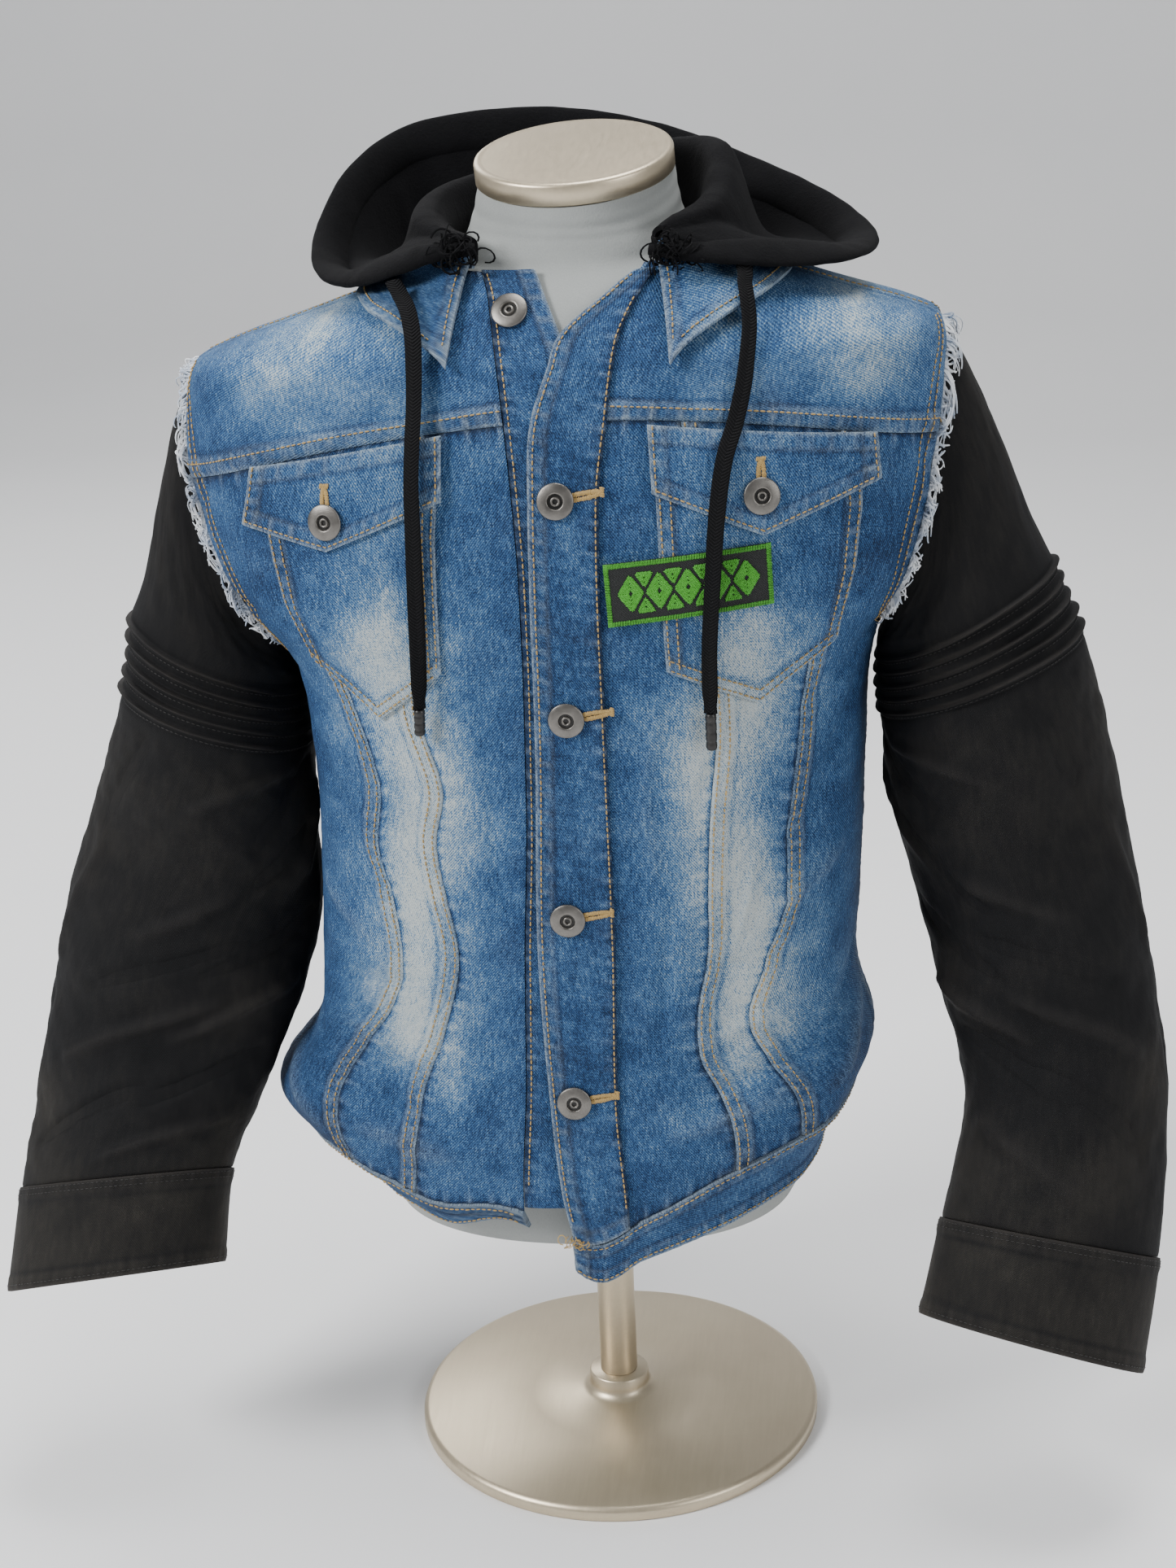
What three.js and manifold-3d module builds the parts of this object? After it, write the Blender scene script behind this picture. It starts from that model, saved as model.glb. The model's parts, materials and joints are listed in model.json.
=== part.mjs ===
// Hooded denim jacket with twill sleeves, standing on a limbless dress form.
// Millimetres, +Z up. The front faces -Y, the wearer's left is +X, and the origin is the centre of
// the underside of the stand's base. Cloth is a thin wall between an inner and an outer surface.
import * as THREE from 'three';
import { mergeVertices } from 'three/addons/utils/BufferGeometryUtils.js';
import Module from 'manifold-3d';

const wasm = await Module();
wasm.setup();

// Driving sizes
const DENIM = 1.6;
const TWILL = 1.4;
const COLLAR_WALL = 2.4;
const FLEECE = 3.0;
const SEAM_GAP = 0.3;
const LAY_GAP = 0.9;
const LEAN = 0.036;
const ARMHOLE_MIDDLE = 650;
const ARMHOLE_HALF_HEIGHT = 88;
const ARMHOLE_STEPS = 20;
const ARMHOLE_SPREAD = 22;
const ARMHOLE_LEAN = 0.35;
const YOKE_CORNER_STEP = 4;
const SHOULDER_ROWS = 5;
const SIDE_ROWS = 12;
const YOKE_SEAM_CENTRE = 712;
const YOKE_SEAM_DROP = 35;
const YOKE_SEAM_REACH = 222;
const NECKLINE = 789;
const NECK_CENTRE = 3;
const BUTTON_RADIUS = 10.5;
const BUTTON_FOOT = 6;
const BUTTON_GAP = 0.35;
const BUTTON_SIDES = 10;
const POLE_RADIUS = 12.5;
const BASE_RADIUS = 135;
const FORM_FLOOR = 186;
const POLE_FOOT = 30;
const NECK_TOP = 835;

// Rings of the jacket's inner surface: half width, depth in front and behind, and centre
const BODY = [
  { z: 150, half: 150, front: 130, back: 104, centre: -10 },
  { z: 200, half: 158, front: 132, back: 108, centre: -11 },
  { z: 260, half: 167, front: 133, back: 110, centre: -12 },
  { z: 320, half: 168, front: 130, back: 104, centre: -9 },
  { z: 400, half: 169, front: 129, back: 99, centre: -4 },
  { z: 470, half: 169, front: 130, back: 102, centre: -1 },
  { z: 530, half: 172, front: 132, back: 109, centre: -1 },
  { z: 566, half: 181, front: 133, back: 113, centre: -1 },
  { z: 600, half: 208, front: 134, back: 116, centre: -3 },
  { z: 640, half: 224, front: 132, back: 116, centre: -5 },
  { z: 680, half: 228, front: 127, back: 113, centre: -7 },
  { z: 715, half: 226, front: 119, back: 107, centre: -7 },
  { z: 738, half: 220, front: 111, back: 101, centre: -6 },
  { z: 746, half: 204, front: 107, back: 97, centre: -5 },
  { z: 760, half: 160, front: 97, back: 88, centre: -2 },
  { z: 775, half: 116, front: 86, back: 77, centre: 1 },
  { z: 789, half: 79, front: 75, back: 68, centre: 3 },
  { z: 830, half: 70, front: 66, back: 62, centre: 3 },
];
const ROUNDNESS = 2.4;

// Seam where the waistband joins, by angle from the centre front, and how far the body
// blouses out over it there
const HEM = [
  { deg: -180, seam: 238, blouse: 10, band: 42, tuck: 8 },
  { deg: -130, seam: 238, blouse: 16, band: 42, tuck: 10 },
  { deg: -90, seam: 234, blouse: 34, band: 30, tuck: 22 },
  { deg: -62, seam: 246, blouse: 18, band: 27, tuck: 20 },
  { deg: -40, seam: 238, blouse: 7, band: 25, tuck: 18 },
  { deg: -26, seam: 229, blouse: 5, band: 20, tuck: 16 },
  { deg: -8, seam: 229, blouse: 4, band: 14, tuck: 16 },
  { deg: 3, seam: 203, blouse: 3, band: 30, tuck: 5 },
  { deg: 13, seam: 219, blouse: 4, band: 33, tuck: 5 },
  { deg: 31, seam: 241, blouse: 6, band: 42, tuck: 6 },
  { deg: 52, seam: 252, blouse: 9, band: 44, tuck: 8 },
  { deg: 90, seam: 256, blouse: 16, band: 44, tuck: 10 },
  { deg: 130, seam: 240, blouse: 14, band: 42, tuck: 8 },
  { deg: 180, seam: 238, blouse: 10, band: 42, tuck: 8 },
];
const BLOUSE_HEIGHT = 30;
const BLOUSE_SPREAD = 34;
const TUCK_HEIGHT = 30;

// Large soft folds of the body: where, how wide and how deep
const BODY_FOLDS = [
  { deg: -62, z: 330, across: 9, along: 70, rise: 5 },
  { deg: -36, z: 300, across: 6, along: 60, rise: -4 },
  { deg: 30, z: 350, across: 7, along: 80, rise: -4 },
  { deg: 62, z: 300, across: 9, along: 60, rise: 5 },
  { deg: 118, z: 320, across: 10, along: 80, rise: 6 },
  { deg: 152, z: 360, across: 8, along: 120, rise: -5 },
  { deg: -122, z: 330, across: 10, along: 90, rise: 6 },
  { deg: -156, z: 400, across: 9, along: 110, rise: -5 },
  { deg: 180, z: 300, across: 12, along: 70, rise: 5 },
];

function blend(from, to, share) {
  return from + (to - from) * share;
}

// Smooth value of one column of a table at a place along its first column
function column(table, axis, key, at) {
  const last = table.length - 1;
  if (at <= table[0][axis]) return table[0][key];
  if (at >= table[last][axis]) return table[last][key];
  let i = 0;
  while (table[i + 1][axis] < at) i += 1;
  const slope = (j) => {
    const low = table[Math.max(j - 1, 0)];
    const high = table[Math.min(j + 1, last)];
    return (high[key] - low[key]) / (high[axis] - low[axis]);
  };
  const span = table[i + 1][axis] - table[i][axis];
  const t = (at - table[i][axis]) / span;
  const t2 = t * t;
  const t3 = t2 * t;
  return (2 * t3 - 3 * t2 + 1) * table[i][key] + (t3 - 2 * t2 + t) * span * slope(i)
    + (3 * t2 - 2 * t3) * table[i + 1][key] + (t3 - t2) * span * slope(i + 1);
}

function signedPower(value, power) {
  return Math.sign(value) * Math.abs(value) ** power;
}

function bell(distance, width) {
  return Math.exp(-((distance / width) ** 2));
}

// The same angle, from -180 up to 180 degrees
function wrapDeg(deg) {
  return ((deg + 540) % 360) - 180;
}

// Point on the jacket's inner surface, by the angle from the centre front and the ring's height
function bodyPoint(deg, z) {
  const angle = THREE.MathUtils.degToRad(deg);
  const s = Math.sin(angle);
  const c = Math.cos(angle);
  const depth = column(BODY, 'z', c > 0 ? 'front' : 'back', z);
  const x = column(BODY, 'z', 'half', z) * signedPower(s, 2 / ROUNDNESS);
  const y = -depth * signedPower(c, 2 / ROUNDNESS);
  const away = wrapDeg(deg);
  const above = z - column(HEM, 'deg', 'seam', away);
  let out = column(HEM, 'deg', 'blouse', away) * bell(above - BLOUSE_HEIGHT, BLOUSE_SPREAD);
  const below = THREE.MathUtils.clamp(-above / TUCK_HEIGHT, 0, 1);
  out -= column(HEM, 'deg', 'tuck', away) * below;
  for (const fold of BODY_FOLDS) {
    out += fold.rise * bell(wrapDeg(deg - fold.deg), fold.across) * bell(z - fold.z, fold.along);
  }
  const reach = Math.hypot(x, y);
  const place = x * (1 + out / reach) + column(BODY, 'z', 'centre', z);
  return new THREE.Vector3(place, y * (1 + out / reach), z + LEAN * place);
}

// Outward unit normal of any surface given as a function of two values
function normalOf(surface, a, b, stepA, stepB) {
  const along = surface(a + stepA, b).sub(surface(a - stepA, b));
  const up = surface(a, b + stepB).sub(surface(a, b - stepB));
  return along.cross(up).normalize();
}

function bodySpot(deg, z) {
  return { at: bodyPoint(deg, z), out: normalOf(bodyPoint, deg, z, 0.5, 1) };
}

// Angle of the front surface at a distance x from the middle, at the ring z
function frontDeg(x, z) {
  const share = (x - column(BODY, 'z', 'centre', z)) / column(BODY, 'z', 'half', z);
  const s = THREE.MathUtils.clamp(signedPower(share, ROUNDNESS / 2), -1, 1);
  return THREE.MathUtils.radToDeg(Math.asin(s));
}

function backDeg(x, z) {
  return Math.sign(x) * 180 - frontDeg(x, z);
}

// Spot of the shoulders' surface over a place in plan, found by halving between two heights
const SHOULDER_HEIGHTS = [690, 800];
const HALVINGS = 30;
function shoulderSpot(x, y) {
  let [low, high] = SHOULDER_HEIGHTS;
  for (let i = 0; i < HALVINGS; i += 1) {
    const z = (low + high) / 2;
    const depth = column(BODY, 'z', y < 0 ? 'front' : 'back', z);
    const across = Math.abs((x - column(BODY, 'z', 'centre', z)) / column(BODY, 'z', 'half', z));
    const inside = across ** ROUNDNESS + Math.abs(y / depth) ** ROUNDNESS < 1;
    if (inside) low = z;
    else high = z;
  }
  const across = (x - column(BODY, 'z', 'centre', low)) / column(BODY, 'z', 'half', low);
  const depth = column(BODY, 'z', y < 0 ? 'front' : 'back', low);
  const s = signedPower(across, ROUNDNESS / 2);
  const c = signedPower(-y / depth, ROUNDNESS / 2);
  return bodySpot(THREE.MathUtils.radToDeg(Math.atan2(s, c)), low);
}

// Flat list of indices and points to a mesh that is closed and faces outwards
function solid(name, points, faces, material) {
  const positions = new Float32Array(points.flatMap((p) => [p.x, p.y, p.z]));
  let volume = 0;
  for (const [a, b, c] of faces) {
    volume += points[a].dot(points[b].clone().cross(points[c]));
  }
  const index = faces.flatMap(([a, b, c]) => (volume > 0 ? [a, b, c] : [a, c, b]));
  const geometry = new THREE.BufferGeometry();
  geometry.setAttribute('position', new THREE.BufferAttribute(positions, 3));
  geometry.setIndex(index);
  geometry.computeVertexNormals();
  const mesh = new THREE.Mesh(geometry, material);
  mesh.name = name;
  return mesh;
}

// Two matching grids of points, the inner and the outer surface of a wall, closed at their edges
function wallSolid(name, inner, outer, material, round = false) {
  const rows = inner.length;
  const columns = inner[0].length;
  const points = [...inner.flat(), ...outer.flat()];
  const shift = rows * columns;
  const id = (side, r, c) => side * shift + r * columns + (c % columns);
  const faces = [];
  const quad = (a, b, c, d) => faces.push([a, b, c], [a, c, d]);
  const spans = round ? columns : columns - 1;
  for (let r = 0; r < rows - 1; r += 1) {
    for (let c = 0; c < spans; c += 1) {
      quad(id(0, r, c), id(0, r, c + 1), id(0, r + 1, c + 1), id(0, r + 1, c));
      quad(id(1, r, c), id(1, r + 1, c), id(1, r + 1, c + 1), id(1, r, c + 1));
    }
    if (!round) {
      quad(id(0, r, 0), id(0, r + 1, 0), id(1, r + 1, 0), id(1, r, 0));
      const end = columns - 1;
      quad(id(0, r, end), id(1, r, end), id(1, r + 1, end), id(0, r + 1, end));
    }
  }
  for (let c = 0; c < spans; c += 1) {
    quad(id(0, 0, c), id(1, 0, c), id(1, 0, c + 1), id(0, 0, c + 1));
    const end = rows - 1;
    quad(id(0, end, c), id(0, end, c + 1), id(1, end, c + 1), id(1, end, c));
  }
  return solid(name, points, faces, material);
}

// Rings of points closed by a flat fan at each end
function ringSolid(name, rings, material) {
  const sides = rings[0].length;
  const points = rings.flat();
  const faces = [];
  for (let r = 0; r < rings.length - 1; r += 1) {
    for (let i = 0; i < sides; i += 1) {
      const a = r * sides + i;
      const b = r * sides + ((i + 1) % sides);
      faces.push([a, b, b + sides], [a, b + sides, a + sides]);
    }
  }
  for (const [row, flip] of [[0, true], [rings.length - 1, false]]) {
    const middle = new THREE.Vector3();
    for (const p of rings[row]) middle.add(p);
    points.push(middle.divideScalar(sides));
    const hub = points.length - 1;
    for (let i = 0; i < sides; i += 1) {
      const a = row * sides + i;
      const b = row * sides + ((i + 1) % sides);
      faces.push(flip ? [hub, b, a] : [hub, a, b]);
    }
  }
  return solid(name, points, faces, material);
}

// A patch of surface between four edges, each a function of a share that gives [deg, z]
function edgePatch(edges, across, down) {
  const corner = {
    topLeft: edges.top(0), topRight: edges.top(1),
    lowLeft: edges.low(0), lowRight: edges.low(1),
  };
  const grid = [];
  for (let r = 0; r <= down; r += 1) {
    const v = r / down;
    const left = edges.left(v);
    const right = edges.right(v);
    const row = [];
    for (let c = 0; c <= across; c += 1) {
      const u = c / across;
      const top = edges.top(u);
      const low = edges.low(u);
      row.push([0, 1].map((k) => blend(left[k], right[k], u) + blend(top[k], low[k], v)
        - blend(blend(corner.topLeft[k], corner.topRight[k], u),
          blend(corner.lowLeft[k], corner.lowRight[k], u), v)));
    }
    grid.push(row);
  }
  return grid.map((row) => row.map(([deg, z]) => bodySpot(deg, z)));
}

// Draws the rim of a grid inwards along the surface, which leaves the gap of a seam
function trimEdges(grid, gap, sides = 'tblr') {
  const rows = grid.length;
  const columns = grid[0].length;
  const moved = grid.map((row) => row.map((spot) => ({ at: spot.at.clone(), out: spot.out })));
  const shift = (r, c, dr, dc) => {
    const here = grid[r][c].at;
    const inward = grid[r + dr][c + dc].at.clone().sub(here);
    const a = dr ? grid[r][Math.max(c - 1, 0)].at : grid[Math.max(r - 1, 0)][c].at;
    const b = dr ? grid[r][Math.min(c + 1, columns - 1)].at : grid[Math.min(r + 1, rows - 1)][c].at;
    const along = b.clone().sub(a).normalize();
    inward.addScaledVector(along, -inward.dot(along)).normalize();
    moved[r][c].at.addScaledVector(inward, gap);
  };
  for (let c = 0; c < columns; c += 1) {
    if (sides.includes('t')) shift(0, c, 1, 0);
    if (sides.includes('b')) shift(rows - 1, c, -1, 0);
  }
  for (let r = 0; r < rows; r += 1) {
    if (sides.includes('l')) shift(r, 0, 0, 1);
    if (sides.includes('r')) shift(r, columns - 1, 0, -1);
  }
  return moved;
}

function cloth(name, grid, lift, thickness, material, round = false) {
  const level = (height) => grid.map((row) => row.map(
    (spot) => spot.at.clone().addScaledVector(spot.out, height),
  ));
  return wallSolid(name, level(lift), level(lift + thickness), material, round);
}

const plain = (color, roughness, metalness = 0) => new THREE.MeshStandardMaterial({
  color, roughness, metalness,
});
const denim = plain(0x44668c, 0.85);
const denimPale = plain(0x7d93a6, 0.85);
const twill = plain(0x1c1b1c, 0.8);
const fleece = plain(0x151517, 0.95);
const steel = plain(0x8b857a, 0.35, 1);
const thread = plain(0xd6dade, 0.9);
const motifCloth = plain(0x121314, 0.8);
const jersey = plain(0xa8a8a4, 0.9);
const nickel = plain(0xb7a98c, 0.35, 1);

const jacket = new THREE.Group();

// Seams of the fronts, as distances from the middle by height, for each side of the body
const FRONT_SEAMS = {
  right: {
    placket: [
      { z: 190, x: -40 }, { z: 300, x: -34 }, { z: 400, x: -30 }, { z: 480, x: -25 },
      { z: 620, x: -22 }, { z: 712, x: -28 }, { z: 775, x: -38 }, { z: 790, x: -44 },
    ],
    inner: [
      { z: 200, x: -114 }, { z: 250, x: -103 }, { z: 300, x: -98 }, { z: 340, x: -83 },
      { z: 390, x: -71 }, { z: 430, x: -76 }, { z: 465, x: -80 }, { z: 500, x: -74 },
      { z: 550, x: -86 }, { z: 620, x: -82 }, { z: 712, x: -72 },
    ],
    outer: [
      { z: 230, x: -145 }, { z: 295, x: -147 }, { z: 325, x: -135 }, { z: 355, x: -117 },
      { z: 385, x: -107 }, { z: 425, x: -111 }, { z: 460, x: -118 }, { z: 500, x: -114 },
      { z: 550, x: -128 }, { z: 620, x: -150 }, { z: 700, x: -158 },
    ],
  },
  left: {
    placket: [
      { z: 190, x: 19 }, { z: 600, x: 19 }, { z: 700, x: 19 }, { z: 715, x: 20 }, { z: 735, x: 24 },
      { z: 765, x: 33 }, { z: 785, x: 46 }, { z: 790, x: 49 },
    ],
    inner: [
      { z: 220, x: 88 }, { z: 260, x: 88 }, { z: 295, x: 82 }, { z: 320, x: 72 },
      { z: 350, x: 71 }, { z: 385, x: 78 }, { z: 430, x: 79 }, { z: 475, x: 81 },
      { z: 530, x: 86 }, { z: 620, x: 80 }, { z: 712, x: 70 },
    ],
    outer: [
      { z: 230, x: 128 }, { z: 280, x: 121 }, { z: 310, x: 110 }, { z: 340, x: 101 },
      { z: 375, x: 111 }, { z: 410, x: 122 }, { z: 460, x: 125 }, { z: 500, x: 130 },
      { z: 550, x: 136 }, { z: 620, x: 150 }, { z: 700, x: 158 },
    ],
  },
};
const BACK_SEAM = [{ z: 220, x: 62 }, { z: 420, x: 84 }, { z: 700, x: 120 }];

function yokeSeam(x) {
  return YOKE_SEAM_CENTRE - YOKE_SEAM_DROP * (x / YOKE_SEAM_REACH) ** 2;
}

// Place on a long seam at a share of its height, from the yoke seam to the hem seam. The hem
// seam's height depends on the place, so it is found in a few passes.
const SEAM_TOP = 700;
const SEAM_BOTTOM = 240;
const SEAM_PASSES = 6;
function seamPlace(table, share, toDeg, sign = 1) {
  const top = yokeSeam(column(table, 'z', 'x', SEAM_TOP));
  let bottom = SEAM_BOTTOM;
  for (let i = 0; i < SEAM_PASSES; i += 1) {
    const deg = wrapDeg(toDeg(sign * column(table, 'z', 'x', bottom), bottom));
    bottom = column(HEM, 'deg', 'seam', deg);
  }
  const z = blend(top, bottom, share);
  return [toDeg(sign * column(table, 'z', 'x', z), z), z];
}

// The armhole, a loop round the end of the shoulder: step 0 is the top and 10 the underarm
function armholePlace(side, step) {
  const turn = (step / ARMHOLE_STEPS) * 2 * Math.PI;
  const wide = ARMHOLE_SPREAD * (1 - ARMHOLE_LEAN * Math.cos(turn));
  const deg = 90 - wide * Math.sin(turn);
  return [side * deg, ARMHOLE_MIDDLE + ARMHOLE_HALF_HEIGHT * Math.cos(turn)];
}

// Outer edge of a side panel: round the armhole from the yoke seam, then down the side seam
function sideEdge(side, share, back) {
  const armRows = ARMHOLE_STEPS / 2 - YOKE_CORNER_STEP;
  const row = share * (armRows + SIDE_ROWS);
  if (row <= armRows) {
    const step = YOKE_CORNER_STEP + row;
    return armholePlace(side, back ? ARMHOLE_STEPS - step : step);
  }
  const low = ARMHOLE_MIDDLE - ARMHOLE_HALF_HEIGHT;
  const bottom = column(HEM, 'deg', 'seam', side * 90);
  return [side * 90, blend(low, bottom, (row - armRows) / SIDE_ROWS)];
}
const PANEL_ROWS = ARMHOLE_STEPS / 2 - YOKE_CORNER_STEP + SIDE_ROWS;

// Outer edge of a yoke: the shoulder seam from the neck to the tip, then down the armhole
function yokeEdge(side, share, back) {
  const row = share * (SHOULDER_ROWS + YOKE_CORNER_STEP);
  const tip = ARMHOLE_MIDDLE + ARMHOLE_HALF_HEIGHT;
  if (row <= SHOULDER_ROWS) return [side * 90, blend(NECKLINE, tip, row / SHOULDER_ROWS)];
  const step = row - SHOULDER_ROWS;
  return armholePlace(side, back ? ARMHOLE_STEPS - step : step);
}
const YOKE_ROWS = SHOULDER_ROWS + YOKE_CORNER_STEP;

// Runs between two places: straight, along the yoke seam, and along the hem seam
function seamRun(from, to, share) {
  return [0, 1].map((k) => blend(from[k], to[k], share));
}

function yokeRun(from, to, share) {
  const deg = blend(from[0], to[0], share);
  const spread = blend(from[1], to[1], share);
  const x = bodyPoint(deg, spread).x;
  const edge = share > 0 && share < 1;
  return edge ? [deg, yokeSeam(x)] : [deg, spread];
}

function hemRun(from, to, share) {
  const deg = blend(from[0], to[0], share);
  const edge = share > 0 && share < 1;
  return [deg, edge ? column(HEM, 'deg', 'seam', wrapDeg(deg)) : blend(from[1], to[1], share)];
}

const PANEL_COLUMNS = 3;
const NECK_CORNERS = { right: -44, left: 48 };
const ROUNDING = 1e-9;
for (const [side, label] of [[-1, 'right'], [1, 'left']]) {
  const seams = FRONT_SEAMS[label];
  const lines = [
    (v) => seamPlace(seams.placket, v, frontDeg),
    (v) => seamPlace(seams.inner, v, frontDeg),
    (v) => seamPlace(seams.outer, v, frontDeg),
    (v) => sideEdge(side, v, false),
  ];
  ['centre', 'middle', 'side'].forEach((part, i) => {
    const near = lines[i];
    const far = lines[i + 1];
    const patch = edgePatch({
      top: (u) => yokeRun(near(0), far(0), u),
      low: (u) => hemRun(near(1), far(1), u),
      left: near,
      right: far,
    }, PANEL_COLUMNS, PANEL_ROWS);
    const grid = trimEdges(patch, SEAM_GAP / 2);
    jacket.add(cloth(`front_${part}_${label}`, grid, 0, DENIM, denim));
  });
  const neckCorner = [frontDeg(NECK_CORNERS[label], NECKLINE), NECKLINE];
  const runs = [lines[0](0), lines[1](0), lines[2](0), lines[3](0)];
  const yoke = edgePatch({
    top: (u) => seamRun(neckCorner, [side * 90, NECKLINE], u),
    low: (u) => {
      const part = Math.min(Math.floor(u * 3 + ROUNDING), 2);
      return yokeRun(runs[part], runs[part + 1], u * 3 - part);
    },
    left: (v) => {
      const z = blend(NECKLINE, runs[0][1], v);
      return [frontDeg(column(seams.placket, 'z', 'x', z), z), z];
    },
    right: (v) => yokeEdge(side, v, false),
  }, PANEL_COLUMNS * 3, YOKE_ROWS);
  jacket.add(cloth(`front_yoke_${label}`, trimEdges(yoke, SEAM_GAP / 2), 0, DENIM, denimPale));

  const backLines = [
    (v) => sideEdge(side, v, true),
    (v) => seamPlace(BACK_SEAM, v, backDeg, side),
  ];
  const backSide = edgePatch({
    top: (u) => yokeRun(backLines[0](0), backLines[1](0), u),
    low: (u) => hemRun(backLines[0](1), backLines[1](1), u),
    left: backLines[0],
    right: backLines[1],
  }, PANEL_COLUMNS, PANEL_ROWS);
  const trimmed = trimEdges(backSide, SEAM_GAP / 2);
  jacket.add(cloth(`back_side_${label}`, trimmed, 0, DENIM, denim));
}

// The back: a centre panel between its two seams, and one yoke from shoulder to shoulder
const fullTurn = ([deg, z]) => [deg < 0 ? deg + 360 : deg, z];
const backLeft = (v) => seamPlace(BACK_SEAM, v, backDeg, 1);
const backRight = (v) => fullTurn(seamPlace(BACK_SEAM, v, backDeg, -1));
const BACK_COLUMNS = 4;
const backCentre = edgePatch({
  top: (u) => yokeRun(backLeft(0), backRight(0), u),
  low: (u) => hemRun(backLeft(1), backRight(1), u),
  left: backLeft,
  right: backRight,
}, BACK_COLUMNS, PANEL_ROWS);
jacket.add(cloth('back_centre', trimEdges(backCentre, SEAM_GAP / 2), 0, DENIM, denim));

const backStops = [
  sideEdge(1, 0, true), backLeft(0), backRight(0), fullTurn(sideEdge(-1, 0, true)),
];
const backCounts = [PANEL_COLUMNS, BACK_COLUMNS, PANEL_COLUMNS];
const backTotal = PANEL_COLUMNS * 2 + BACK_COLUMNS;
const backYoke = edgePatch({
  top: (u) => [blend(90, 270, u), NECKLINE],
  low: (u) => {
    let place = u * backTotal;
    let part = 0;
    while (part < 2 && place >= backCounts[part] - ROUNDING) {
      place -= backCounts[part];
      part += 1;
    }
    return yokeRun(backStops[part], backStops[part + 1], place / backCounts[part]);
  },
  left: (v) => yokeEdge(1, v, true),
  right: (v) => fullTurn(yokeEdge(-1, v, true)),
}, backTotal, YOKE_ROWS);
jacket.add(cloth('back_yoke', trimEdges(backYoke, SEAM_GAP / 2), 0, DENIM, denimPale));

// Waistband in two lengths that meet behind. Below its seam the body's rings draw in.
const BAND_WALL = DENIM + 1;
const BAND_ROWS = 3;
const BAND_START = { x: -9, z: 203 };
const hemDeg = (table) => seamPlace(table, 1, frontDeg)[0];
const hemStops = {
  right: [
    180, backRight(1)[0], 270, 360 + hemDeg(FRONT_SEAMS.right.outer),
    360 + hemDeg(FRONT_SEAMS.right.inner), 360 + hemDeg(FRONT_SEAMS.right.placket),
  ],
  left: [
    frontDeg(BAND_START.x, BAND_START.z), hemDeg(FRONT_SEAMS.left.placket),
    hemDeg(FRONT_SEAMS.left.inner), hemDeg(FRONT_SEAMS.left.outer), 90, backLeft(1)[0], 180,
  ],
};
for (const [label, stops] of Object.entries(hemStops)) {
  const spans = stops.length - 1;
  const place = (u) => {
    const part = Math.min(Math.floor(u * spans + ROUNDING), spans - 1);
    return blend(stops[part], stops[part + 1], u * spans - part);
  };
  const seamAt = (deg) => column(HEM, 'deg', 'seam', wrapDeg(deg));
  const edgeAt = (deg) => seamAt(deg) - column(HEM, 'deg', 'band', wrapDeg(deg));
  const band = edgePatch({
    top: (u) => [place(u), seamAt(place(u))],
    low: (u) => [place(u), edgeAt(place(u))],
    left: (v) => [place(0), blend(seamAt(place(0)), edgeAt(place(0)), v)],
    right: (v) => [place(1), blend(seamAt(place(1)), edgeAt(place(1)), v)],
  }, PANEL_COLUMNS * spans, BAND_ROWS);
  jacket.add(cloth(`waistband_${label}`, trimEdges(band, SEAM_GAP / 2), 0, BAND_WALL, denim));
}

// A patch of the front given by four edges, each a short list of [x, z] places
function frontPatch(edges, across, down) {
  const along = (list) => (share) => {
    const place = share * (list.length - 1);
    const i = Math.min(Math.floor(place), list.length - 2);
    return [0, 1].map((k) => blend(list[i][k], list[i + 1][k], place - i));
  };
  const [top, low, left, right] = [edges.top, edges.low, edges.left, edges.right].map(along);
  const grid = [];
  for (let r = 0; r <= down; r += 1) {
    const v = r / down;
    const row = [];
    for (let c = 0; c <= across; c += 1) {
      const u = c / across;
      const [x, z] = [0, 1].map((k) => blend(left(v)[k], right(v)[k], u)
        + blend(top(u)[k], low(u)[k], v)
        - blend(blend(top(0)[k], top(1)[k], u), blend(low(0)[k], low(1)[k], u), v));
      row.push(bodySpot(frontDeg(x, z), z));
    }
    grid.push(row);
  }
  return grid;
}

// Plackets: a long strip between two edges given as distances from the middle by height
const PLACKETS = {
  under: [
    { z: 229.3, far: 18.4 }, { z: 600, far: 18.4 }, { z: 680, far: 18.4 }, { z: 700, far: 17.5 },
    { z: 735, far: 13 }, { z: 756, far: 4 }, { z: 775, far: -5 }, { z: 790, far: -12 },
  ],
  over: [
    { z: 203.4, near: -7, far: 26 }, { z: 242, near: -14, far: 25 },
    { z: 300, near: -19, far: 22 }, { z: 400, near: -22, far: 24 },
    { z: 530, near: -17, far: 24 }, { z: 670, near: -15, far: 25 },
    { z: 710, near: -13, far: 30 }, { z: 740, near: -3, far: 34 },
    { z: 756, near: 4, far: 38 }, { z: 775, near: 29, far: 48 }, { z: 784, near: 43, far: 55 },
  ],
};
const UNDER_NEAR = FRONT_SEAMS.right.placket;
const PLACKET_CROWDING = 1.35;
const PLACKET_ROWS = 22;

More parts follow.
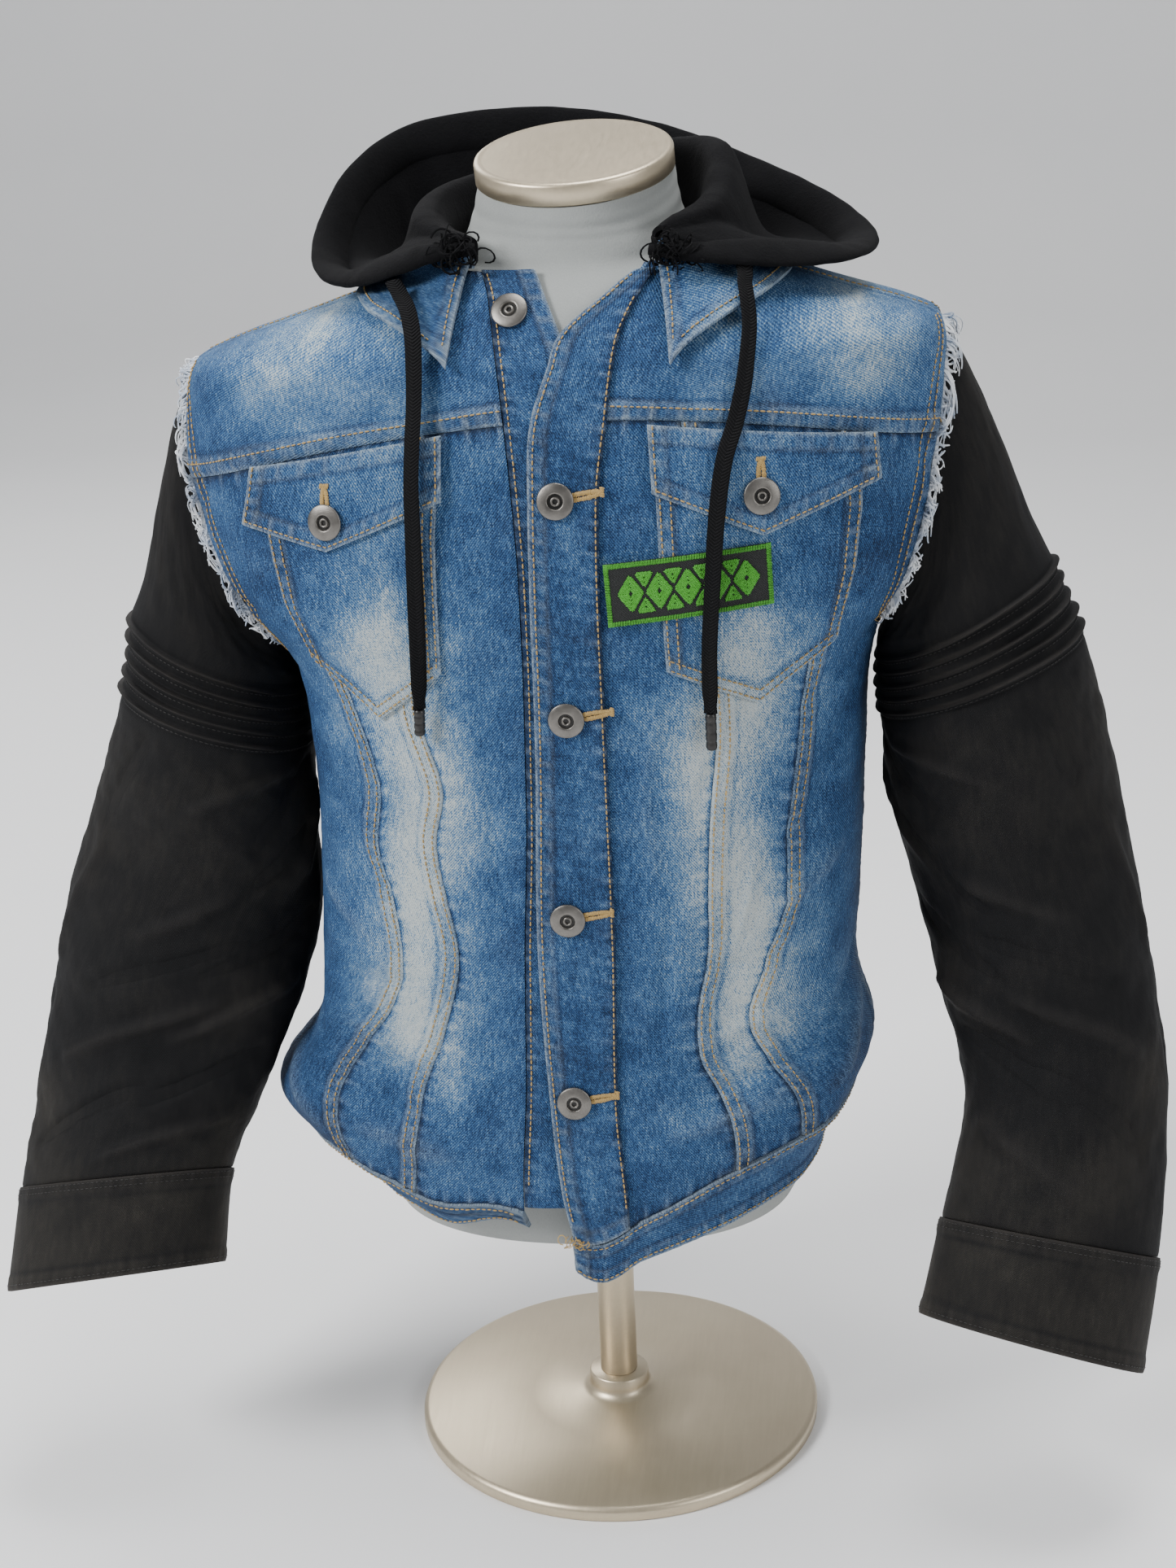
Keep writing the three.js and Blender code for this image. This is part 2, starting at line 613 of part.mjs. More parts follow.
// Rows lie closer together towards the neck, where the front curves most
function placketGrid(table, rows, columns, nearAt, bottomAt) {
  const grid = [];
  const top = table[table.length - 1].z;
  for (let r = 0; r <= rows; r += 1) {
    const share = (r / rows) ** PLACKET_CROWDING;
    const row = [];
    for (let c = 0; c <= columns; c += 1) {
      const low = bottomAt(c / columns);
      const z = blend(top, low, share);
      const x = blend(nearAt(z), column(table, 'z', 'far', z), c / columns);
      row.push(bodySpot(frontDeg(x, z), z));
    }
    grid.push(row);
  }
  return grid;
}
const underNear = (z) => column(UNDER_NEAR, 'z', 'x', z) + SEAM_GAP;
const underGrid = placketGrid(PLACKETS.under, PLACKET_ROWS, 2, underNear, () => PLACKETS.under[0].z);
jacket.add(cloth('placket_under', underGrid, 0, DENIM, denim));
const OVER_LIFT = DENIM + LAY_GAP;
const overNear = (z) => column(PLACKETS.over, 'z', 'near', z);
const overBottom = (share) => column(HEM, 'deg', 'seam', blend(1, 10, share)) + 1;
const overGrid = placketGrid(PLACKETS.over, PLACKET_ROWS, 2, overNear, overBottom);
jacket.add(cloth('placket_over', overGrid, OVER_LIFT, DENIM, denim));

// Chest pockets, their flaps, and the bordered patch, as outlines in x and z
const POCKET_LIFT = DENIM + LAY_GAP;
const FLAP_LIFT = POCKET_LIFT + DENIM + LAY_GAP;
const PATCH_WALL = 1.2;
const CHEST = {
  pocket_right: {
    top: [[-170, 687], [-63, 704]], low: [[-147, 577], [-108, 542], [-69, 573]],
    left: [[-170, 687], [-168, 650], [-162, 612], [-147, 577]],
    right: [[-63, 704], [-68, 654], [-69, 573]],
  },
  pocket_left: {
    top: [[55, 704], [168, 688]], low: [[59, 569], [109, 543], [152, 573]],
    left: [[55, 704], [57, 640], [59, 569]],
    right: [[168, 688], [168, 650], [164, 618], [152, 573]],
  },
  flap_right: {
    top: [[-175, 691], [-62, 708]], low: [[-183, 658], [-131, 645], [-63, 672]],
    left: [[-175, 691], [-183, 658]], right: [[-62, 708], [-63, 672]],
  },
  flap_left: {
    top: [[52, 708], [175, 691]], low: [[54, 671], [114, 643], [177, 665]],
    left: [[52, 708], [54, 671]], right: [[175, 691], [177, 665]],
  },
  chest_patch: {
    top: [[26, 634], [118, 639]], low: [[28, 598], [119, 604]],
    left: [[26, 634], [28, 598]], right: [[118, 639], [119, 604]],
  },
};
for (const [name, edges] of Object.entries(CHEST)) {
  const isPocket = name.startsWith('pocket');
  const isPatch = name === 'chest_patch';
  const grid = frontPatch(edges, isPatch ? 6 : 8, isPocket ? 6 : 2);
  const lift = isPocket ? POCKET_LIFT : FLAP_LIFT;
  const wall = isPatch ? PATCH_WALL : DENIM;
  jacket.add(cloth(name, grid, lift, wall, isPatch ? motifCloth : denim));
}

// Buttons with a rolled rim and an eyelet in the middle, each standing on the cloth below it
const buttonProfile = [
  [0, 0], [BUTTON_FOOT, 0], [BUTTON_RADIUS - 0.5, 0.9], [BUTTON_RADIUS, 1.9],
  [BUTTON_RADIUS - 1.4, 3], [4.2, 2.4], [2.6, 3.5], [0, 3.5],
].map(([radius, height]) => new THREE.Vector2(radius, height));
const BUTTONS = [
  { name: 'button_top', x: -25, z: 769, lift: DENIM },
  { name: 'button_1', x: 1, z: 670, lift: OVER_LIFT + DENIM },
  { name: 'button_2', x: 2, z: 544, lift: OVER_LIFT + DENIM },
  { name: 'button_3', x: -3, z: 419, lift: OVER_LIFT + DENIM },
  { name: 'button_4', x: -4, z: 300, lift: OVER_LIFT + DENIM },
  { name: 'button_flap_right', x: -130, z: 662, lift: FLAP_LIFT + DENIM },
  { name: 'button_flap_left', x: 113, z: 665, lift: FLAP_LIFT + DENIM },
];
for (const { name, x, z, lift } of BUTTONS) {
  const spot = bodySpot(frontDeg(x, z), z);
  const mesh = new THREE.Mesh(new THREE.LatheGeometry(buttonProfile, BUTTON_SIDES), steel);
  mesh.name = name;
  mesh.quaternion.setFromUnitVectors(new THREE.Vector3(0, 1, 0), spot.out);
  mesh.position.copy(spot.at).addScaledVector(spot.out, lift + BUTTON_GAP);
  jacket.add(mesh);
}

// Collar: a stand round the neck that rolls over and lies down on the yokes. Each station gives
// the height of the roll, and how far out in plan its leaf reaches.
const COLLAR = [
  { deg: 37, roll: 7, outX: 10, outY: -46 }, { deg: 48, roll: 13, outX: 28, outY: -36 },
  { deg: 62, roll: 18, outX: 42, outY: -24 }, { deg: 90, roll: 22, outX: 46, outY: 0 },
  { deg: 135, roll: 24, outX: 24, outY: 26 }, { deg: 180, roll: 25, outX: 0, outY: 33 },
];
const COLLAR_START = COLLAR[0].deg;
const COLLAR_STATIONS = 18;
const COLLAR_LIFT = DENIM + LAY_GAP + COLLAR_WALL / 2 + 0.8;
const COLLAR_FRONT_RISE = 3.4;

function collarSection(deg) {
  const sign = deg <= 180 ? 1 : -1;
  const away = deg <= 180 ? deg : 360 - deg;
  const roll = column(COLLAR, 'deg', 'roll', away);
  const outX = sign * column(COLLAR, 'deg', 'outX', away);
  const outY = column(COLLAR, 'deg', 'outY', away);
  const foot = bodyPoint(deg, NECKLINE);
  const out = new THREE.Vector3(outX, outY, 0);
  const reach = out.length();
  out.normalize();
  const stand = (step, height) => foot.clone().addScaledVector(out, step)
    .add(new THREE.Vector3(0, 0, height));
  const leaf = (share) => {
    const p = foot.clone().addScaledVector(out, reach * share);
    const spot = shoulderSpot(p.x, p.y);
    const rise = COLLAR_FRONT_RISE * share * (1 - THREE.MathUtils.smoothstep(away, 40, 85));
    return spot.at.addScaledVector(spot.out, COLLAR_LIFT + rise);
  };
  const fallStart = leaf(0.42);
  const crest = stand(6, roll - 1);
  return [
    stand(0.4, 1.7), stand(0, blend(1.7, roll, 0.55)), stand(0.6, roll - 1), stand(3, roll + 1.5),
    crest, crest.clone().lerp(fallStart, 0.5).addScaledVector(out, 1), fallStart, leaf(0.7), leaf(1),
  ];
}

// Wall round a middle surface given as a grid of points
function sheetSolid(name, middle, thickness, material) {
  const rows = middle.length;
  const columns = middle[0].length;
  const spots = middle.map((row, r) => row.map((at, c) => {
    const across = row[Math.min(c + 1, columns - 1)].clone().sub(row[Math.max(c - 1, 0)]);
    const down = middle[Math.min(r + 1, rows - 1)][c].clone().sub(middle[Math.max(r - 1, 0)][c]);
    return { at, out: across.cross(down).normalize() };
  }));
  return cloth(name, spots, -thickness / 2, thickness, material);
}

const collarRows = [];
for (let i = 0; i <= COLLAR_STATIONS; i += 1) {
  const deg = blend(COLLAR_START, 360 - COLLAR_START, i / COLLAR_STATIONS);
  collarRows.push(collarSection(deg));
}
jacket.add(sheetSolid('collar', collarRows, COLLAR_WALL, denim));

// Sleeves: rings down the arm. tilt lifts the ring's outer side, pitch its front.
const ARMS = {
  right: [
    { s: 0, x: 230, y: -5, z: 562, across: 58, deep: 66, tilt: 27, pitch: 4 },
    { s: 1, x: 236, y: -6, z: 513, across: 62, deep: 66, tilt: 20, pitch: 4 },
    { s: 2, x: 247, y: -7, z: 460, across: 70, deep: 64, tilt: 12, pitch: 6 },
    { s: 3, x: 261, y: -9, z: 392, across: 82, deep: 62, tilt: 9, pitch: 12 },
    { s: 4, x: 277, y: -22, z: 328, across: 81, deep: 58, tilt: 5, pitch: 20 },
    { s: 5, x: 296, y: -47, z: 268, across: 76, deep: 54, tilt: 0, pitch: 26 },
    { s: 6, x: 307, y: -74, z: 222, across: 70, deep: 50, tilt: -5, pitch: 28 },
    { s: 7, x: 313, y: -100, z: 164, across: 72, deep: 49, tilt: -8, pitch: 28 },
  ],
  left: [
    { s: 0, x: 229, y: -5, z: 566, across: 58, deep: 66, tilt: 27, pitch: 4 },
    { s: 1, x: 240, y: -6, z: 520, across: 65, deep: 66, tilt: 20, pitch: 4 },
    { s: 2, x: 251, y: -7, z: 467, across: 68, deep: 63, tilt: 13, pitch: 6 },
    { s: 3, x: 267, y: -9, z: 391, across: 68, deep: 60, tilt: 9, pitch: 12 },
    { s: 4, x: 282, y: -22, z: 322, across: 66, deep: 56, tilt: 3, pitch: 20 },
    { s: 5, x: 295, y: -45, z: 250, across: 64, deep: 52, tilt: -4, pitch: 26 },
    { s: 6, x: 284, y: -76, z: 170, across: 69, deep: 50, tilt: -13, pitch: 28 },
    { s: 7, x: 272, y: -102, z: 110, across: 72, deep: 49, tilt: -18, pitch: 28 },
  ],
};
const TUCKS = 5;
const TUCK_RISE = 2.6;
const CAP_START = -0.98;

// Creases of the sleeves: place down the arm and round it, size and depth
const ARM_FOLDS = [
  { s: 3.2, turn: 150, along: 0.5, round: 26, rise: -8 },
  { s: 2.6, turn: 60, along: 0.4, round: 30, rise: -6 },
  { s: 3.7, turn: 75, along: 0.35, round: 34, rise: 5 },
  { s: 4.5, turn: 110, along: 0.4, round: 30, rise: -5 },
  { s: 5.2, turn: 40, along: 0.45, round: 30, rise: -5 },
  { s: 1.8, turn: 100, along: 0.35, round: 34, rise: 4 },
  { s: 3.0, turn: 250, along: 0.5, round: 40, rise: 6 },
  { s: 4.4, turn: 230, along: 0.4, round: 34, rise: -5 },
  { s: 2.2, turn: 280, along: 0.5, round: 34, rise: -4 },
];

function armRing(side, s, turnDeg) {
  const table = ARMS[side < 0 ? 'right' : 'left'];
  const get = (key) => column(table, 's', key, s);
  const turn = THREE.MathUtils.degToRad(turnDeg);
  const tilt = THREE.MathUtils.degToRad(get('tilt'));
  const pitch = THREE.MathUtils.degToRad(get('pitch'));
  let swell = 0;
  if (s > 0 && s < 1) swell += TUCK_RISE * (0.5 - 0.5 * Math.cos(2 * Math.PI * TUCKS * s));
  for (const fold of ARM_FOLDS) {
    const near = bell(s - fold.s, fold.along) * bell(wrapDeg(turnDeg - fold.turn), fold.round);
    swell += fold.rise * near;
  }
  const a = (get('across') + swell) * Math.cos(turn);
  const b = (get('deep') + swell) * Math.sin(turn);
  const x = side * (get('x') + a * Math.cos(tilt));
  const y = get('y') - b * Math.cos(pitch);
  const z = get('z') + a * Math.sin(tilt) + b * Math.sin(pitch);
  return new THREE.Vector3(x, y, z + LEAN * x);
}

// Outer surface of a sleeve: a cap from the armhole for s from -1 to 0, then the tube of the arm
function sleevePoint(side, s, turnDeg) {
  if (s >= 0) return armRing(side, s, turnDeg);
  const t = s + 1;
  const [deg, z] = armholePlace(side, turnDeg / (360 / ARMHOLE_STEPS));
  const start = bodyPoint(deg, z);
  const end = armRing(side, 0, turnDeg);
  const under = 0.5 - 0.5 * Math.cos(THREE.MathUtils.degToRad(turnDeg));
  const span = start.distanceTo(end);
  const tilt = THREE.MathUtils.degToRad(ARMS.left[0].tilt);
  const leave = new THREE.Vector3(side * blend(0.55, 1.5, under ** 3), 0, blend(-0.8, 0.15, under ** 3));
  const arrive = new THREE.Vector3(side * Math.sin(tilt), 0, -Math.cos(tilt));
  const t2 = t * t;
  const t3 = t2 * t;
  return start.multiplyScalar(2 * t3 - 3 * t2 + 1)
    .addScaledVector(leave, (t3 - 2 * t2 + t) * span)
    .addScaledVector(end, 3 * t2 - 2 * t3)
    .addScaledVector(arrive, (t3 - t2) * span);
}

function sleeveGrid(side, stations) {
  const turnStep = 360 / ARMHOLE_STEPS;
  return stations.map((s) => {
    const row = [];
    for (let i = 0; i < ARMHOLE_STEPS; i += 1) {
      const turn = i * turnStep;
      const surface = (a, b) => sleevePoint(side, a, b);
      const out = normalOf(surface, Math.max(s, CAP_START), turn, 0.02, 4).multiplyScalar(-side);
      row.push({ at: sleevePoint(side, s, turn), out });
    }
    return row;
  });
}

const CAP_ROWS = [-1, -0.8, -0.55, -0.32, -0.14];
const TUCK_ROWS = Array.from({ length: TUCKS * 2 + 1 }, (_, i) => i / (TUCKS * 2));
const ARM_ROWS = [1, 1.7, 2.5, 3.3, 4.15, 5, 6];
const CUFF_ROWS = [6, 6.35, 6.7, 7];
const CUFF_WALL = TWILL + 1;

// Moves the first or last ring of a tube along the tube by a small gap
function trimRing(grid, row, beside, gap) {
  grid[row].forEach((spot, i) => {
    const along = grid[beside][i].at.clone().sub(spot.at).normalize();
    spot.at.addScaledVector(along, gap);
  });
}

// Each sleeve is cut in two, with its cross seam under the lowest tuck
for (const [side, label] of [[-1, 'right'], [1, 'left']]) {
  const head = sleeveGrid(side, [...CAP_ROWS, ...TUCK_ROWS]);
  trimRing(head, 0, 1, SEAM_GAP / 2);
  trimRing(head, head.length - 1, head.length - 2, SEAM_GAP / 2);
  jacket.add(cloth(`sleeve_head_${label}`, head, -TWILL, TWILL, twill, true));
  const arm = sleeveGrid(side, ARM_ROWS);
  trimRing(arm, 0, 1, SEAM_GAP / 2);
  trimRing(arm, arm.length - 1, arm.length - 2, SEAM_GAP / 2);
  jacket.add(cloth(`sleeve_arm_${label}`, arm, -TWILL, TWILL, twill, true));
  const cuff = sleeveGrid(side, CUFF_ROWS);
  trimRing(cuff, 0, 1, SEAM_GAP / 2);
  jacket.add(cloth(`cuff_${label}`, cuff, -TWILL, CUFF_WALL, twill, true));
}

// Frayed armhole edges: strands of warp rooted in a narrow strip that lies just past the edge.
// The strip runs over the shoulder from low on the front to low on the back.
const FRAY_END_STEP = 8;
const STRANDS_PER_STEP = 3;
const STRAND_RADIUS = 0.6;
const STRAND_LENGTH = 13;
const STRIP_NEAR = 2.8;
const STRIP_WIDTH = 3;
const STRIP_WALL = 1.8;

let seed = 7;
function random() {
  seed = (seed * 16807) % 2147483647;
  return seed / 2147483647;
}

function asManifold(mesh) {
  let geometry = mesh.geometry.clone();
  geometry.deleteAttribute('normal');
  if (geometry.attributes.uv) geometry.deleteAttribute('uv');
  geometry = mergeVertices(geometry, 1e-4);
  return new wasm.Manifold(new wasm.Mesh({
    numProp: 3,
    vertProperties: new Float32Array(geometry.attributes.position.array),
    triVerts: new Uint32Array(geometry.index.array),
  }));
}

function fromManifold(name, body, material) {
  const out = body.getMesh();
  const geometry = new THREE.BufferGeometry();
  geometry.setAttribute('position', new THREE.BufferAttribute(out.vertProperties, 3));
  geometry.setIndex([...out.triVerts]);
  geometry.computeVertexNormals();
  const mesh = new THREE.Mesh(geometry, material);
  mesh.name = name;
  return mesh;
}

// Three-sided tapering strand along a short list of points
function strand(path, out) {
  const rings = path.map((p, i) => {
    const next = path[Math.min(i + 1, path.length - 1)];
    const before = path[Math.max(i - 1, 0)];
    const along = next.clone().sub(before).normalize();
    const side = along.clone().cross(out).normalize();
    const up = side.clone().cross(along).normalize();
    const radius = STRAND_RADIUS * (1 - 0.4 * i);
    return [90, 210, 330].map((deg) => {
      const a = THREE.MathUtils.degToRad(deg);
      return p.clone().addScaledVector(side, radius * Math.cos(a))
        .addScaledVector(up, radius * Math.sin(a));
    });
  });
  return ringSolid('strand', rings, thread);
}

function frayedEdge(side, label) {
  const turnStep = 360 / ARMHOLE_STEPS;
  const spotAt = (step, distance) => {
    const turn = step * turnStep;
    const surface = (a, b) => sleevePoint(side, a, b);
    const span = sleevePoint(side, -1, turn).distanceTo(sleevePoint(side, 0, turn));
    const s = -1 + distance / span;
    return { at: sleevePoint(side, s, turn),
      out: normalOf(surface, Math.max(s, CAP_START), turn, 0.02, 4).multiplyScalar(-side) };
  };
  const steps = Array.from({ length: FRAY_END_STEP * 2 + 1 }, (_, i) => i - FRAY_END_STEP);
  const grid = [STRIP_NEAR, STRIP_NEAR + STRIP_WIDTH].map(
    (distance) => steps.map((step) => spotAt(step, distance)),
  );
  const strip = cloth('strip', grid, LAY_GAP, STRIP_WALL, thread);
  let body = asManifold(strip);
  const rootRow = steps.map((step) => {
    const spot = spotAt(step, STRIP_NEAR + STRIP_WIDTH / 2);
    return spot.at.addScaledVector(spot.out, LAY_GAP + STRIP_WALL / 2);
  });
  for (let i = 0; i < steps.length - 1; i += 1) {
    for (let k = 0; k < STRANDS_PER_STEP; k += 1) {
      const share = (k + 0.3 + 0.4 * random()) / STRANDS_PER_STEP;
      const root = rootRow[i].clone().lerp(rootRow[i + 1], share);
      const step = steps[i] + share;
      const length = STRAND_LENGTH * (0.6 + 0.8 * random());
      const drift = 0.16 * (random() - 0.5);
      const tip = spotAt(step + drift, STRIP_NEAR + STRIP_WIDTH + length);
      const end = tip.at.addScaledVector(tip.out, LAY_GAP + 2 + 2.5 * random());
      body = body.add(asManifold(strand([root, end], tip.out)));
    }
  }
  return fromManifold(`frayed_edge_${label}`, body, thread);
}
jacket.add(frayedEdge(-1, 'right'));
jacket.add(frayedEdge(1, 'left'));

// Hood: the rolled casing of its opening, from the right front round the back to the left front.
// Each row gives the casing's middle, half its width, and the tip of its free edge above level.
const CASING = [
  { i: 0, x: -46, y: -72, z: 803, wide: 4, tip: -20, ridge: 807 },
  { i: 1, x: -66, y: -74, z: 803, wide: 7, tip: -30, ridge: 810 },
  { i: 2, x: -90, y: -66, z: 797, wide: 10, tip: -35, ridge: 812 },
  { i: 3, x: -114, y: -48, z: 789, wide: 12, tip: -25, ridge: 816 },
  { i: 4, x: -133, y: -24, z: 785, wide: 13, tip: 5, ridge: 819 },
  { i: 5, x: -146, y: 10, z: 789, wide: 13, tip: 30, ridge: 822 },
  { i: 6, x: -150, y: 50, z: 802, wide: 13, tip: 50, ridge: 824 },
  { i: 7, x: -142, y: 92, z: 824, wide: 13, tip: 65, ridge: 826 },
  { i: 8, x: -115, y: 128, z: 841, wide: 13, tip: 72, ridge: 828 },
  { i: 9, x: -68, y: 144, z: 846, wide: 13, tip: 75, ridge: 830 },
  { i: 10, x: -15, y: 149, z: 843, wide: 13, tip: 75, ridge: 832 },
  { i: 11, x: 40, y: 142, z: 831, wide: 13, tip: 72, ridge: 836 },
  { i: 12, x: 90, y: 122, z: 813, wide: 13, tip: 66, ridge: 840 },
  { i: 13, x: 136, y: 86, z: 795, wide: 13, tip: 50, ridge: 842 },
  { i: 14, x: 161, y: 44, z: 783, wide: 13, tip: 30, ridge: 840 },
  { i: 15, x: 166, y: 6, z: 780, wide: 13, tip: 5, ridge: 832 },
  { i: 16, x: 154, y: -28, z: 783, wide: 13, tip: -15, ridge: 822 },
  { i: 17, x: 130, y: -50, z: 787, wide: 12, tip: -30, ridge: 818 },
  { i: 18, x: 102, y: -64, z: 791, wide: 10, tip: -35, ridge: 814 },
  { i: 19, x: 76, y: -74, z: 794, wide: 7, tip: -30, ridge: 811 },
  { i: 20, x: 52, y: -74, z: 797, wide: 4, tip: -20, ridge: 804 },
];
const CASING_END = CASING.length - 1;
const CASING_STATIONS = 32;
const CASING_SIDES = 8;
const CASING_THICK = 4;

function casingSpot(i) {
  const get = (key, place = i) => column(CASING, 'i', key, place);
  const at = (place) => new THREE.Vector3(get('x', place), get('y', place),
    get('z', place) + LEAN * get('x', place));
  const step = 0.2;
  const ahead = at(Math.min(i + step, CASING_END));
  const along = ahead.sub(at(Math.max(i - step, 0))).normalize();
  const outward = new THREE.Vector3(along.y, -along.x, 0).normalize();
  if (outward.dot(new THREE.Vector3(get('x') - NECK_CENTRE, get('y'), 0)) < 0) outward.negate();
  const tip = THREE.MathUtils.degToRad(get('tip'));
  const wide = outward.clone().multiplyScalar(Math.cos(tip))
    .add(new THREE.Vector3(0, 0, Math.sin(tip)));
  const thick = along.clone().cross(wide).normalize();
  return { at: at(i), wide, thick, half: get('wide') };
}

const casingRings = [];
for (let k = 0; k <= CASING_STATIONS; k += 1) {
  const spot = casingSpot((k / CASING_STATIONS) * CASING_END);
  const ring = [];
  for (let j = 0; j < CASING_SIDES; j += 1) {
    const a = (j / CASING_SIDES) * 2 * Math.PI;
    const fat = Math.min(CASING_THICK, spot.half * 0.7);
    ring.push(spot.at.clone().addScaledVector(spot.wide, spot.half * Math.cos(a))
      .addScaledVector(spot.thick, fat * Math.sin(a)));
  }
  casingRings.push(ring);
}
jacket.add(ringSolid('hood_casing', casingRings, fleece));

// Hood body: from its seam inside the collar, over the collar, down into a trough and up to the
// casing. The trough is deepest behind the neck.
const HOOD_STATIONS = 22;
const HOOD_LIFT = COLLAR_LIFT + COLLAR_WALL / 2 + FLEECE / 2 + 5;
const HOOD_FLOOR = 744;
const HOOD_ROOT_STEP = 4.4;
const HOOD_INSET = 0.4;
const HOOD_POINTS = 10;
const TROUGH_START = 28;
const TROUGH_FULL = 70;

function hoodSection(i) {
  const spot = casingSpot(i);
  const ridge = column(CASING, 'i', 'ridge', i);
  const end = spot.at.clone().addScaledVector(spot.wide, -(spot.half + FLEECE / 2 + 0.4));
  const bearing = Math.atan2(end.x - NECK_CENTRE, -end.y);
  const limit = THREE.MathUtils.degToRad(36);
  const turn = Math.sign(bearing) * Math.max(Math.abs(bearing), limit);
  const foot = bodyPoint(THREE.MathUtils.radToDeg(turn), NECKLINE);
  const inward = new THREE.Vector3(NECK_CENTRE - foot.x, -foot.y, 0).normalize();
  const root = foot.clone().addScaledVector(inward, HOOD_ROOT_STEP).setZ(foot.z + 5);
  const reach = new THREE.Vector3(end.x - foot.x, end.y - foot.y, 0);
  const top = foot.clone().addScaledVector(inward, -3).setZ(ridge + LEAN * foot.x);
  const floor = (share) => {
    const p = foot.clone().addScaledVector(reach, share);
    const under = shoulderSpot(p.x, p.y);
    const height = under.at.z + HOOD_LIFT / Math.max(under.out.z, 0.35);
    const low = Math.max(height, HOOD_FLOOR + LEAN * p.x);
    const dip = THREE.MathUtils.smoothstep(reach.length(), TROUGH_START, TROUGH_FULL);
    p.z = Math.max(low, blend(blend(top.z, end.z, share), low, dip));
    return p;
  };
  const low = root.clone().setZ(Math.min(root.z + 16, top.z - 4));
  const over = foot.clone().addScaledVector(inward, -Math.min(12, reach.length() * 0.3));
  over.setZ(Math.max(top.z - 1, floor(0.1).z));
  const keys = [root, low, top, over, floor(0.42), floor(0.7), end];
  const curve = new THREE.CatmullRomCurve3(keys, false, 'centripetal');
  return curve.getPoints(HOOD_POINTS - 1);
}

const hoodRows = [];
for (let k = 0; k <= HOOD_STATIONS; k += 1) {
  hoodRows.push(hoodSection(blend(HOOD_INSET, CASING_END - HOOD_INSET, k / HOOD_STATIONS)));
}
jacket.add(sheetSolid('hood', hoodRows, FLEECE, fleece));

// Dress form: a smooth limbless torso with a neck, under the cloth and clear of it but at the
// shoulders, where the yokes rest. Its base ring is level.
const FORM = [
  { z: FORM_FLOOR, half: 132, front: 106, back: 84, centre: -8 },
  { z: 200, half: 138, front: 111, back: 88, centre: -8 },
  { z: 300, half: 147, front: 113, back: 90, centre: -6 },
  { z: 400, half: 150, front: 113, back: 86, centre: -3 },
  { z: 500, half: 155, front: 117, back: 93, centre: -1 },
  { z: 566, half: 163, front: 122, back: 100, centre: -1 },
  { z: 600, half: 171, front: 125, back: 104, centre: -2 },
  { z: 640, half: 183, front: 125, back: 106, centre: -4 },
  { z: 680, half: 195, front: 120.5, back: 105.5, centre: -6 },
  { z: 715, half: 205, front: 113.5, back: 101, centre: -7 },
  { z: 733, half: 208, front: 108.5, back: 97.5, centre: -6 },
  { z: 740, half: 206, front: 107.3, back: 96.4, centre: -6 },
  { z: 746, half: 199.5, front: 105.6, back: 95.6, centre: -5 },
  { z: 760, half: 156.6, front: 95.7, back: 86.7, centre: -2 },
  { z: 775, half: 112.8, front: 84.7, back: 75.7, centre: 1 },
  { z: 782, half: 92, front: 78, back: 70, centre: 2 },
  { z: 789, half: 72, front: 70, back: 60, centre: 3 },
  { z: 796, half: 68, front: 67, back: 56, centre: 3.5 },
  { z: 812, half: 62, front: 65, back: 52, centre: 4 },
  { z: 835, half: 57, front: 64, back: 50, centre: 5 },
];
const FORM_ROWS = [186, 200, 250, 320, 390, 460, 530, 590, 640, 680, 715, 733, 740, 746, 760, 775,
  782, 789, 796, 812, 835];
const FORM_SIDES = 20;
const CAP_TILT = THREE.MathUtils.degToRad(12);
const CAP_CENTRE = [5, -7];
const CAP_GAP = 0.4;
const CAP_RADIUS = 58;
const CAP_HEIGHT = 13;

function formPoint(deg, z) {
  const angle = THREE.MathUtils.degToRad(deg);
  const s = Math.sin(angle);
  const c = Math.cos(angle);
  const power = 2 / blend(ROUNDNESS, 2, THREE.MathUtils.smoothstep(z, 782, 820));
  const depth = column(FORM, 'z', c > 0 ? 'front' : 'back', z);
  const x = column(FORM, 'z', 'half', z) * signedPower(s, power) + column(FORM, 'z', 'centre', z);
  const y = -depth * signedPower(c, power);
  const level = THREE.MathUtils.smoothstep(z, 300, 560);
  const slant = THREE.MathUtils.smoothstep(z, 789, NECK_TOP) * Math.tan(CAP_TILT);
  return new THREE.Vector3(x, y, z + LEAN * x * level + slant * y);
}

const formRings = FORM_ROWS.map(
  (z) => Array.from({ length: FORM_SIDES }, (_, i) => formPoint((i / FORM_SIDES) * 360, z)),
);
jacket.add(ringSolid('form_torso', formRings, jersey));

const capProfile = [
  [0, 0], [CAP_RADIUS, 0], [CAP_RADIUS, CAP_HEIGHT - 1.5], [CAP_RADIUS - 1.5, CAP_HEIGHT],
  [0, CAP_HEIGHT + 1],
].map(([radius, height]) => new THREE.Vector2(radius, height));
const cap = new THREE.Mesh(new THREE.LatheGeometry(capProfile, 24), nickel);
cap.name = 'neck_cap';
const neckSlope = new THREE.Vector3(-LEAN, -Math.tan(CAP_TILT), 1).normalize();
cap.quaternion.setFromUnitVectors(new THREE.Vector3(0, 1, 0), neckSlope);
const [capX, capY] = CAP_CENTRE;
cap.position.set(capX, capY, NECK_TOP + LEAN * capX + Math.tan(CAP_TILT) * capY + CAP_GAP);
jacket.add(cap);

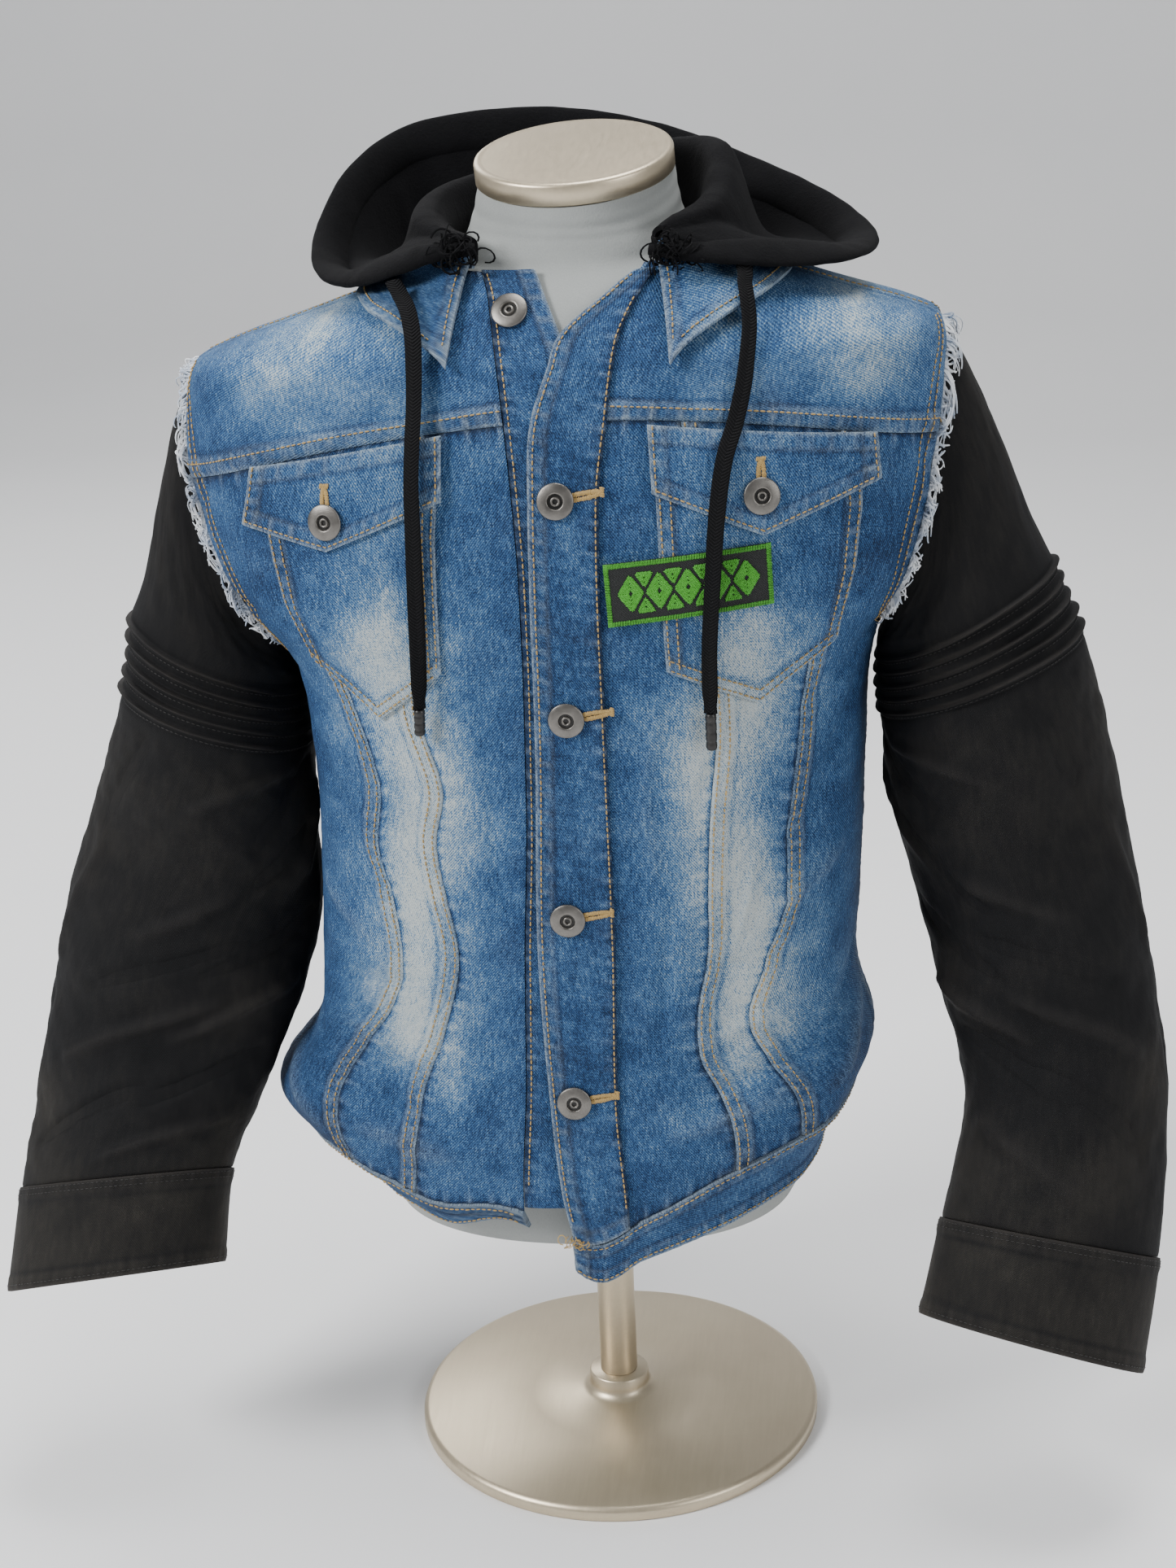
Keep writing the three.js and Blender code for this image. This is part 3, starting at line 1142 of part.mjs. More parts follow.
const poleLength = FORM_FLOOR - POLE_FOOT - 2 * SEAM_GAP;
const poleTube = new THREE.CylinderGeometry(POLE_RADIUS, POLE_RADIUS, poleLength, 16);
const pole = new THREE.Mesh(poleTube, nickel);
pole.name = 'stand_pole';
pole.rotation.x = Math.PI / 2;
pole.position.set(0, 0, (FORM_FLOOR + POLE_FOOT) / 2);
jacket.add(pole);

const baseProfile = [
  [0, 0], [BASE_RADIUS, 0], [BASE_RADIUS, 6], [BASE_RADIUS - 4, 10], [60, 13], [20, 20],
  [20, POLE_FOOT], [0, POLE_FOOT],
].map(([radius, height]) => new THREE.Vector2(radius, height));
const base = new THREE.Mesh(new THREE.LatheGeometry(baseProfile, 20), nickel);
base.name = 'stand_base';
base.rotation.x = Math.PI / 2;
jacket.add(base);

// Flat drawstrings of the hood, hanging down the chest from under the casing's ends
const STRING_WIDE = 9.6;
const STRING_THICK = 2.8;
const STRING_SIDES = 8;
const STRING_STEPS = 16;
const AGLET_TOP = 3.2;
const AGLET_TIP = 2.9;
const STRINGS = {
  right: {
    aglet: 16,
    path: [
      [-93, -75.5, 785], [-88, -83, 778.5], [-82, -96, 772], [-78, -108, 760],
      [-77, -116, 742], [-77, -123, 724],
      [-78, -132, 702], [-79, -136.8, 680], [-79.5, -137.6, 658], [-80, -138, 634],
      [-80.5, -138.2, 610], [-81, -137.8, 586], [-82, -135.6, 566], [-83, -133.8, 550],
    ],
  },
  left: {
    aglet: 22,
    path: [
      [105.5, -73.5, 784], [105.5, -79, 780.5], [107, -87.5, 774], [108.5, -95.5, 761], [107.5, -106, 745],
      [105.5, -113, 730], [101, -120, 711], [95, -129, 692], [90.5, -134.5, 662],
      [88, -137, 632], [86, -137.4, 606], [84.5, -135.4, 584], [84, -132.6, 560], [84, -131.6, 546],
    ],
  },
};
for (const [label, { path, aglet }] of Object.entries(STRINGS)) {
  const points = path.map(([x, y, z]) => new THREE.Vector3(x, y, z));
  const route = new THREE.CatmullRomCurve3(points, false, 'centripetal');
  const oval = new THREE.Shape();
  for (let i = 0; i < STRING_SIDES; i += 1) {
    const a = ((i + 0.5) / STRING_SIDES) * 2 * Math.PI;
    const x = (STRING_WIDE / 2) * Math.cos(a);
    const y = (STRING_THICK / 2) * Math.sin(a);
    if (i === 0) oval.moveTo(x, y);
    else oval.lineTo(x, y);
  }
  oval.closePath();
  const braid = new THREE.Mesh(new THREE.ExtrudeGeometry(oval, {
    extrudePath: route, steps: STRING_STEPS, curveSegments: 1,
  }), fleece);
  braid.name = `drawstring_${label}`;
  jacket.add(braid);
  const end = route.getPoint(1);
  const along = route.getTangent(1);
  const tag = new THREE.CylinderGeometry(AGLET_TOP, AGLET_TIP, aglet, STRING_SIDES);
  const sleeve = new THREE.Mesh(tag, steel);
  sleeve.name = `aglet_${label}`;
  sleeve.quaternion.setFromUnitVectors(new THREE.Vector3(0, -1, 0), along);
  sleeve.position.copy(end).addScaledVector(along, aglet / 2 + SEAM_GAP);
  jacket.add(sleeve);
}

export default jacket;
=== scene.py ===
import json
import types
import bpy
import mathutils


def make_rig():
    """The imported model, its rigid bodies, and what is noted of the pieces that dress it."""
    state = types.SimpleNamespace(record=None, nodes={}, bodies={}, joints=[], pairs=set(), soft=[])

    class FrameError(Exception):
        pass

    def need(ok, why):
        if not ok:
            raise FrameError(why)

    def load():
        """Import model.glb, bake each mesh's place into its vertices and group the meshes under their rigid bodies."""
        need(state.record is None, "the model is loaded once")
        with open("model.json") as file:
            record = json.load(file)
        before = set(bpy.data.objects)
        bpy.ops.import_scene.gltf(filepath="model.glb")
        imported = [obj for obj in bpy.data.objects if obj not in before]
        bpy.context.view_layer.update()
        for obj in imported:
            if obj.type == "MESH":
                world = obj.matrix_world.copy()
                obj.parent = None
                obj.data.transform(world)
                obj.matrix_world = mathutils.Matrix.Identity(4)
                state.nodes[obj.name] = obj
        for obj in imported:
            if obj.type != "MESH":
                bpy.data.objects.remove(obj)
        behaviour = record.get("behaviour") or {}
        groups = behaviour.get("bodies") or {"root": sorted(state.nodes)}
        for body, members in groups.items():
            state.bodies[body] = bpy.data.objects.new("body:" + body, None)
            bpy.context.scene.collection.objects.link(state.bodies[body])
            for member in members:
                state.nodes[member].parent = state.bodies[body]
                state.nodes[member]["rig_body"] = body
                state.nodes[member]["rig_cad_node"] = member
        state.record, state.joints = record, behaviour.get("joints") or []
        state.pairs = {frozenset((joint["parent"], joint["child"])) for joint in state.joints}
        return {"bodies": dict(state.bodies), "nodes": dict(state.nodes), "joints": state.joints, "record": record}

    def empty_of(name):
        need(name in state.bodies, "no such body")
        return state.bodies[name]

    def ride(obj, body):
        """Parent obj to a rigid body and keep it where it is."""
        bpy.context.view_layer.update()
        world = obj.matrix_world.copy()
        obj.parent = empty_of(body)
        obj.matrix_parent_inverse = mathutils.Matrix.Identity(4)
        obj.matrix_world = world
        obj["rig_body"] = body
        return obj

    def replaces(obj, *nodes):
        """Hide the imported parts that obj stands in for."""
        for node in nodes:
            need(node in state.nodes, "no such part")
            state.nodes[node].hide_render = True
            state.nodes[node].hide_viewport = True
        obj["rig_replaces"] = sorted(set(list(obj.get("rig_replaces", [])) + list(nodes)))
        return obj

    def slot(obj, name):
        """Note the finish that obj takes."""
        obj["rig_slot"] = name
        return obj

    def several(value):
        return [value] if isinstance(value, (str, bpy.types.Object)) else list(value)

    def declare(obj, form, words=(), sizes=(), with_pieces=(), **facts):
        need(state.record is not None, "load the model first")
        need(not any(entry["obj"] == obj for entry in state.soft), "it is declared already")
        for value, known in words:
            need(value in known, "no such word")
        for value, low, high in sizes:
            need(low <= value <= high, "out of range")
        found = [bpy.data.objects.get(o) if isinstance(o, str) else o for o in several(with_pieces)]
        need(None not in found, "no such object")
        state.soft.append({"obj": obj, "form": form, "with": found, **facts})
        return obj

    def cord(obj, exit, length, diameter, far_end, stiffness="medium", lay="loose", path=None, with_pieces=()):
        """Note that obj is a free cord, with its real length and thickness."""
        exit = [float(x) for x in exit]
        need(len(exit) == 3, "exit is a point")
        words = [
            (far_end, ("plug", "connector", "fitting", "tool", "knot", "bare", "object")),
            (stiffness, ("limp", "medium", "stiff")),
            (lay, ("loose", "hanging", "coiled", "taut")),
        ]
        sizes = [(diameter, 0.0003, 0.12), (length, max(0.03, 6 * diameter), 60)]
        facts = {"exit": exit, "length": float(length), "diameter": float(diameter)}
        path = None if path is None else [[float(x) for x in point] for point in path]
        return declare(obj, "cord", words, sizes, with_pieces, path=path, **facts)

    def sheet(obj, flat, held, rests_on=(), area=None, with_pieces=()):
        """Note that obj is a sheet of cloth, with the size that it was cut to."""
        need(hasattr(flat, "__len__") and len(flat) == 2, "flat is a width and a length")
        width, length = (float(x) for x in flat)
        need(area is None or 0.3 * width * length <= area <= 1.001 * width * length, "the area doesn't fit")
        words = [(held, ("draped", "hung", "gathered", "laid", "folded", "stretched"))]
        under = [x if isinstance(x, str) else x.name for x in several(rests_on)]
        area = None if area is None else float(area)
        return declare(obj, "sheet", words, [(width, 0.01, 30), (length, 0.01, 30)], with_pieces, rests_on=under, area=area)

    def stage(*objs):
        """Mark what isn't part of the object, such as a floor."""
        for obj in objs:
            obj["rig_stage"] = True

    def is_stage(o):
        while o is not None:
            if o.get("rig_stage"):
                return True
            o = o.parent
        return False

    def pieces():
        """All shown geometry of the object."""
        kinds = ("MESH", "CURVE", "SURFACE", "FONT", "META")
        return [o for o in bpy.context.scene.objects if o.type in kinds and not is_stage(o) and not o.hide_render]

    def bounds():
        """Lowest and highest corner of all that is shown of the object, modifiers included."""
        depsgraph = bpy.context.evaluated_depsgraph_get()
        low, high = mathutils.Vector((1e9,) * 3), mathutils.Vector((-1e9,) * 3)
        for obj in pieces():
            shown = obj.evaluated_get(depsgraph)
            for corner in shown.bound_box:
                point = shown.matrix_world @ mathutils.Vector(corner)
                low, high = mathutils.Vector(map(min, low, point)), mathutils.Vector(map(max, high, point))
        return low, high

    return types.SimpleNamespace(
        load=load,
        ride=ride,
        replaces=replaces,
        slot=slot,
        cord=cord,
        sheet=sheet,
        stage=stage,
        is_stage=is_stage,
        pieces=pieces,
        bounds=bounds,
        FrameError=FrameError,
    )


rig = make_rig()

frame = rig.load()
cad_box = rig.bounds()

import json
import math

import bpy
import numpy as np
from mathutils import Matrix, Vector

# Camera: a step in front of the jacket, a little above the chest and to the wearer's left.
# Studio: a pale sweep of floor and wall, with soft light from both sides and above.
AIM = Vector((-0.004, 0, 0.455))
STEP_BACK = 1.65
TURN = math.radians(7)
RISE = math.radians(20)
ROLL = math.radians(2.5)
LENS = 60.1

back = Vector((math.sin(TURN) * math.cos(RISE), -math.cos(TURN) * math.cos(RISE), math.sin(RISE)))
right = (-back).cross(Vector((0, 0, 1))).normalized()
up = right.cross(-back)
cam_right = right * math.cos(ROLL) - up * math.sin(ROLL)
cam_up = up * math.cos(ROLL) + right * math.sin(ROLL)
turned = Matrix((cam_right, cam_up, back)).transposed().to_4x4()
camera = bpy.data.objects.new("camera", bpy.data.cameras.new("camera"))
camera.data.sensor_width = 36
camera.data.lens = LENS
camera.data.clip_end = 30
camera.matrix_world = Matrix.Translation(AIM + back * STEP_BACK) @ turned
bpy.context.collection.objects.link(camera)
bpy.context.scene.camera = camera

world = bpy.data.worlds.new("studio")
world.use_nodes = True
backdrop = world.node_tree.nodes["Background"]
backdrop.inputs["Color"].default_value = (0.95, 0.97, 1.0, 1)
backdrop.inputs["Strength"].default_value = 0.33
bpy.context.scene.world = world

SOFT_BOXES = [
    # place, aim, size in metres, watts
    ((-2.2, -1.5, 2.3), (0, 0, 0.5), 1.0, 112),
    ((2.4, -1.5, 1.5), (0, 0, 0.5), 1.3, 30),
    ((0.3, 0.3, 3.0), (0, 0, 0.5), 1.3, 62),
    ((-1.4, 2.2, 2.0), (0, 0, 0.6), 1.2, 22),
]
for number, (place, aim, size, watts) in enumerate(SOFT_BOXES):
    light = bpy.data.lights.new(f"soft_box_{number}", "AREA")
    light.shape = "SQUARE"
    light.size = size
    light.energy = watts
    lamp = bpy.data.objects.new(f"soft_box_{number}", light)
    lamp.location = place
    lamp.rotation_euler = (Vector(aim) - Vector(place)).to_track_quat("-Z", "Y").to_euler()
    bpy.context.collection.objects.link(lamp)

SWEEP_HALF = 6
# the floor's and wall's line, in distance behind the jacket and height
SWEEP = [(-6.0, 0.0), (3.0, 0.0), (3.6, 0.1), (4.1, 0.4), (4.4, 0.9), (4.5, 1.6), (4.5, 6.0)]
points = [(x, y, z) for y, z in SWEEP for x in (-SWEEP_HALF, SWEEP_HALF)]
faces = [(2 * i, 2 * i + 1, 2 * i + 3, 2 * i + 2) for i in range(len(SWEEP) - 1)]
floor = bpy.data.objects.new("studio_floor", bpy.data.meshes.new("studio_floor"))
floor.data.from_pydata(points, [], faces)
floor.data.shade_smooth()
bpy.context.collection.objects.link(floor)


class Sock:
    """A value on its way through a material, which takes part in sums."""

    def __init__(self, finish, socket):
        self.finish = finish
        self.socket = socket

    def work(self, operation, first, second):
        return self.finish.add("ShaderNodeMath", {"operation": operation}, {0: first, 1: second})

    def __add__(self, other):
        return self.work("ADD", self, other)

    __radd__ = __add__

    def __sub__(self, other):
        return self.work("SUBTRACT", self, other)

    def __mul__(self, other):
        return self.work("MULTIPLY", self, other)

    __rmul__ = __mul__


class Finish:
    """A material built node by node."""

    def __init__(self, name):
        self.material = bpy.data.materials.new(name)
        self.material.use_nodes = True
        self.tree = self.material.node_tree
        self.tree.nodes.clear()

    def add(self, kind, settings, values, out=0):
        """A node with its settings and inputs, given back as its output."""
        node = self.tree.nodes.new(kind)
        for key, value in settings.items():
            if key == "stops":
                ramp = node.color_ramp.elements
                while len(ramp) < len(value):
                    ramp.new(0.5)
                for stop, (place, color) in zip(ramp, value):
                    stop.position = place
                    stop.color = (*color, 1)
            else:
                setattr(node, key, value)
        for key, value in values.items():
            if isinstance(value, Sock):
                self.tree.links.new(value.socket, node.inputs[key])
            else:
                node.inputs[key].default_value = value
        return Sock(self, node.outputs[out])

    def mix(self, share, low, high):
        """Two colours mixed by a share."""
        low, high = [c if isinstance(c, Sock) else (*c, 1) for c in (low, high)]
        return self.add("ShaderNodeMix", {"data_type": "RGBA"}, {0: share, 6: low, 7: high}, out=2)

    def noise(self, where, scale, detail=3.0, rough=0.55, stretch=(1, 1, 1)):
        mapped = self.add("ShaderNodeMapping", {}, {"Vector": where, "Scale": stretch})
        values = {"Vector": mapped, "Scale": scale, "Detail": detail, "Roughness": rough}
        return self.add("ShaderNodeTexNoise", {}, values)

    def surface(self, bump=None, depth=0.001, strength=0.6, **values):
        """The material, with a bump and the shader's own inputs by their names."""
        if bump is not None:
            values["Normal"] = self.add("ShaderNodeBump", {}, {
                "Height": bump, "Distance": depth, "Strength": strength})
        values = {key.replace("_", " "): value for key, value in values.items()}
        shader = self.add("ShaderNodeBsdfPrincipled", {}, values)
        end = self.tree.nodes.new("ShaderNodeOutputMaterial")
        self.tree.links.new(shader.socket, end.inputs["Surface"])
        return self.material


def object_place(finish):
    return finish.add("ShaderNodeTexCoord", {}, {}, out="Object")


def cloth_place(finish):
    return finish.add("ShaderNodeUVMap", {"uv_map": "UVMap"}, {})


def cloth_parts(finish, place):
    """The place across a piece of cloth and the place along it."""
    parts = finish.add("ShaderNodeSeparateXYZ", {}, {0: place}).socket.node.outputs
    return Sock(finish, parts[0]), Sock(finish, parts[1])


def ribs(finish, place):
    """A value that rises and falls between 0 and 1 as the place runs on."""
    return finish.add("ShaderNodeMath", {"operation": "SINE"}, {0: place}) * 0.5 + 0.5


def carried(finish, name):
    """A value that the mesh carries at its points."""
    return finish.add("ShaderNodeAttribute", {"attribute_name": name}, {}, out="Fac")


def plain_finish(name, scale, rough, low, high, depth=0.0003, spread=0.0, **values):
    """A speckled material between two colours."""
    finish = Finish(name)
    spots = finish.noise(object_place(finish), scale)
    return finish.surface(
        bump=spots, depth=depth, Base_Color=finish.mix(spots, low, high),
        Roughness=rough + spots * spread if spread else rough, **values)


floor_finish = Finish("pale_floor")
speck = floor_finish.noise(object_place(floor_finish), 6.0)
floor.data.materials.append(floor_finish.surface(
    Base_Color=floor_finish.mix(speck, (0.90, 0.90, 0.91), (0.93, 0.93, 0.93)), Roughness=0.8))
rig.stage(floor)

# Drawstrings: flat braided cotton, about 10 mm wide, hanging loose from the hood's casing.
# Each ends in a dark metal aglet that is crimped on. The points are the braid's middle, in mm.
MM = 0.001
STRING_WIDE = 9.6
STRING_THICK = 2.6
STRING_POINTS = 120
STRING_SIDES = 16
STRINGS = {
    "right": {"aglet": 16.0, "turn": 2.2, "path": [
        (-93, -75.5, 785), (-88, -83, 778.5), (-82, -96, 772), (-78, -108, 760),
        (-77, -116, 742), (-77, -123, 724), (-78, -132, 702), (-79, -136.8, 680),
        (-79.5, -137.6, 658), (-80, -138, 634), (-80.5, -138.2, 610), (-81, -137.8, 586),
        (-82, -135.6, 566), (-83, -133.8, 550)]},
    "left": {"aglet": 22.0, "turn": 0.4, "path": [
        (104.5, -66.5, 789.5), (105.5, -73.5, 784), (105.5, -79, 780.5), (107, -87.5, 774),
        (108.5, -95.5, 761), (107.5, -106, 745), (105.5, -113, 730), (101, -120, 711),
        (95, -129, 692), (90.5, -134.5, 662), (88, -137, 632), (86, -137.4, 606),
        (84.5, -135.4, 584), (84, -132.6, 560), (84, -131.6, 546)]},
}
STRING_FACES = np.array([0.15, -1.0, 0.25])
STRING_TWIST = np.radians(26)
AGLET_RINGS = 26
AGLET_SIDES = 20
AGLET_WIDE = 6.6
AGLET_DENTS = (5, 6, 12, 13, 19, 20)


def smooth_path(keys, count):
    """Even-parameter points on a centripetal curve through the keys, one axis per column."""
    keys = np.asarray(keys, float)
    held = np.vstack([2 * keys[:1] - keys[1:2], keys, 2 * keys[-1:] - keys[-2:-1]])
    place = np.linspace(0, len(keys) - 1, count)
    part = np.minimum(place.astype(int), len(keys) - 2)
    w = (place - part)[:, None]
    p0, p1, p2, p3 = (held[part + k] for k in range(4))
    d0, d1, d2 = [np.maximum(np.linalg.norm(b - a, axis=1), 1e-6)[:, None] ** 0.5
                  for a, b in ((p0, p1), (p1, p2), (p2, p3))]
    t1 = ((p1 - p0) / d0 - (p2 - p0) / (d0 + d1) + (p2 - p1) / d1) * d1
    t2 = ((p2 - p1) / d1 - (p3 - p1) / (d1 + d2) + (p3 - p2) / d2) * d1
    return (p1 + t1 * w + (-3 * p1 + 3 * p2 - 2 * t1 - t2) * w ** 2
            + (2 * p1 - 2 * p2 + t1 + t2) * w ** 3)


def unit(vectors):
    return vectors / np.maximum(np.linalg.norm(vectors, axis=-1, keepdims=True), 1e-12)


def far_along(points):
    """Distance along a line of points from its first one."""
    return np.concatenate([[0], np.cumsum(np.linalg.norm(np.diff(points, axis=0), axis=1))])


def mesh_object(name, points, faces, material, uv=None, carries=None):
    """A mesh object from points in mm. uv is in metres, and carries names values at points."""
    mesh = bpy.data.meshes.new(name)
    mesh.from_pydata((np.asarray(points) * MM).tolist(), [], [list(face) for face in faces])
    mesh.shade_smooth()
    mesh.set_sharp_from_angle(angle=math.radians(50))
    if uv is not None:
        corner = np.empty(len(mesh.loops), int)
        mesh.loops.foreach_get("vertex_index", corner)
        layer = mesh.uv_layers.new(name="UVMap")
        layer.data.foreach_set("uv", np.asarray(uv)[corner].astype(np.float32).ravel())
    for key, values in (carries or {}).items():
        held = mesh.attributes.new(key, "FLOAT", "POINT")
        held.data.foreach_set("value", np.asarray(values, np.float32).ravel())
    mesh.materials.append(material)
    obj = bpy.data.objects.new(name, mesh)
    bpy.context.collection.objects.link(obj)
    return obj


def tube_faces(rings, sides):
    """Faces of a closed tube whose points lie ring after ring."""
    r, i = np.meshgrid(np.arange(rings - 1), np.arange(sides), indexing="ij")
    a = (r * sides + i).ravel()
    b = (r * sides + (i + 1) % sides).ravel()
    faces = np.stack([a, b, b + sides, a + sides], 1).tolist()
    last = (rings - 1) * sides
    faces.append([sides - 1 - k for k in range(sides)])
    faces.append([last + k for k in range(sides)])
    return faces


def set_in(obj, slot, nodes=()):
    """The piece rides on the one body, takes its slot, and stands for its solids."""
    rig.ride(obj, "root")
    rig.slot(obj, slot)
    if nodes:
        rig.replaces(obj, *nodes)
    return obj


def ring_points(middles, across, out, wide, thick, sides, power=1.0):
    """Oval rings round a line of middles."""
    a = np.linspace(0, 2 * np.pi, sides, endpoint=False)
    c, s = np.cos(a), np.sin(a)
    c, s = np.sign(c) * np.abs(c) ** power, np.sign(s) * np.abs(s) ** power
    wide, thick = (np.broadcast_to(v, len(middles))[:, None, None] / 2 for v in (wide, thick))
    return (middles[:, None] + across[:, None] * c[None, :, None] * wide
            + out[:, None] * s[None, :, None] * thick)


braid = Finish("black_braid")
braid_across, braid_along = cloth_parts(braid, cloth_place(braid))
folded = braid.add("ShaderNodeMath", {"operation": "ABSOLUTE"}, {0: braid_across})
chevron = ribs(braid, braid_along * 3300.0 + folded * 2600.0)
fuzz = braid.noise(object_place(braid), 900.0)
black_braid = braid.surface(
    bump=chevron + fuzz * 0.5, depth=0.0011, strength=1.0, Roughness=0.8,
    Base_Color=braid.mix(chevron * 0.7 + fuzz * 0.3, (0.0012, 0.0012, 0.0016),
                         (0.013, 0.013, 0.0145)),
    Specular_IOR_Level=0.12)

metal = Finish("dark_steel")
metal_place = object_place(metal)
brushing = metal.noise(metal_place, 700.0, stretch=(1, 1, 6))
tarnish = metal.noise(metal_place, 140.0)
dark_steel = metal.surface(
    bump=brushing, depth=0.0002, strength=0.35, Metallic=0.95,
    Base_Color=metal.mix(tarnish, (0.10, 0.095, 0.088), (0.27, 0.255, 0.235)),
    Roughness=0.30 + tarnish * 0.22)

black_metal = plain_finish("black_metal", 260.0, 0.32, (0.012, 0.012, 0.013),
                           (0.060, 0.058, 0.055), 0.0002, 0.15, strength=0.3, Metallic=0.7)

for side, string in STRINGS.items():
    middles = smooth_path(string["path"], STRING_POINTS)
    along = unit(np.gradient(middles, axis=0))
    across = unit(np.cross(along, STRING_FACES))
    sway = np.linspace(0, 1, STRING_POINTS)
    twist = STRING_TWIST * np.sin(sway * 5.2 + string["turn"])
    out = unit(np.cross(across, along))
    across, out = (across * np.cos(twist)[:, None] + out * np.sin(twist)[:, None],
                   out * np.cos(twist)[:, None] - across * np.sin(twist)[:, None])
    pinch = 1 - 0.22 * np.exp(-(((sway - 0.98) / 0.03) ** 2))
    rings = ring_points(middles, across, out, STRING_WIDE * pinch, STRING_THICK, STRING_SIDES, 0.8)
    run = far_along(middles)
    wrap = np.cos(np.linspace(0, 2 * np.pi, STRING_SIDES, endpoint=False)) * STRING_WIDE / 2
    uv = np.stack([np.tile(wrap, STRING_POINTS), np.repeat(run, STRING_SIDES)], 1) * MM
    string_obj = mesh_object(f"braid_{side}", rings.reshape(-1, 3),
                             tube_faces(STRING_POINTS, STRING_SIDES), black_braid, uv)
    set_in(string_obj, "fleece", [f"drawstring_{side}"])
    tip = middles[-1] + along[-1] * (0.3 + np.linspace(0, string["aglet"], AGLET_RINGS))[:, None]
    width = np.full(AGLET_RINGS, AGLET_WIDE)
    width[[0, -1]] = 5.2
    width[[1, -2]] = 6.2
    width[list(AGLET_DENTS)] = 6.0
    rings = ring_points(tip, np.repeat(across[-1:], AGLET_RINGS, 0),
                        np.repeat(out[-1:], AGLET_RINGS, 0), width, width * 0.92, AGLET_SIDES)
    aglet = mesh_object(f"crimp_{side}", rings.reshape(-1, 3),
                        tube_faces(AGLET_RINGS, AGLET_SIDES), black_metal)
    set_in(aglet, "dark_steel", [f"aglet_{side}"])
    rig.cord(string_obj, exit=(middles[0] * MM).tolist(), length=float(run[-1]) * MM,
            diameter=STRING_WIDE * MM, far_end="fitting", stiffness="limp", lay="hanging",
            path=(middles[::4] * MM).tolist(), with_pieces=[aglet])

# Body of the jacket: mid-blue cotton denim, cut in panels and sewn with flat-felled seams.
# Rings give the half width, the depth in front and behind, and the middle, by height in mm.
LEAN = 0.036
ROUNDNESS = 2.4
NECKLINE = 789
DENIM = 1.6
SEAM_GAP = 0.3


class Rows:
    """A short table of rows. Its values run smoothly along its first column."""

    def __init__(self, names, rows):
        self.names = names.split()
        self.columns = np.array(rows, float).T

    def get(self, key, place):
        axis = self.columns[0]
        value = self.columns[self.names.index(key)]
        order = np.arange(len(axis))
        low, high = np.maximum(order - 1, 0), np.minimum(order + 1, len(axis) - 1)
        slope = (value[high] - value[low]) / (axis[high] - axis[low])
        place = np.clip(place, axis[0], axis[-1])
        i = np.clip(np.searchsorted(axis, place) - 1, 0, len(axis) - 2)
        span = axis[i + 1] - axis[i]
        t = (place - axis[i]) / span
        return ((2 * t ** 3 - 3 * t ** 2 + 1) * value[i]
                + (t ** 3 - 2 * t ** 2 + t) * span * slope[i]
                + (3 * t ** 2 - 2 * t ** 3) * value[i + 1]
                + (t ** 3 - t ** 2) * span * slope[i + 1])


BODY = Rows("z half front back centre", [
    (150, 150, 130, 104, -10), (200, 158, 132, 108, -11), (260, 167, 133, 110, -12),
    (320, 168, 130, 104, -9), (400, 169, 129, 99, -4), (470, 169, 130, 102, -1),
    (530, 172, 132, 109, -1), (566, 181, 133, 113, -1), (600, 208, 134, 116, -3),
    (640, 224, 132, 116, -5), (680, 228, 127, 113, -7), (715, 226, 119, 107, -7),
    (738, 220, 111, 101, -6), (746, 204, 107, 97, -5), (760, 160, 97, 88, -2),
    (775, 116, 86, 77, 1), (789, 79, 75, 68, 3), (830, 70, 66, 62, 3)])
HEM = Rows("deg seam blouse band tuck", [
    (-180, 238, 10, 42, 8), (-130, 238, 16, 42, 10), (-90, 234, 34, 30, 22),
    (-62, 246, 18, 27, 20), (-40, 238, 7, 25, 18), (-26, 229, 5, 20, 16), (-8, 229, 4, 14, 16),
    (3, 203, 3, 30, 5), (13, 219, 4, 33, 5), (31, 241, 6, 42, 6), (52, 252, 9, 44, 8),
    (90, 256, 16, 44, 10), (130, 240, 14, 42, 8), (180, 238, 10, 42, 8)])
BLOUSE_HEIGHT = 30
BLOUSE_SPREAD = 34
BODY_FOLDS = [
    # angle, height, width in degrees, length, rise
    (-62, 330, 9, 70, 5), (-36, 300, 6, 60, -4), (30, 350, 7, 80, -4), (62, 300, 9, 60, 5),
    (118, 320, 10, 80, 6), (152, 360, 8, 120, -5), (-122, 330, 10, 90, 6),
    (-156, 400, 9, 110, -5), (180, 300, 12, 70, 5)]
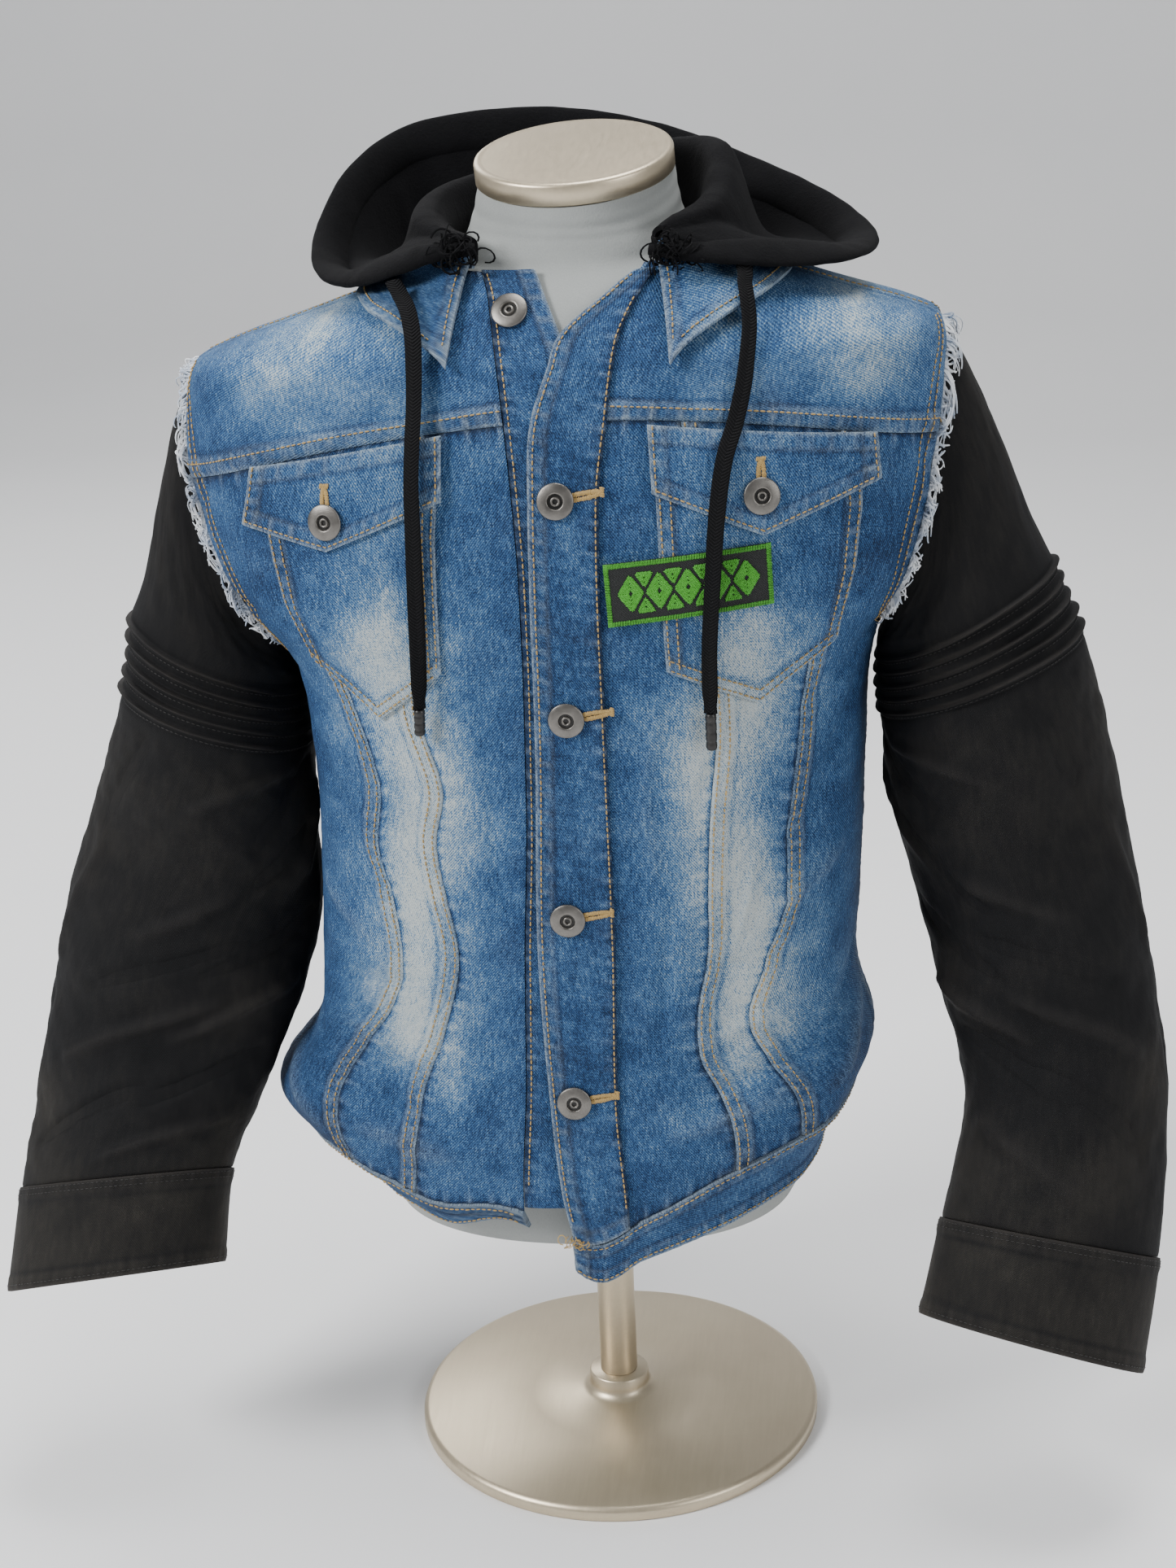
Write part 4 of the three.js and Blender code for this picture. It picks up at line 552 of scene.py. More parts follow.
BODY_CREASES = [
    # from angle and height, to angle and height, width, depth: valleys are below zero
    (-80, 566, -46, 524, 6, -2.6), (-76, 536, -52, 474, 7, -2.2), (-74, 604, -50, 596, 5, -1.6),
    (-62, 476, -38, 432, 6, -1.9), (-68, 424, -42, 397, 5, 2.0), (-58, 364, -28, 374, 5, -2.1),
    (-52, 338, -24, 322, 5, 2.1), (-56, 304, -28, 286, 5, -2.2), (-46, 272, -20, 262, 5, 1.9),
    (-84, 304, -58, 268, 7, 2.8), (-86, 344, -62, 318, 6, -2.6), (-22, 424, -13, 330, 5, -1.5),
    (-13, 528, -10, 424, 4, -1.1), (-31, 566, -25, 476, 5, 1.3), (-34, 440, -30, 384, 4, -1.3),
    (-70, 650, -56, 700, 7, -1.4), (-44, 740, -66, 704, 7, -1.5), (-20, 740, -30, 700, 6, 1.0),
    (80, 570, 48, 532, 6, -2.6), (75, 540, 53, 480, 7, -2.1), (62, 486, 37, 440, 6, -1.8),
    (67, 434, 39, 405, 5, 2.0), (57, 376, 27, 384, 5, -2.2), (53, 348, 25, 331, 5, 2.2),
    (51, 314, 23, 296, 5, -2.2), (45, 288, 19, 274, 5, 1.8), (84, 324, 58, 284, 7, 2.9),
    (87, 356, 64, 330, 6, -2.5), (18, 424, 14, 330, 5, -1.4), (14, 548, 13, 436, 4, 1.0),
    (31, 566, 23, 478, 5, -1.3), (36, 446, 31, 392, 4, 1.3), (72, 655, 58, 702, 7, -1.4),
    (42, 742, 64, 705, 7, -1.5), (24, 742, 33, 703, 6, 1.0),
    (98, 566, 122, 500, 7, -2.8), (95, 524, 128, 450, 8, 2.3), (103, 424, 142, 380, 7, -2.5),
    (99, 366, 134, 330, 7, 2.9), (97, 312, 132, 285, 6, -2.7), (108, 276, 152, 262, 6, 2.3),
    (148, 650, 173, 604, 8, -1.7), (161, 566, 150, 468, 9, -1.9), (170, 486, 176, 380, 8, 1.6),
    (163, 352, 194, 330, 7, -2.3), (167, 312, 197, 296, 7, 2.5), (156, 282, 203, 270, 6, -2.0),
    (-97, 570, -124, 512, 7, -2.7), (-94, 520, -130, 458, 8, 2.2), (-104, 430, -140, 372, 7, -2.6),
    (-98, 372, -130, 338, 7, 2.8), (-96, 318, -134, 280, 6, -2.6), (-106, 270, -150, 259, 6, 2.1),
    (-150, 640, -174, 596, 8, -1.6), (-158, 560, -148, 462, 9, 1.7),
    (-166, 500, -172, 400, 8, -1.5), (-140, 640, -128, 560, 8, 1.5), (136, 636, 126, 566, 8, 1.5),
    (-170, 730, -140, 706, 8, -1.2), (168, 732, 138, 704, 8, -1.3), (-176, 420, -168, 340, 7, 1.4)]
MM_PER_DEGREE = 2.7


TUCK_UNDER = 30
SMOOTH_NECK = (745, 785)


def signed_power(value, power):
    return np.sign(value) * np.abs(value) ** power


def wrap_deg(deg):
    return (np.asarray(deg, float) + 540) % 360 - 180


def bell(distance, width):
    return np.exp(-((distance / width) ** 2))


def step_up(value, low, high):
    t = np.clip((value - low) / (high - low), 0, 1)
    return t * t * (3 - 2 * t)


def body_point(deg, z):
    """Point on the jacket's inner surface, by its angle from the centre front and its ring."""
    deg, z = np.broadcast_arrays(np.asarray(deg, float), np.asarray(z, float))
    s, c = np.sin(np.radians(deg)), np.cos(np.radians(deg))
    depth = np.where(c > 0, BODY.get("front", z), BODY.get("back", z))
    x = BODY.get("half", z) * signed_power(s, 2 / ROUNDNESS)
    y = -depth * signed_power(c, 2 / ROUNDNESS)
    away = wrap_deg(deg)
    above = z - HEM.get("seam", away)
    out = HEM.get("blouse", away) * bell(above - BLOUSE_HEIGHT, BLOUSE_SPREAD)
    out = out - HEM.get("tuck", away) * np.clip(-above / TUCK_UNDER, 0, 1)
    for at, height, wide, long, rise in BODY_FOLDS:
        out = out + rise * bell(wrap_deg(deg - at), wide) * bell(z - height, long)
    reach = np.hypot(x, y)
    place = x * (1 + out / reach) + BODY.get("centre", z)
    return np.stack([place, y * (1 + out / reach), z + LEAN * place], -1)


def normal_of(surface, a, b, step_a, step_b):
    along = surface(a + step_a, b) - surface(a - step_a, b)
    rise = surface(a, b + step_b) - surface(a, b - step_b)
    return unit(np.cross(along, rise))


def body_normal(deg, z):
    return normal_of(body_point, deg, z, 0.5, 1)


def near_line(a, b, start, end):
    """Distance from a line between two places, and the share of its length beside each point."""
    run = np.subtract(end, start)
    share = ((a - start[0]) * run[0] + (b - start[1]) * run[1]) / (run @ run)
    held = np.clip(share, 0, 1)
    return np.hypot(a - start[0] - held * run[0], b - start[1] - held * run[1]), share


def crease_relief(a, b, creases, scale_a, scale_b, around=None):
    """Sum of the listed creases. Each one fades at its ends and wanders a little."""
    relief = np.zeros(np.shape(a))
    for number, (a0, b0, a1, b1, wide, depth) in enumerate(creases):
        middle = (a0 + a1) / 2
        there = a - middle
        if around:
            there = (there + 1.5 * around) % around - around / 2
        start = ((a0 - middle) * scale_a, b0 * scale_b)
        end = ((a1 - middle) * scale_a, b1 * scale_b)
        wander = (2.2 * np.sin(b * scale_b / 17 + number)
                  + 1.4 * np.sin(there * scale_a / 11 + number * 2))
        away, share = near_line(there * scale_a + wander, b * scale_b, start, end)
        taper = step_up(share, -0.12, 0.25) * (1 - step_up(share, 0.7, 1.12))
        relief += depth * bell(away, wide) * (0.35 + 0.65 * taper)
    return relief


def cloud(a, b, size, seed):
    """Soft uneven value between about -1 and 1 that repeats nowhere on a piece."""
    total = 0
    for k in range(5):
        turn = seed * 1.7 + k * 2.4
        wave = (a * math.cos(turn) + b * math.sin(turn)) * (1 + 0.37 * k) / size
        total = total + np.sin(wave * 2 * math.pi + seed * 5.1 + k * 1.9) / (1 + 0.5 * k)
    return total / 2.2


def body_relief(deg, z):
    sweep = wrap_deg(deg) * MM_PER_DEGREE
    relief = crease_relief(deg, z, BODY_CREASES, MM_PER_DEGREE, 1.0, 360)
    relief += 0.35 * cloud(sweep, z, 62, 1) + 0.16 * cloud(sweep, z, 23, 2)
    return relief * (1 - 0.8 * step_up(z, *SMOOTH_NECK))


def front_deg(x, z):
    share = (x - BODY.get("centre", z)) / BODY.get("half", z)
    return np.degrees(np.arcsin(np.clip(signed_power(share, ROUNDNESS / 2), -1, 1)))


def back_deg(x, z):
    return np.sign(x) * 180 - front_deg(x, z)


def edge_patch(top, low, left, right, across, down):
    """Two values over a patch between four edges, each a function of a share."""
    u, v = np.linspace(0, 1, across + 1), np.linspace(0, 1, down + 1)
    tops, lows = (np.array([f(t) for t in u], float) for f in (top, low))
    lefts, rights = (np.array([f(t) for t in v], float) for f in (left, right))
    U, V = u[None, :, None], v[:, None, None]
    flat = ((tops[0] * (1 - U) + tops[-1] * U) * (1 - V) + (lows[0] * (1 - U) + lows[-1] * U) * V)
    grid = lefts[:, None] * (1 - U) + rights[:, None] * U + tops[None] * (1 - V) + lows[None] * V
    grid = grid - flat
    return grid[..., 0], grid[..., 1]


def running(grid, axis):
    """Distance along a grid from its first row or column."""
    steps = np.linalg.norm(np.diff(grid, axis=axis), axis=-1)
    zero = np.zeros_like(np.take(steps, [0], axis))
    return np.concatenate([zero, np.cumsum(steps, axis)], axis)


def pull_in(grid, gap):
    """Draws the rim in by the gap of a seam."""
    grid = grid.copy()
    for rim, beside in ((np.s_[0], np.s_[1]), (np.s_[-1], np.s_[-2]),
                        (np.s_[:, 0], np.s_[:, 1]), (np.s_[:, -1], np.s_[:, -2])):
        grid[rim] = grid[rim] + unit(grid[beside] - grid[rim]) * gap
    return grid


class Cloth:
    """A piece of cloth on a grid: its two faces, its edges and what it carries.

    at is the surface it lies on, out the way out of it, lift its distance from there, and rims
    says which edges are felled, tucked or turned.
    """

    def __init__(self, name, at, out, lift, thick, relief=0.0, rims=(), round_way=False):
        self.name = name
        self.round_way = round_way
        self.out = out
        self.edge = {
            "left": running(at, 1), "top": running(at, 0),
            "right": running(at[:, ::-1], 1)[:, ::-1], "low": running(at[::-1], 0)[::-1],
        }
        raised = np.zeros(at.shape[:2]) + relief
        self.wear = np.clip(raised * 0.09, 0, 0.3)
        # Painted shade beside the seams, gathered by work_rim and taken off the tone
        self.shade = np.zeros_like(raised)
        for rim, kind in rims:
            raised, self.wear = self.work_rim(rim, kind, raised)
        # A rim is pressed a little thinner than the cloth
        for rim in (("top", "low") if round_way else ("left", "right", "top", "low")):
            raised = raised - 0.45 * bell(self.edge[rim], 1.2)
        low = np.minimum(raised, 0)[..., None]
        self.outer = at + out * (lift + thick + raised)[..., None]
        self.inner = at + out * lift + out * np.maximum(low, -0.25)

    def work_rim(self, rim, kind, raised):
        """Raises, puckers and wears the cloth beside a felled, tucked or turned rim, and paints shade there: the
        shadow of the seam's step and of its puckers, partly dye left darker beside it.
        """
        away = self.edge[rim]
        along = self.edge["top" if rim in ("left", "right") else "left"]
        pucker = np.sin(along / 1.35 + 2.1 * np.sin(along / 13.0)) * np.sin(along / 5.3 + 1.0)
        if kind == "felled":
            ridge = step_up(away, -0.2, 1.2) * (1 - step_up(away, 9.4, 11.4))
            raised = raised + 0.85 * ridge + 0.42 * pucker * bell(away - 6, 6.5)
            wear = bell(away - 0.6, 1.0) * 0.75 + ridge * np.clip(0.16 + 0.42 * pucker, 0, 1)
            wear = wear + bell(away - 11.2, 1.2) * 0.3
            # Painted shade: a shadow line just past the felled ridge's step and a faint one along its middle, partly
            # dye left darker there
            self.shade = self.shade + 0.22 * bell(away - 12.8, 1.5) + 0.10 * bell(away - 5.0, 2.0)
        elif kind == "tucked":
            raised = raised + 0.42 * pucker * bell(away, 9)
            wear = np.clip(pucker, 0, 1) * bell(away, 7) * 0.35
            # Painted shade: the shadow that the lapping seam casts along this rim, deeper in the puckers' hollows,
            # partly dye left darker there
            self.shade = (self.shade + 0.46 * bell(away, 1.8)
                          + 0.14 * bell(away - 3, 5) * (0.5 - pucker))
        else:
            ridge = 1 - step_up(away, 8.2, 9.8)
            raised = raised + 0.5 * ridge + 0.3 * pucker * bell(away - 5, 6)
            wear = bell(away, 1.3) * 0.95 + ridge * np.clip(0.06 + 0.34 * pucker, 0, 1)
            wear = wear + bell(away - 9.4, 1.2) * 0.2
            # Painted shade: a shadow line just past the turned edge's step, partly dye left darker there
            self.shade = self.shade + 0.22 * bell(away - 10.6, 1.5)
        return raised, np.clip(self.wear + wear, 0, 1)

    def line(self, rim, away, start=0.0, end=1.0):
        """A line on the outer face at a distance from one rim, with the normals along it."""
        far = self.edge[rim]
        outer, out = self.outer, self.out
        if rim in ("top", "low"):
            far, outer, out = far.T, outer.swapaxes(0, 1), out.swapaxes(0, 1)
        if rim in ("right", "low"):
            far, outer, out = far[:, ::-1], outer[:, ::-1], out[:, ::-1]
        first, last = int(start * (len(far) - 1)), int(end * (len(far) - 1)) + 1
        picks = range(first, last)
        at = np.array([[np.interp(away, far[r], outer[r, :, k]) for k in range(3)] for r in picks])
        ups = np.array([[np.interp(away, far[r], out[r, :, k]) for k in range(3)] for r in picks])
        return at, unit(ups)

    def make(self, material, slot, tone=0.0, nodes=()):
        """The piece's mesh object: both faces and the walls between them."""
        rows, columns = self.outer.shape[:2]
        shift = rows * columns
        spans = columns if self.round_way else columns - 1
        r, c = np.meshgrid(np.arange(rows - 1), np.arange(spans), indexing="ij")
        a, b = r * columns + c, r * columns + (c + 1) % columns
        d, e = a + columns, b + columns
        inner = np.stack([a, b, e, d], -1).reshape(-1, 4)
        outer = np.stack([a, d, e, b], -1).reshape(-1, 4) + shift
        c = np.arange(spans)
        after = (c + 1) % columns
        last = (rows - 1) * columns
        walls = [np.stack([c, c + shift, after + shift, after], -1),
                 np.stack([last + c, last + after, last + after + shift, last + c + shift], -1)]
        if not self.round_way:
            r = np.arange(rows - 1) * columns
            end = r + columns - 1
            walls += [np.stack([r, r + columns, r + columns + shift, r + shift], -1),
                      np.stack([end, end + shift, end + columns + shift, end + columns], -1)]
        faces = np.concatenate([inner, outer, *walls])
        points = np.concatenate([self.inner.reshape(-1, 3), self.outer.reshape(-1, 3)])
        corner, beside, below = self.outer[0, 0], self.outer[0, 1], self.outer[1, 0]
        if np.cross(below - corner, beside - corner) @ self.out[0, 0] < 0:
            faces = faces[:, ::-1]
        uv = np.stack([self.edge["left"], -self.edge["top"]], -1).reshape(-1, 2) * MM
        # The painted seam shade darkens the cloth's tone
        tone_with_painted_shade = tone - self.shade
        obj = mesh_object(self.name, points, faces, material, np.concatenate([uv, uv]), {
            "tone": np.concatenate([tone_with_painted_shade.ravel()] * 2),
            "wear": np.concatenate([self.wear.ravel()] * 2)})
        return set_in(obj, slot, nodes)

    def cut(self):
        """Width and length of the cloth as it was cut, and its flat area."""
        wide = float(self.edge["left"][:, -1].max()) * MM
        long = float(self.edge["top"][-1].max()) * MM
        a = self.outer[1:, :-1] - self.outer[:-1, :-1]
        b = self.outer[:-1, 1:] - self.outer[:-1, :-1]
        area = float(np.linalg.norm(np.cross(a, b), axis=-1).sum()) * MM ** 2
        return {"flat": (round(wide, 3), round(long, 3)),
                "area": round(min(max(area, 0.3 * wide * long), wide * long), 4)}

    def lay(self, material, slot, tone, node, held, rests_on):
        """Makes the piece for its solid and says how the cloth is held."""
        obj = self.make(material, slot, tone, [node])
        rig.sheet(obj, held=held, rests_on=rests_on, **self.cut())


denim = Finish("washed_denim")
weft = cloth_place(denim)
tone = carried(denim, "tone")
wear = carried(denim, "wear")
slub = denim.noise(weft, 560.0, 3.0, 0.6, stretch=(1.0, 0.24, 1.0))
streak = denim.noise(weft, 62.0, 3.0, 0.6, stretch=(1.0, 0.5, 1.0))
patchy = denim.noise(weft, 24.0, 4.0, 0.6)
grain = denim.noise(weft, 960.0, 2.0, 0.55)
weft_x, weft_y = cloth_parts(denim, weft)
twill_line = ribs(denim, weft_x * 3900.0 + weft_y * 3300.0)
faded = (tone + (slub - 0.5) * 0.80 + (streak - 0.5) * 0.22 + (patchy - 0.5) * 0.30
         + (grain - 0.5) * 1.35 + (twill_line - 0.5) * 0.28 + 0.375)
indigo = denim.add("ShaderNodeValToRGB", {"stops": [
    (0.0, (0.005, 0.016, 0.046)), (0.26, (0.012, 0.041, 0.117)), (0.50, (0.034, 0.100, 0.228)),
    (0.74, (0.125, 0.225, 0.345)), (1.0, (0.430, 0.475, 0.475))]}, {0: faded})
rubbed = denim.add("ShaderNodeMath", {"operation": "MULTIPLY", "use_clamp": True},
                   {0: wear, 1: 0.50 + (grain + slub - 1.0) * 1.5})
washed_denim = denim.surface(
    bump=twill_line * 0.35 + slub * 0.6 + grain * 0.9, depth=0.0007, strength=0.8,
    Base_Color=denim.mix(rubbed, indigo, (0.32, 0.375, 0.40)),
    Roughness=0.88 + (grain - 0.5) * 0.1, Specular_IOR_Level=0.25)

gold = Finish("gold_thread")
gold_place = object_place(gold)
gold_speck = gold.noise(gold_place, 900.0)
gold_worn = gold.noise(gold_place, 30.0)
gold_thread = gold.surface(
    bump=gold_speck, depth=0.0003, strength=0.6, Roughness=0.7,
    Base_Color=gold.mix(gold_speck * 0.5 + gold_worn * 0.5, (0.20, 0.120, 0.036),
                        (0.58, 0.40, 0.15)))


def stitch_tree():
    """Places one bent thread, as long and thick as asked, at every point of a mesh."""
    tree = bpy.data.node_groups.new("stitch_row", "GeometryNodeTree")
    tree.interface.new_socket("Geometry", in_out="INPUT", socket_type="NodeSocketGeometry")
    for name in ("Length", "Thickness"):
        tree.interface.new_socket(name, in_out="INPUT", socket_type="NodeSocketFloat")
    tree.interface.new_socket("Thread", in_out="INPUT", socket_type="NodeSocketMaterial")
    tree.interface.new_socket("Geometry", in_out="OUTPUT", socket_type="NodeSocketGeometry")

    def node(kind, **settings):
        made = tree.nodes.new(kind)
        for key, value in settings.items():
            setattr(made, key, value)
        return made

    def join(source, target):
        tree.links.new(source, target)

    start, end = node("NodeGroupInput"), node("NodeGroupOutput")
    seed_mesh = node("GeometryNodeMeshUVSphere")
    seed_mesh.inputs["Segments"].default_value = 5
    seed_mesh.inputs["Rings"].default_value = 4
    seed_mesh.inputs["Radius"].default_value = 0.5
    size = node("ShaderNodeCombineXYZ")
    join(start.outputs["Thickness"], size.inputs["X"])
    join(start.outputs["Thickness"], size.inputs["Y"])
    join(start.outputs["Length"], size.inputs["Z"])
    shaped = node("GeometryNodeTransform")
    join(seed_mesh.outputs["Mesh"], shaped.inputs["Geometry"])
    join(size.outputs["Vector"], shaped.inputs["Scale"])
    spots = node("GeometryNodeMeshToPoints")
    join(start.outputs["Geometry"], spots.inputs["Mesh"])
    turn = node("FunctionNodeAxesToRotation", primary_axis="Z", secondary_axis="X")
    for name, socket in (("along", "Primary Axis"), ("lifted", "Secondary Axis")):
        held = node("GeometryNodeInputNamedAttribute", data_type="FLOAT_VECTOR")
        held.inputs["Name"].default_value = name
        join(held.outputs["Attribute"], turn.inputs[socket])
    uneven = node("FunctionNodeRandomValue", data_type="FLOAT")
    uneven.inputs["Min"].default_value = 0.82
    uneven.inputs["Max"].default_value = 1.12
    uneven.inputs["Seed"].default_value = 11
    placed = node("GeometryNodeInstanceOnPoints")
    join(spots.outputs["Points"], placed.inputs["Points"])
    join(shaped.outputs["Geometry"], placed.inputs["Instance"])
    join(turn.outputs["Rotation"], placed.inputs["Rotation"])
    join(uneven.outputs["Value"], placed.inputs["Scale"])
    real = node("GeometryNodeRealizeInstances")
    join(placed.outputs["Instances"], real.inputs["Geometry"])
    painted = node("GeometryNodeSetMaterial")
    join(real.outputs["Geometry"], painted.inputs["Geometry"])
    join(start.outputs["Thread"], painted.inputs["Material"])
    join(painted.outputs["Geometry"], end.inputs["Geometry"])
    return tree


STITCH = stitch_tree()
STITCH_SINK = 0.15


def sew(name, lines, thread, slot, pitch=3.6, length=3.0, thick=1.05, turned=0.0):
    """Stitches along lines that lie on cloth. turned swings each one off its line."""
    spots, runs, ups = [], [], []
    for at, up_way in lines:
        far = far_along(at)
        count = max(int(far[-1] / pitch), 1)
        stops = (np.arange(count) + 0.5) * far[-1] / count
        here, before, after, lifted = [
            np.stack([np.interp(stops + shift, far, values[:, k]) for k in range(3)], 1)
            for values, shift in ((at, 0), (at, -0.5), (at, 0.5), (up_way, 0))]
        lifted = unit(lifted)
        along = unit(after - before)
        aside = np.cross(lifted, along)
        along = along * math.cos(turned) + aside * math.sin(turned)
        spots.append(here + lifted * (thick / 2 - STITCH_SINK * thick))
        runs.append(along)
        ups.append(lifted)
    mesh = bpy.data.meshes.new(name)
    mesh.from_pydata((np.concatenate(spots) * MM).tolist(), [], [])
    for key, values in (("along", runs), ("lifted", ups)):
        held = mesh.attributes.new(key, "FLOAT_VECTOR", "POINT")
        held.data.foreach_set("vector", np.concatenate(values).astype(np.float32).ravel())
    rows = bpy.data.objects.new(f"{name}.rows", mesh)
    bpy.context.collection.objects.link(rows)
    sewing = rows.modifiers.new("sewing", "NODES")
    sewing.node_group = STITCH
    ids = {item.name: item.identifier for item in STITCH.interface.items_tree
           if item.in_out == "INPUT"}
    sewing[ids["Length"]] = length * MM
    sewing[ids["Thickness"]] = thick * MM
    sewing[ids["Thread"]] = thread
    seen = rows.evaluated_get(bpy.context.evaluated_depsgraph_get())
    made = bpy.data.meshes.new_from_object(seen)
    made.shade_smooth()
    rows.modifiers.clear()
    bpy.data.objects.remove(rows)
    obj = bpy.data.objects.new(name, made)
    bpy.context.collection.objects.link(obj)
    return set_in(obj, slot)


# Fronts: three panels on each side between two curved seams, under a yoke that comes over the
# shoulder. Each seam is a short list of heights and places in x, and the armhole is an oval.
FRONT_SEAMS = {
    "right": {
        "placket": Rows("z x", [(190, -40), (300, -34), (400, -30), (480, -25), (620, -22),
                                (712, -28), (775, -38), (790, -44)]),
        "inner": Rows("z x", [(200, -114), (250, -103), (300, -98), (340, -83), (390, -71),
                              (430, -76), (465, -80), (500, -74), (550, -86), (620, -82),
                              (712, -72)]),
        "outer": Rows("z x", [(230, -145), (295, -147), (325, -135), (355, -117), (385, -107),
                              (425, -111), (460, -118), (500, -114), (550, -128), (620, -150),
                              (700, -158)])},
    "left": {
        "placket": Rows("z x", [(190, 19), (600, 19), (700, 19), (715, 20), (735, 24), (765, 33),
                                (785, 46), (790, 49)]),
        "inner": Rows("z x", [(220, 88), (260, 88), (295, 82), (320, 72), (350, 71), (385, 78),
                              (430, 79), (475, 81), (530, 86), (620, 80), (712, 70)]),
        "outer": Rows("z x", [(230, 128), (280, 121), (310, 110), (340, 101), (375, 111),
                              (410, 122), (460, 125), (500, 130), (550, 136), (620, 150),
                              (700, 158)])},
}
BACK_SEAM = Rows("z x", [(220, 62), (420, 84), (700, 120)])
YOKE_MIDDLE = 712
YOKE_DROP = 35
YOKE_REACH = 222
YOKE_NEAR = 700
HEM_NEAR = 240
ARMHOLE_MIDDLE = 650
ARMHOLE_HALF_HEIGHT = 88
ARMHOLE_HALF_DEG = 22
ARMHOLE_STEPS = 20
YOKE_CORNER_STEP = 4
SHOULDER_ROWS = 5
SIDE_ROWS = 12
ARM_ROWS = ARMHOLE_STEPS // 2 - YOKE_CORNER_STEP
ARM_SHARE = ARM_ROWS / (ARM_ROWS + SIDE_ROWS)
ARM_STITCHES = (10, 17)
PANEL_ROWS = 190


def yoke_seam(x):
    return YOKE_MIDDLE - YOKE_DROP * (x / YOKE_REACH) ** 2


def seam_place(table, share, to_deg, sign=1):
    """Place on a seam of the front or back, from the yoke's seam down to the hem's."""
    top = yoke_seam(table.get("x", YOKE_NEAR))
    bottom = HEM_NEAR
    for _ in range(6):
        bottom = HEM.get("seam", wrap_deg(to_deg(sign * table.get("x", bottom), bottom)))
    z = top + (bottom - top) * share
    return np.array([to_deg(sign * table.get("x", z), z), z])


def armhole_at(side, turn):
    """Angle and height on the armhole's edge, by the turn round it from its top."""
    deg = 90 - ARMHOLE_HALF_DEG * (1 - 0.35 * np.cos(turn)) * np.sin(turn)
    return side * deg, ARMHOLE_MIDDLE + ARMHOLE_HALF_HEIGHT * np.cos(turn)


def armhole_place(side, step):
    return np.array(armhole_at(side, step / ARMHOLE_STEPS * 2 * np.pi))


def side_edge(side, share, behind):
    """Outer edge of a side panel: round the armhole, then down the side seam."""
    row = share * (ARM_ROWS + SIDE_ROWS)
    if row <= ARM_ROWS:
        step = YOKE_CORNER_STEP + row
        return armhole_place(side, ARMHOLE_STEPS - step if behind else step)
    low, bottom = ARMHOLE_MIDDLE - ARMHOLE_HALF_HEIGHT, HEM.get("seam", side * 90)
    return np.array([side * 90, low + (bottom - low) * (row - ARM_ROWS) / SIDE_ROWS])


def yoke_edge(side, share, behind):
    """Outer edge of a yoke: the shoulder seam, then down the armhole."""
    row = share * (SHOULDER_ROWS + YOKE_CORNER_STEP)
    tip = ARMHOLE_MIDDLE + ARMHOLE_HALF_HEIGHT
    if row <= SHOULDER_ROWS:
        return np.array([side * 90, NECKLINE + (tip - NECKLINE) * row / SHOULDER_ROWS])
    step = row - SHOULDER_ROWS
    return armhole_place(side, ARMHOLE_STEPS - step if behind else step)


def yoke_run(start, end, share):
    """Place on the yoke's seam between two corners, which are kept as they are."""
    deg, spread = start + (end - start) * share
    inside = 1e-6 < share < 1 - 1e-6
    return np.array([deg, yoke_seam(body_point(deg, spread)[0]) if inside else spread])


def hem_run(start, end, share):
    """Place on the hem's seam between two corners, which are kept as they are."""
    deg, z = start + (end - start) * share
    inside = 1e-6 < share < 1 - 1e-6
    return np.array([deg, HEM.get("seam", wrap_deg(deg)) if inside else z])


def body_cloth(name, patch, rims, lift=0.0, thick=DENIM, relief_share=1.0):
    """Cloth on the body over a patch of angles and heights."""
    deg, z = patch
    at = pull_in(body_point(deg, z), SEAM_GAP / 2)
    relief = body_relief(deg, z) * relief_share
    return Cloth(name, at, body_normal(deg, z), lift, thick, relief, rims)


def full_turn(place):
    """The same place with its angle counted on past the centre back."""
    return np.array([place[0] + 360 if place[0] < 0 else place[0], place[1]])


# Spots worn pale: place in x and z, half width and height, how pale
WORN_MARKS = [(-139, 757, 9, 13, 0.24), (-97, 760, 7, 12, 0.22), (168, 764, 10, 14, 0.22),
              (158, 690, 8, 7, 0.20), (-100, 614, 5, 22, 0.30), (-78, 302, 9, 36, 0.14)]
BLEACHED_FAR = 94
BLEACHED_SWAY = 9
POCKET_FAR = 112
SHOULDER_RIGHT, SHOULDER_LEFT = -156, 172


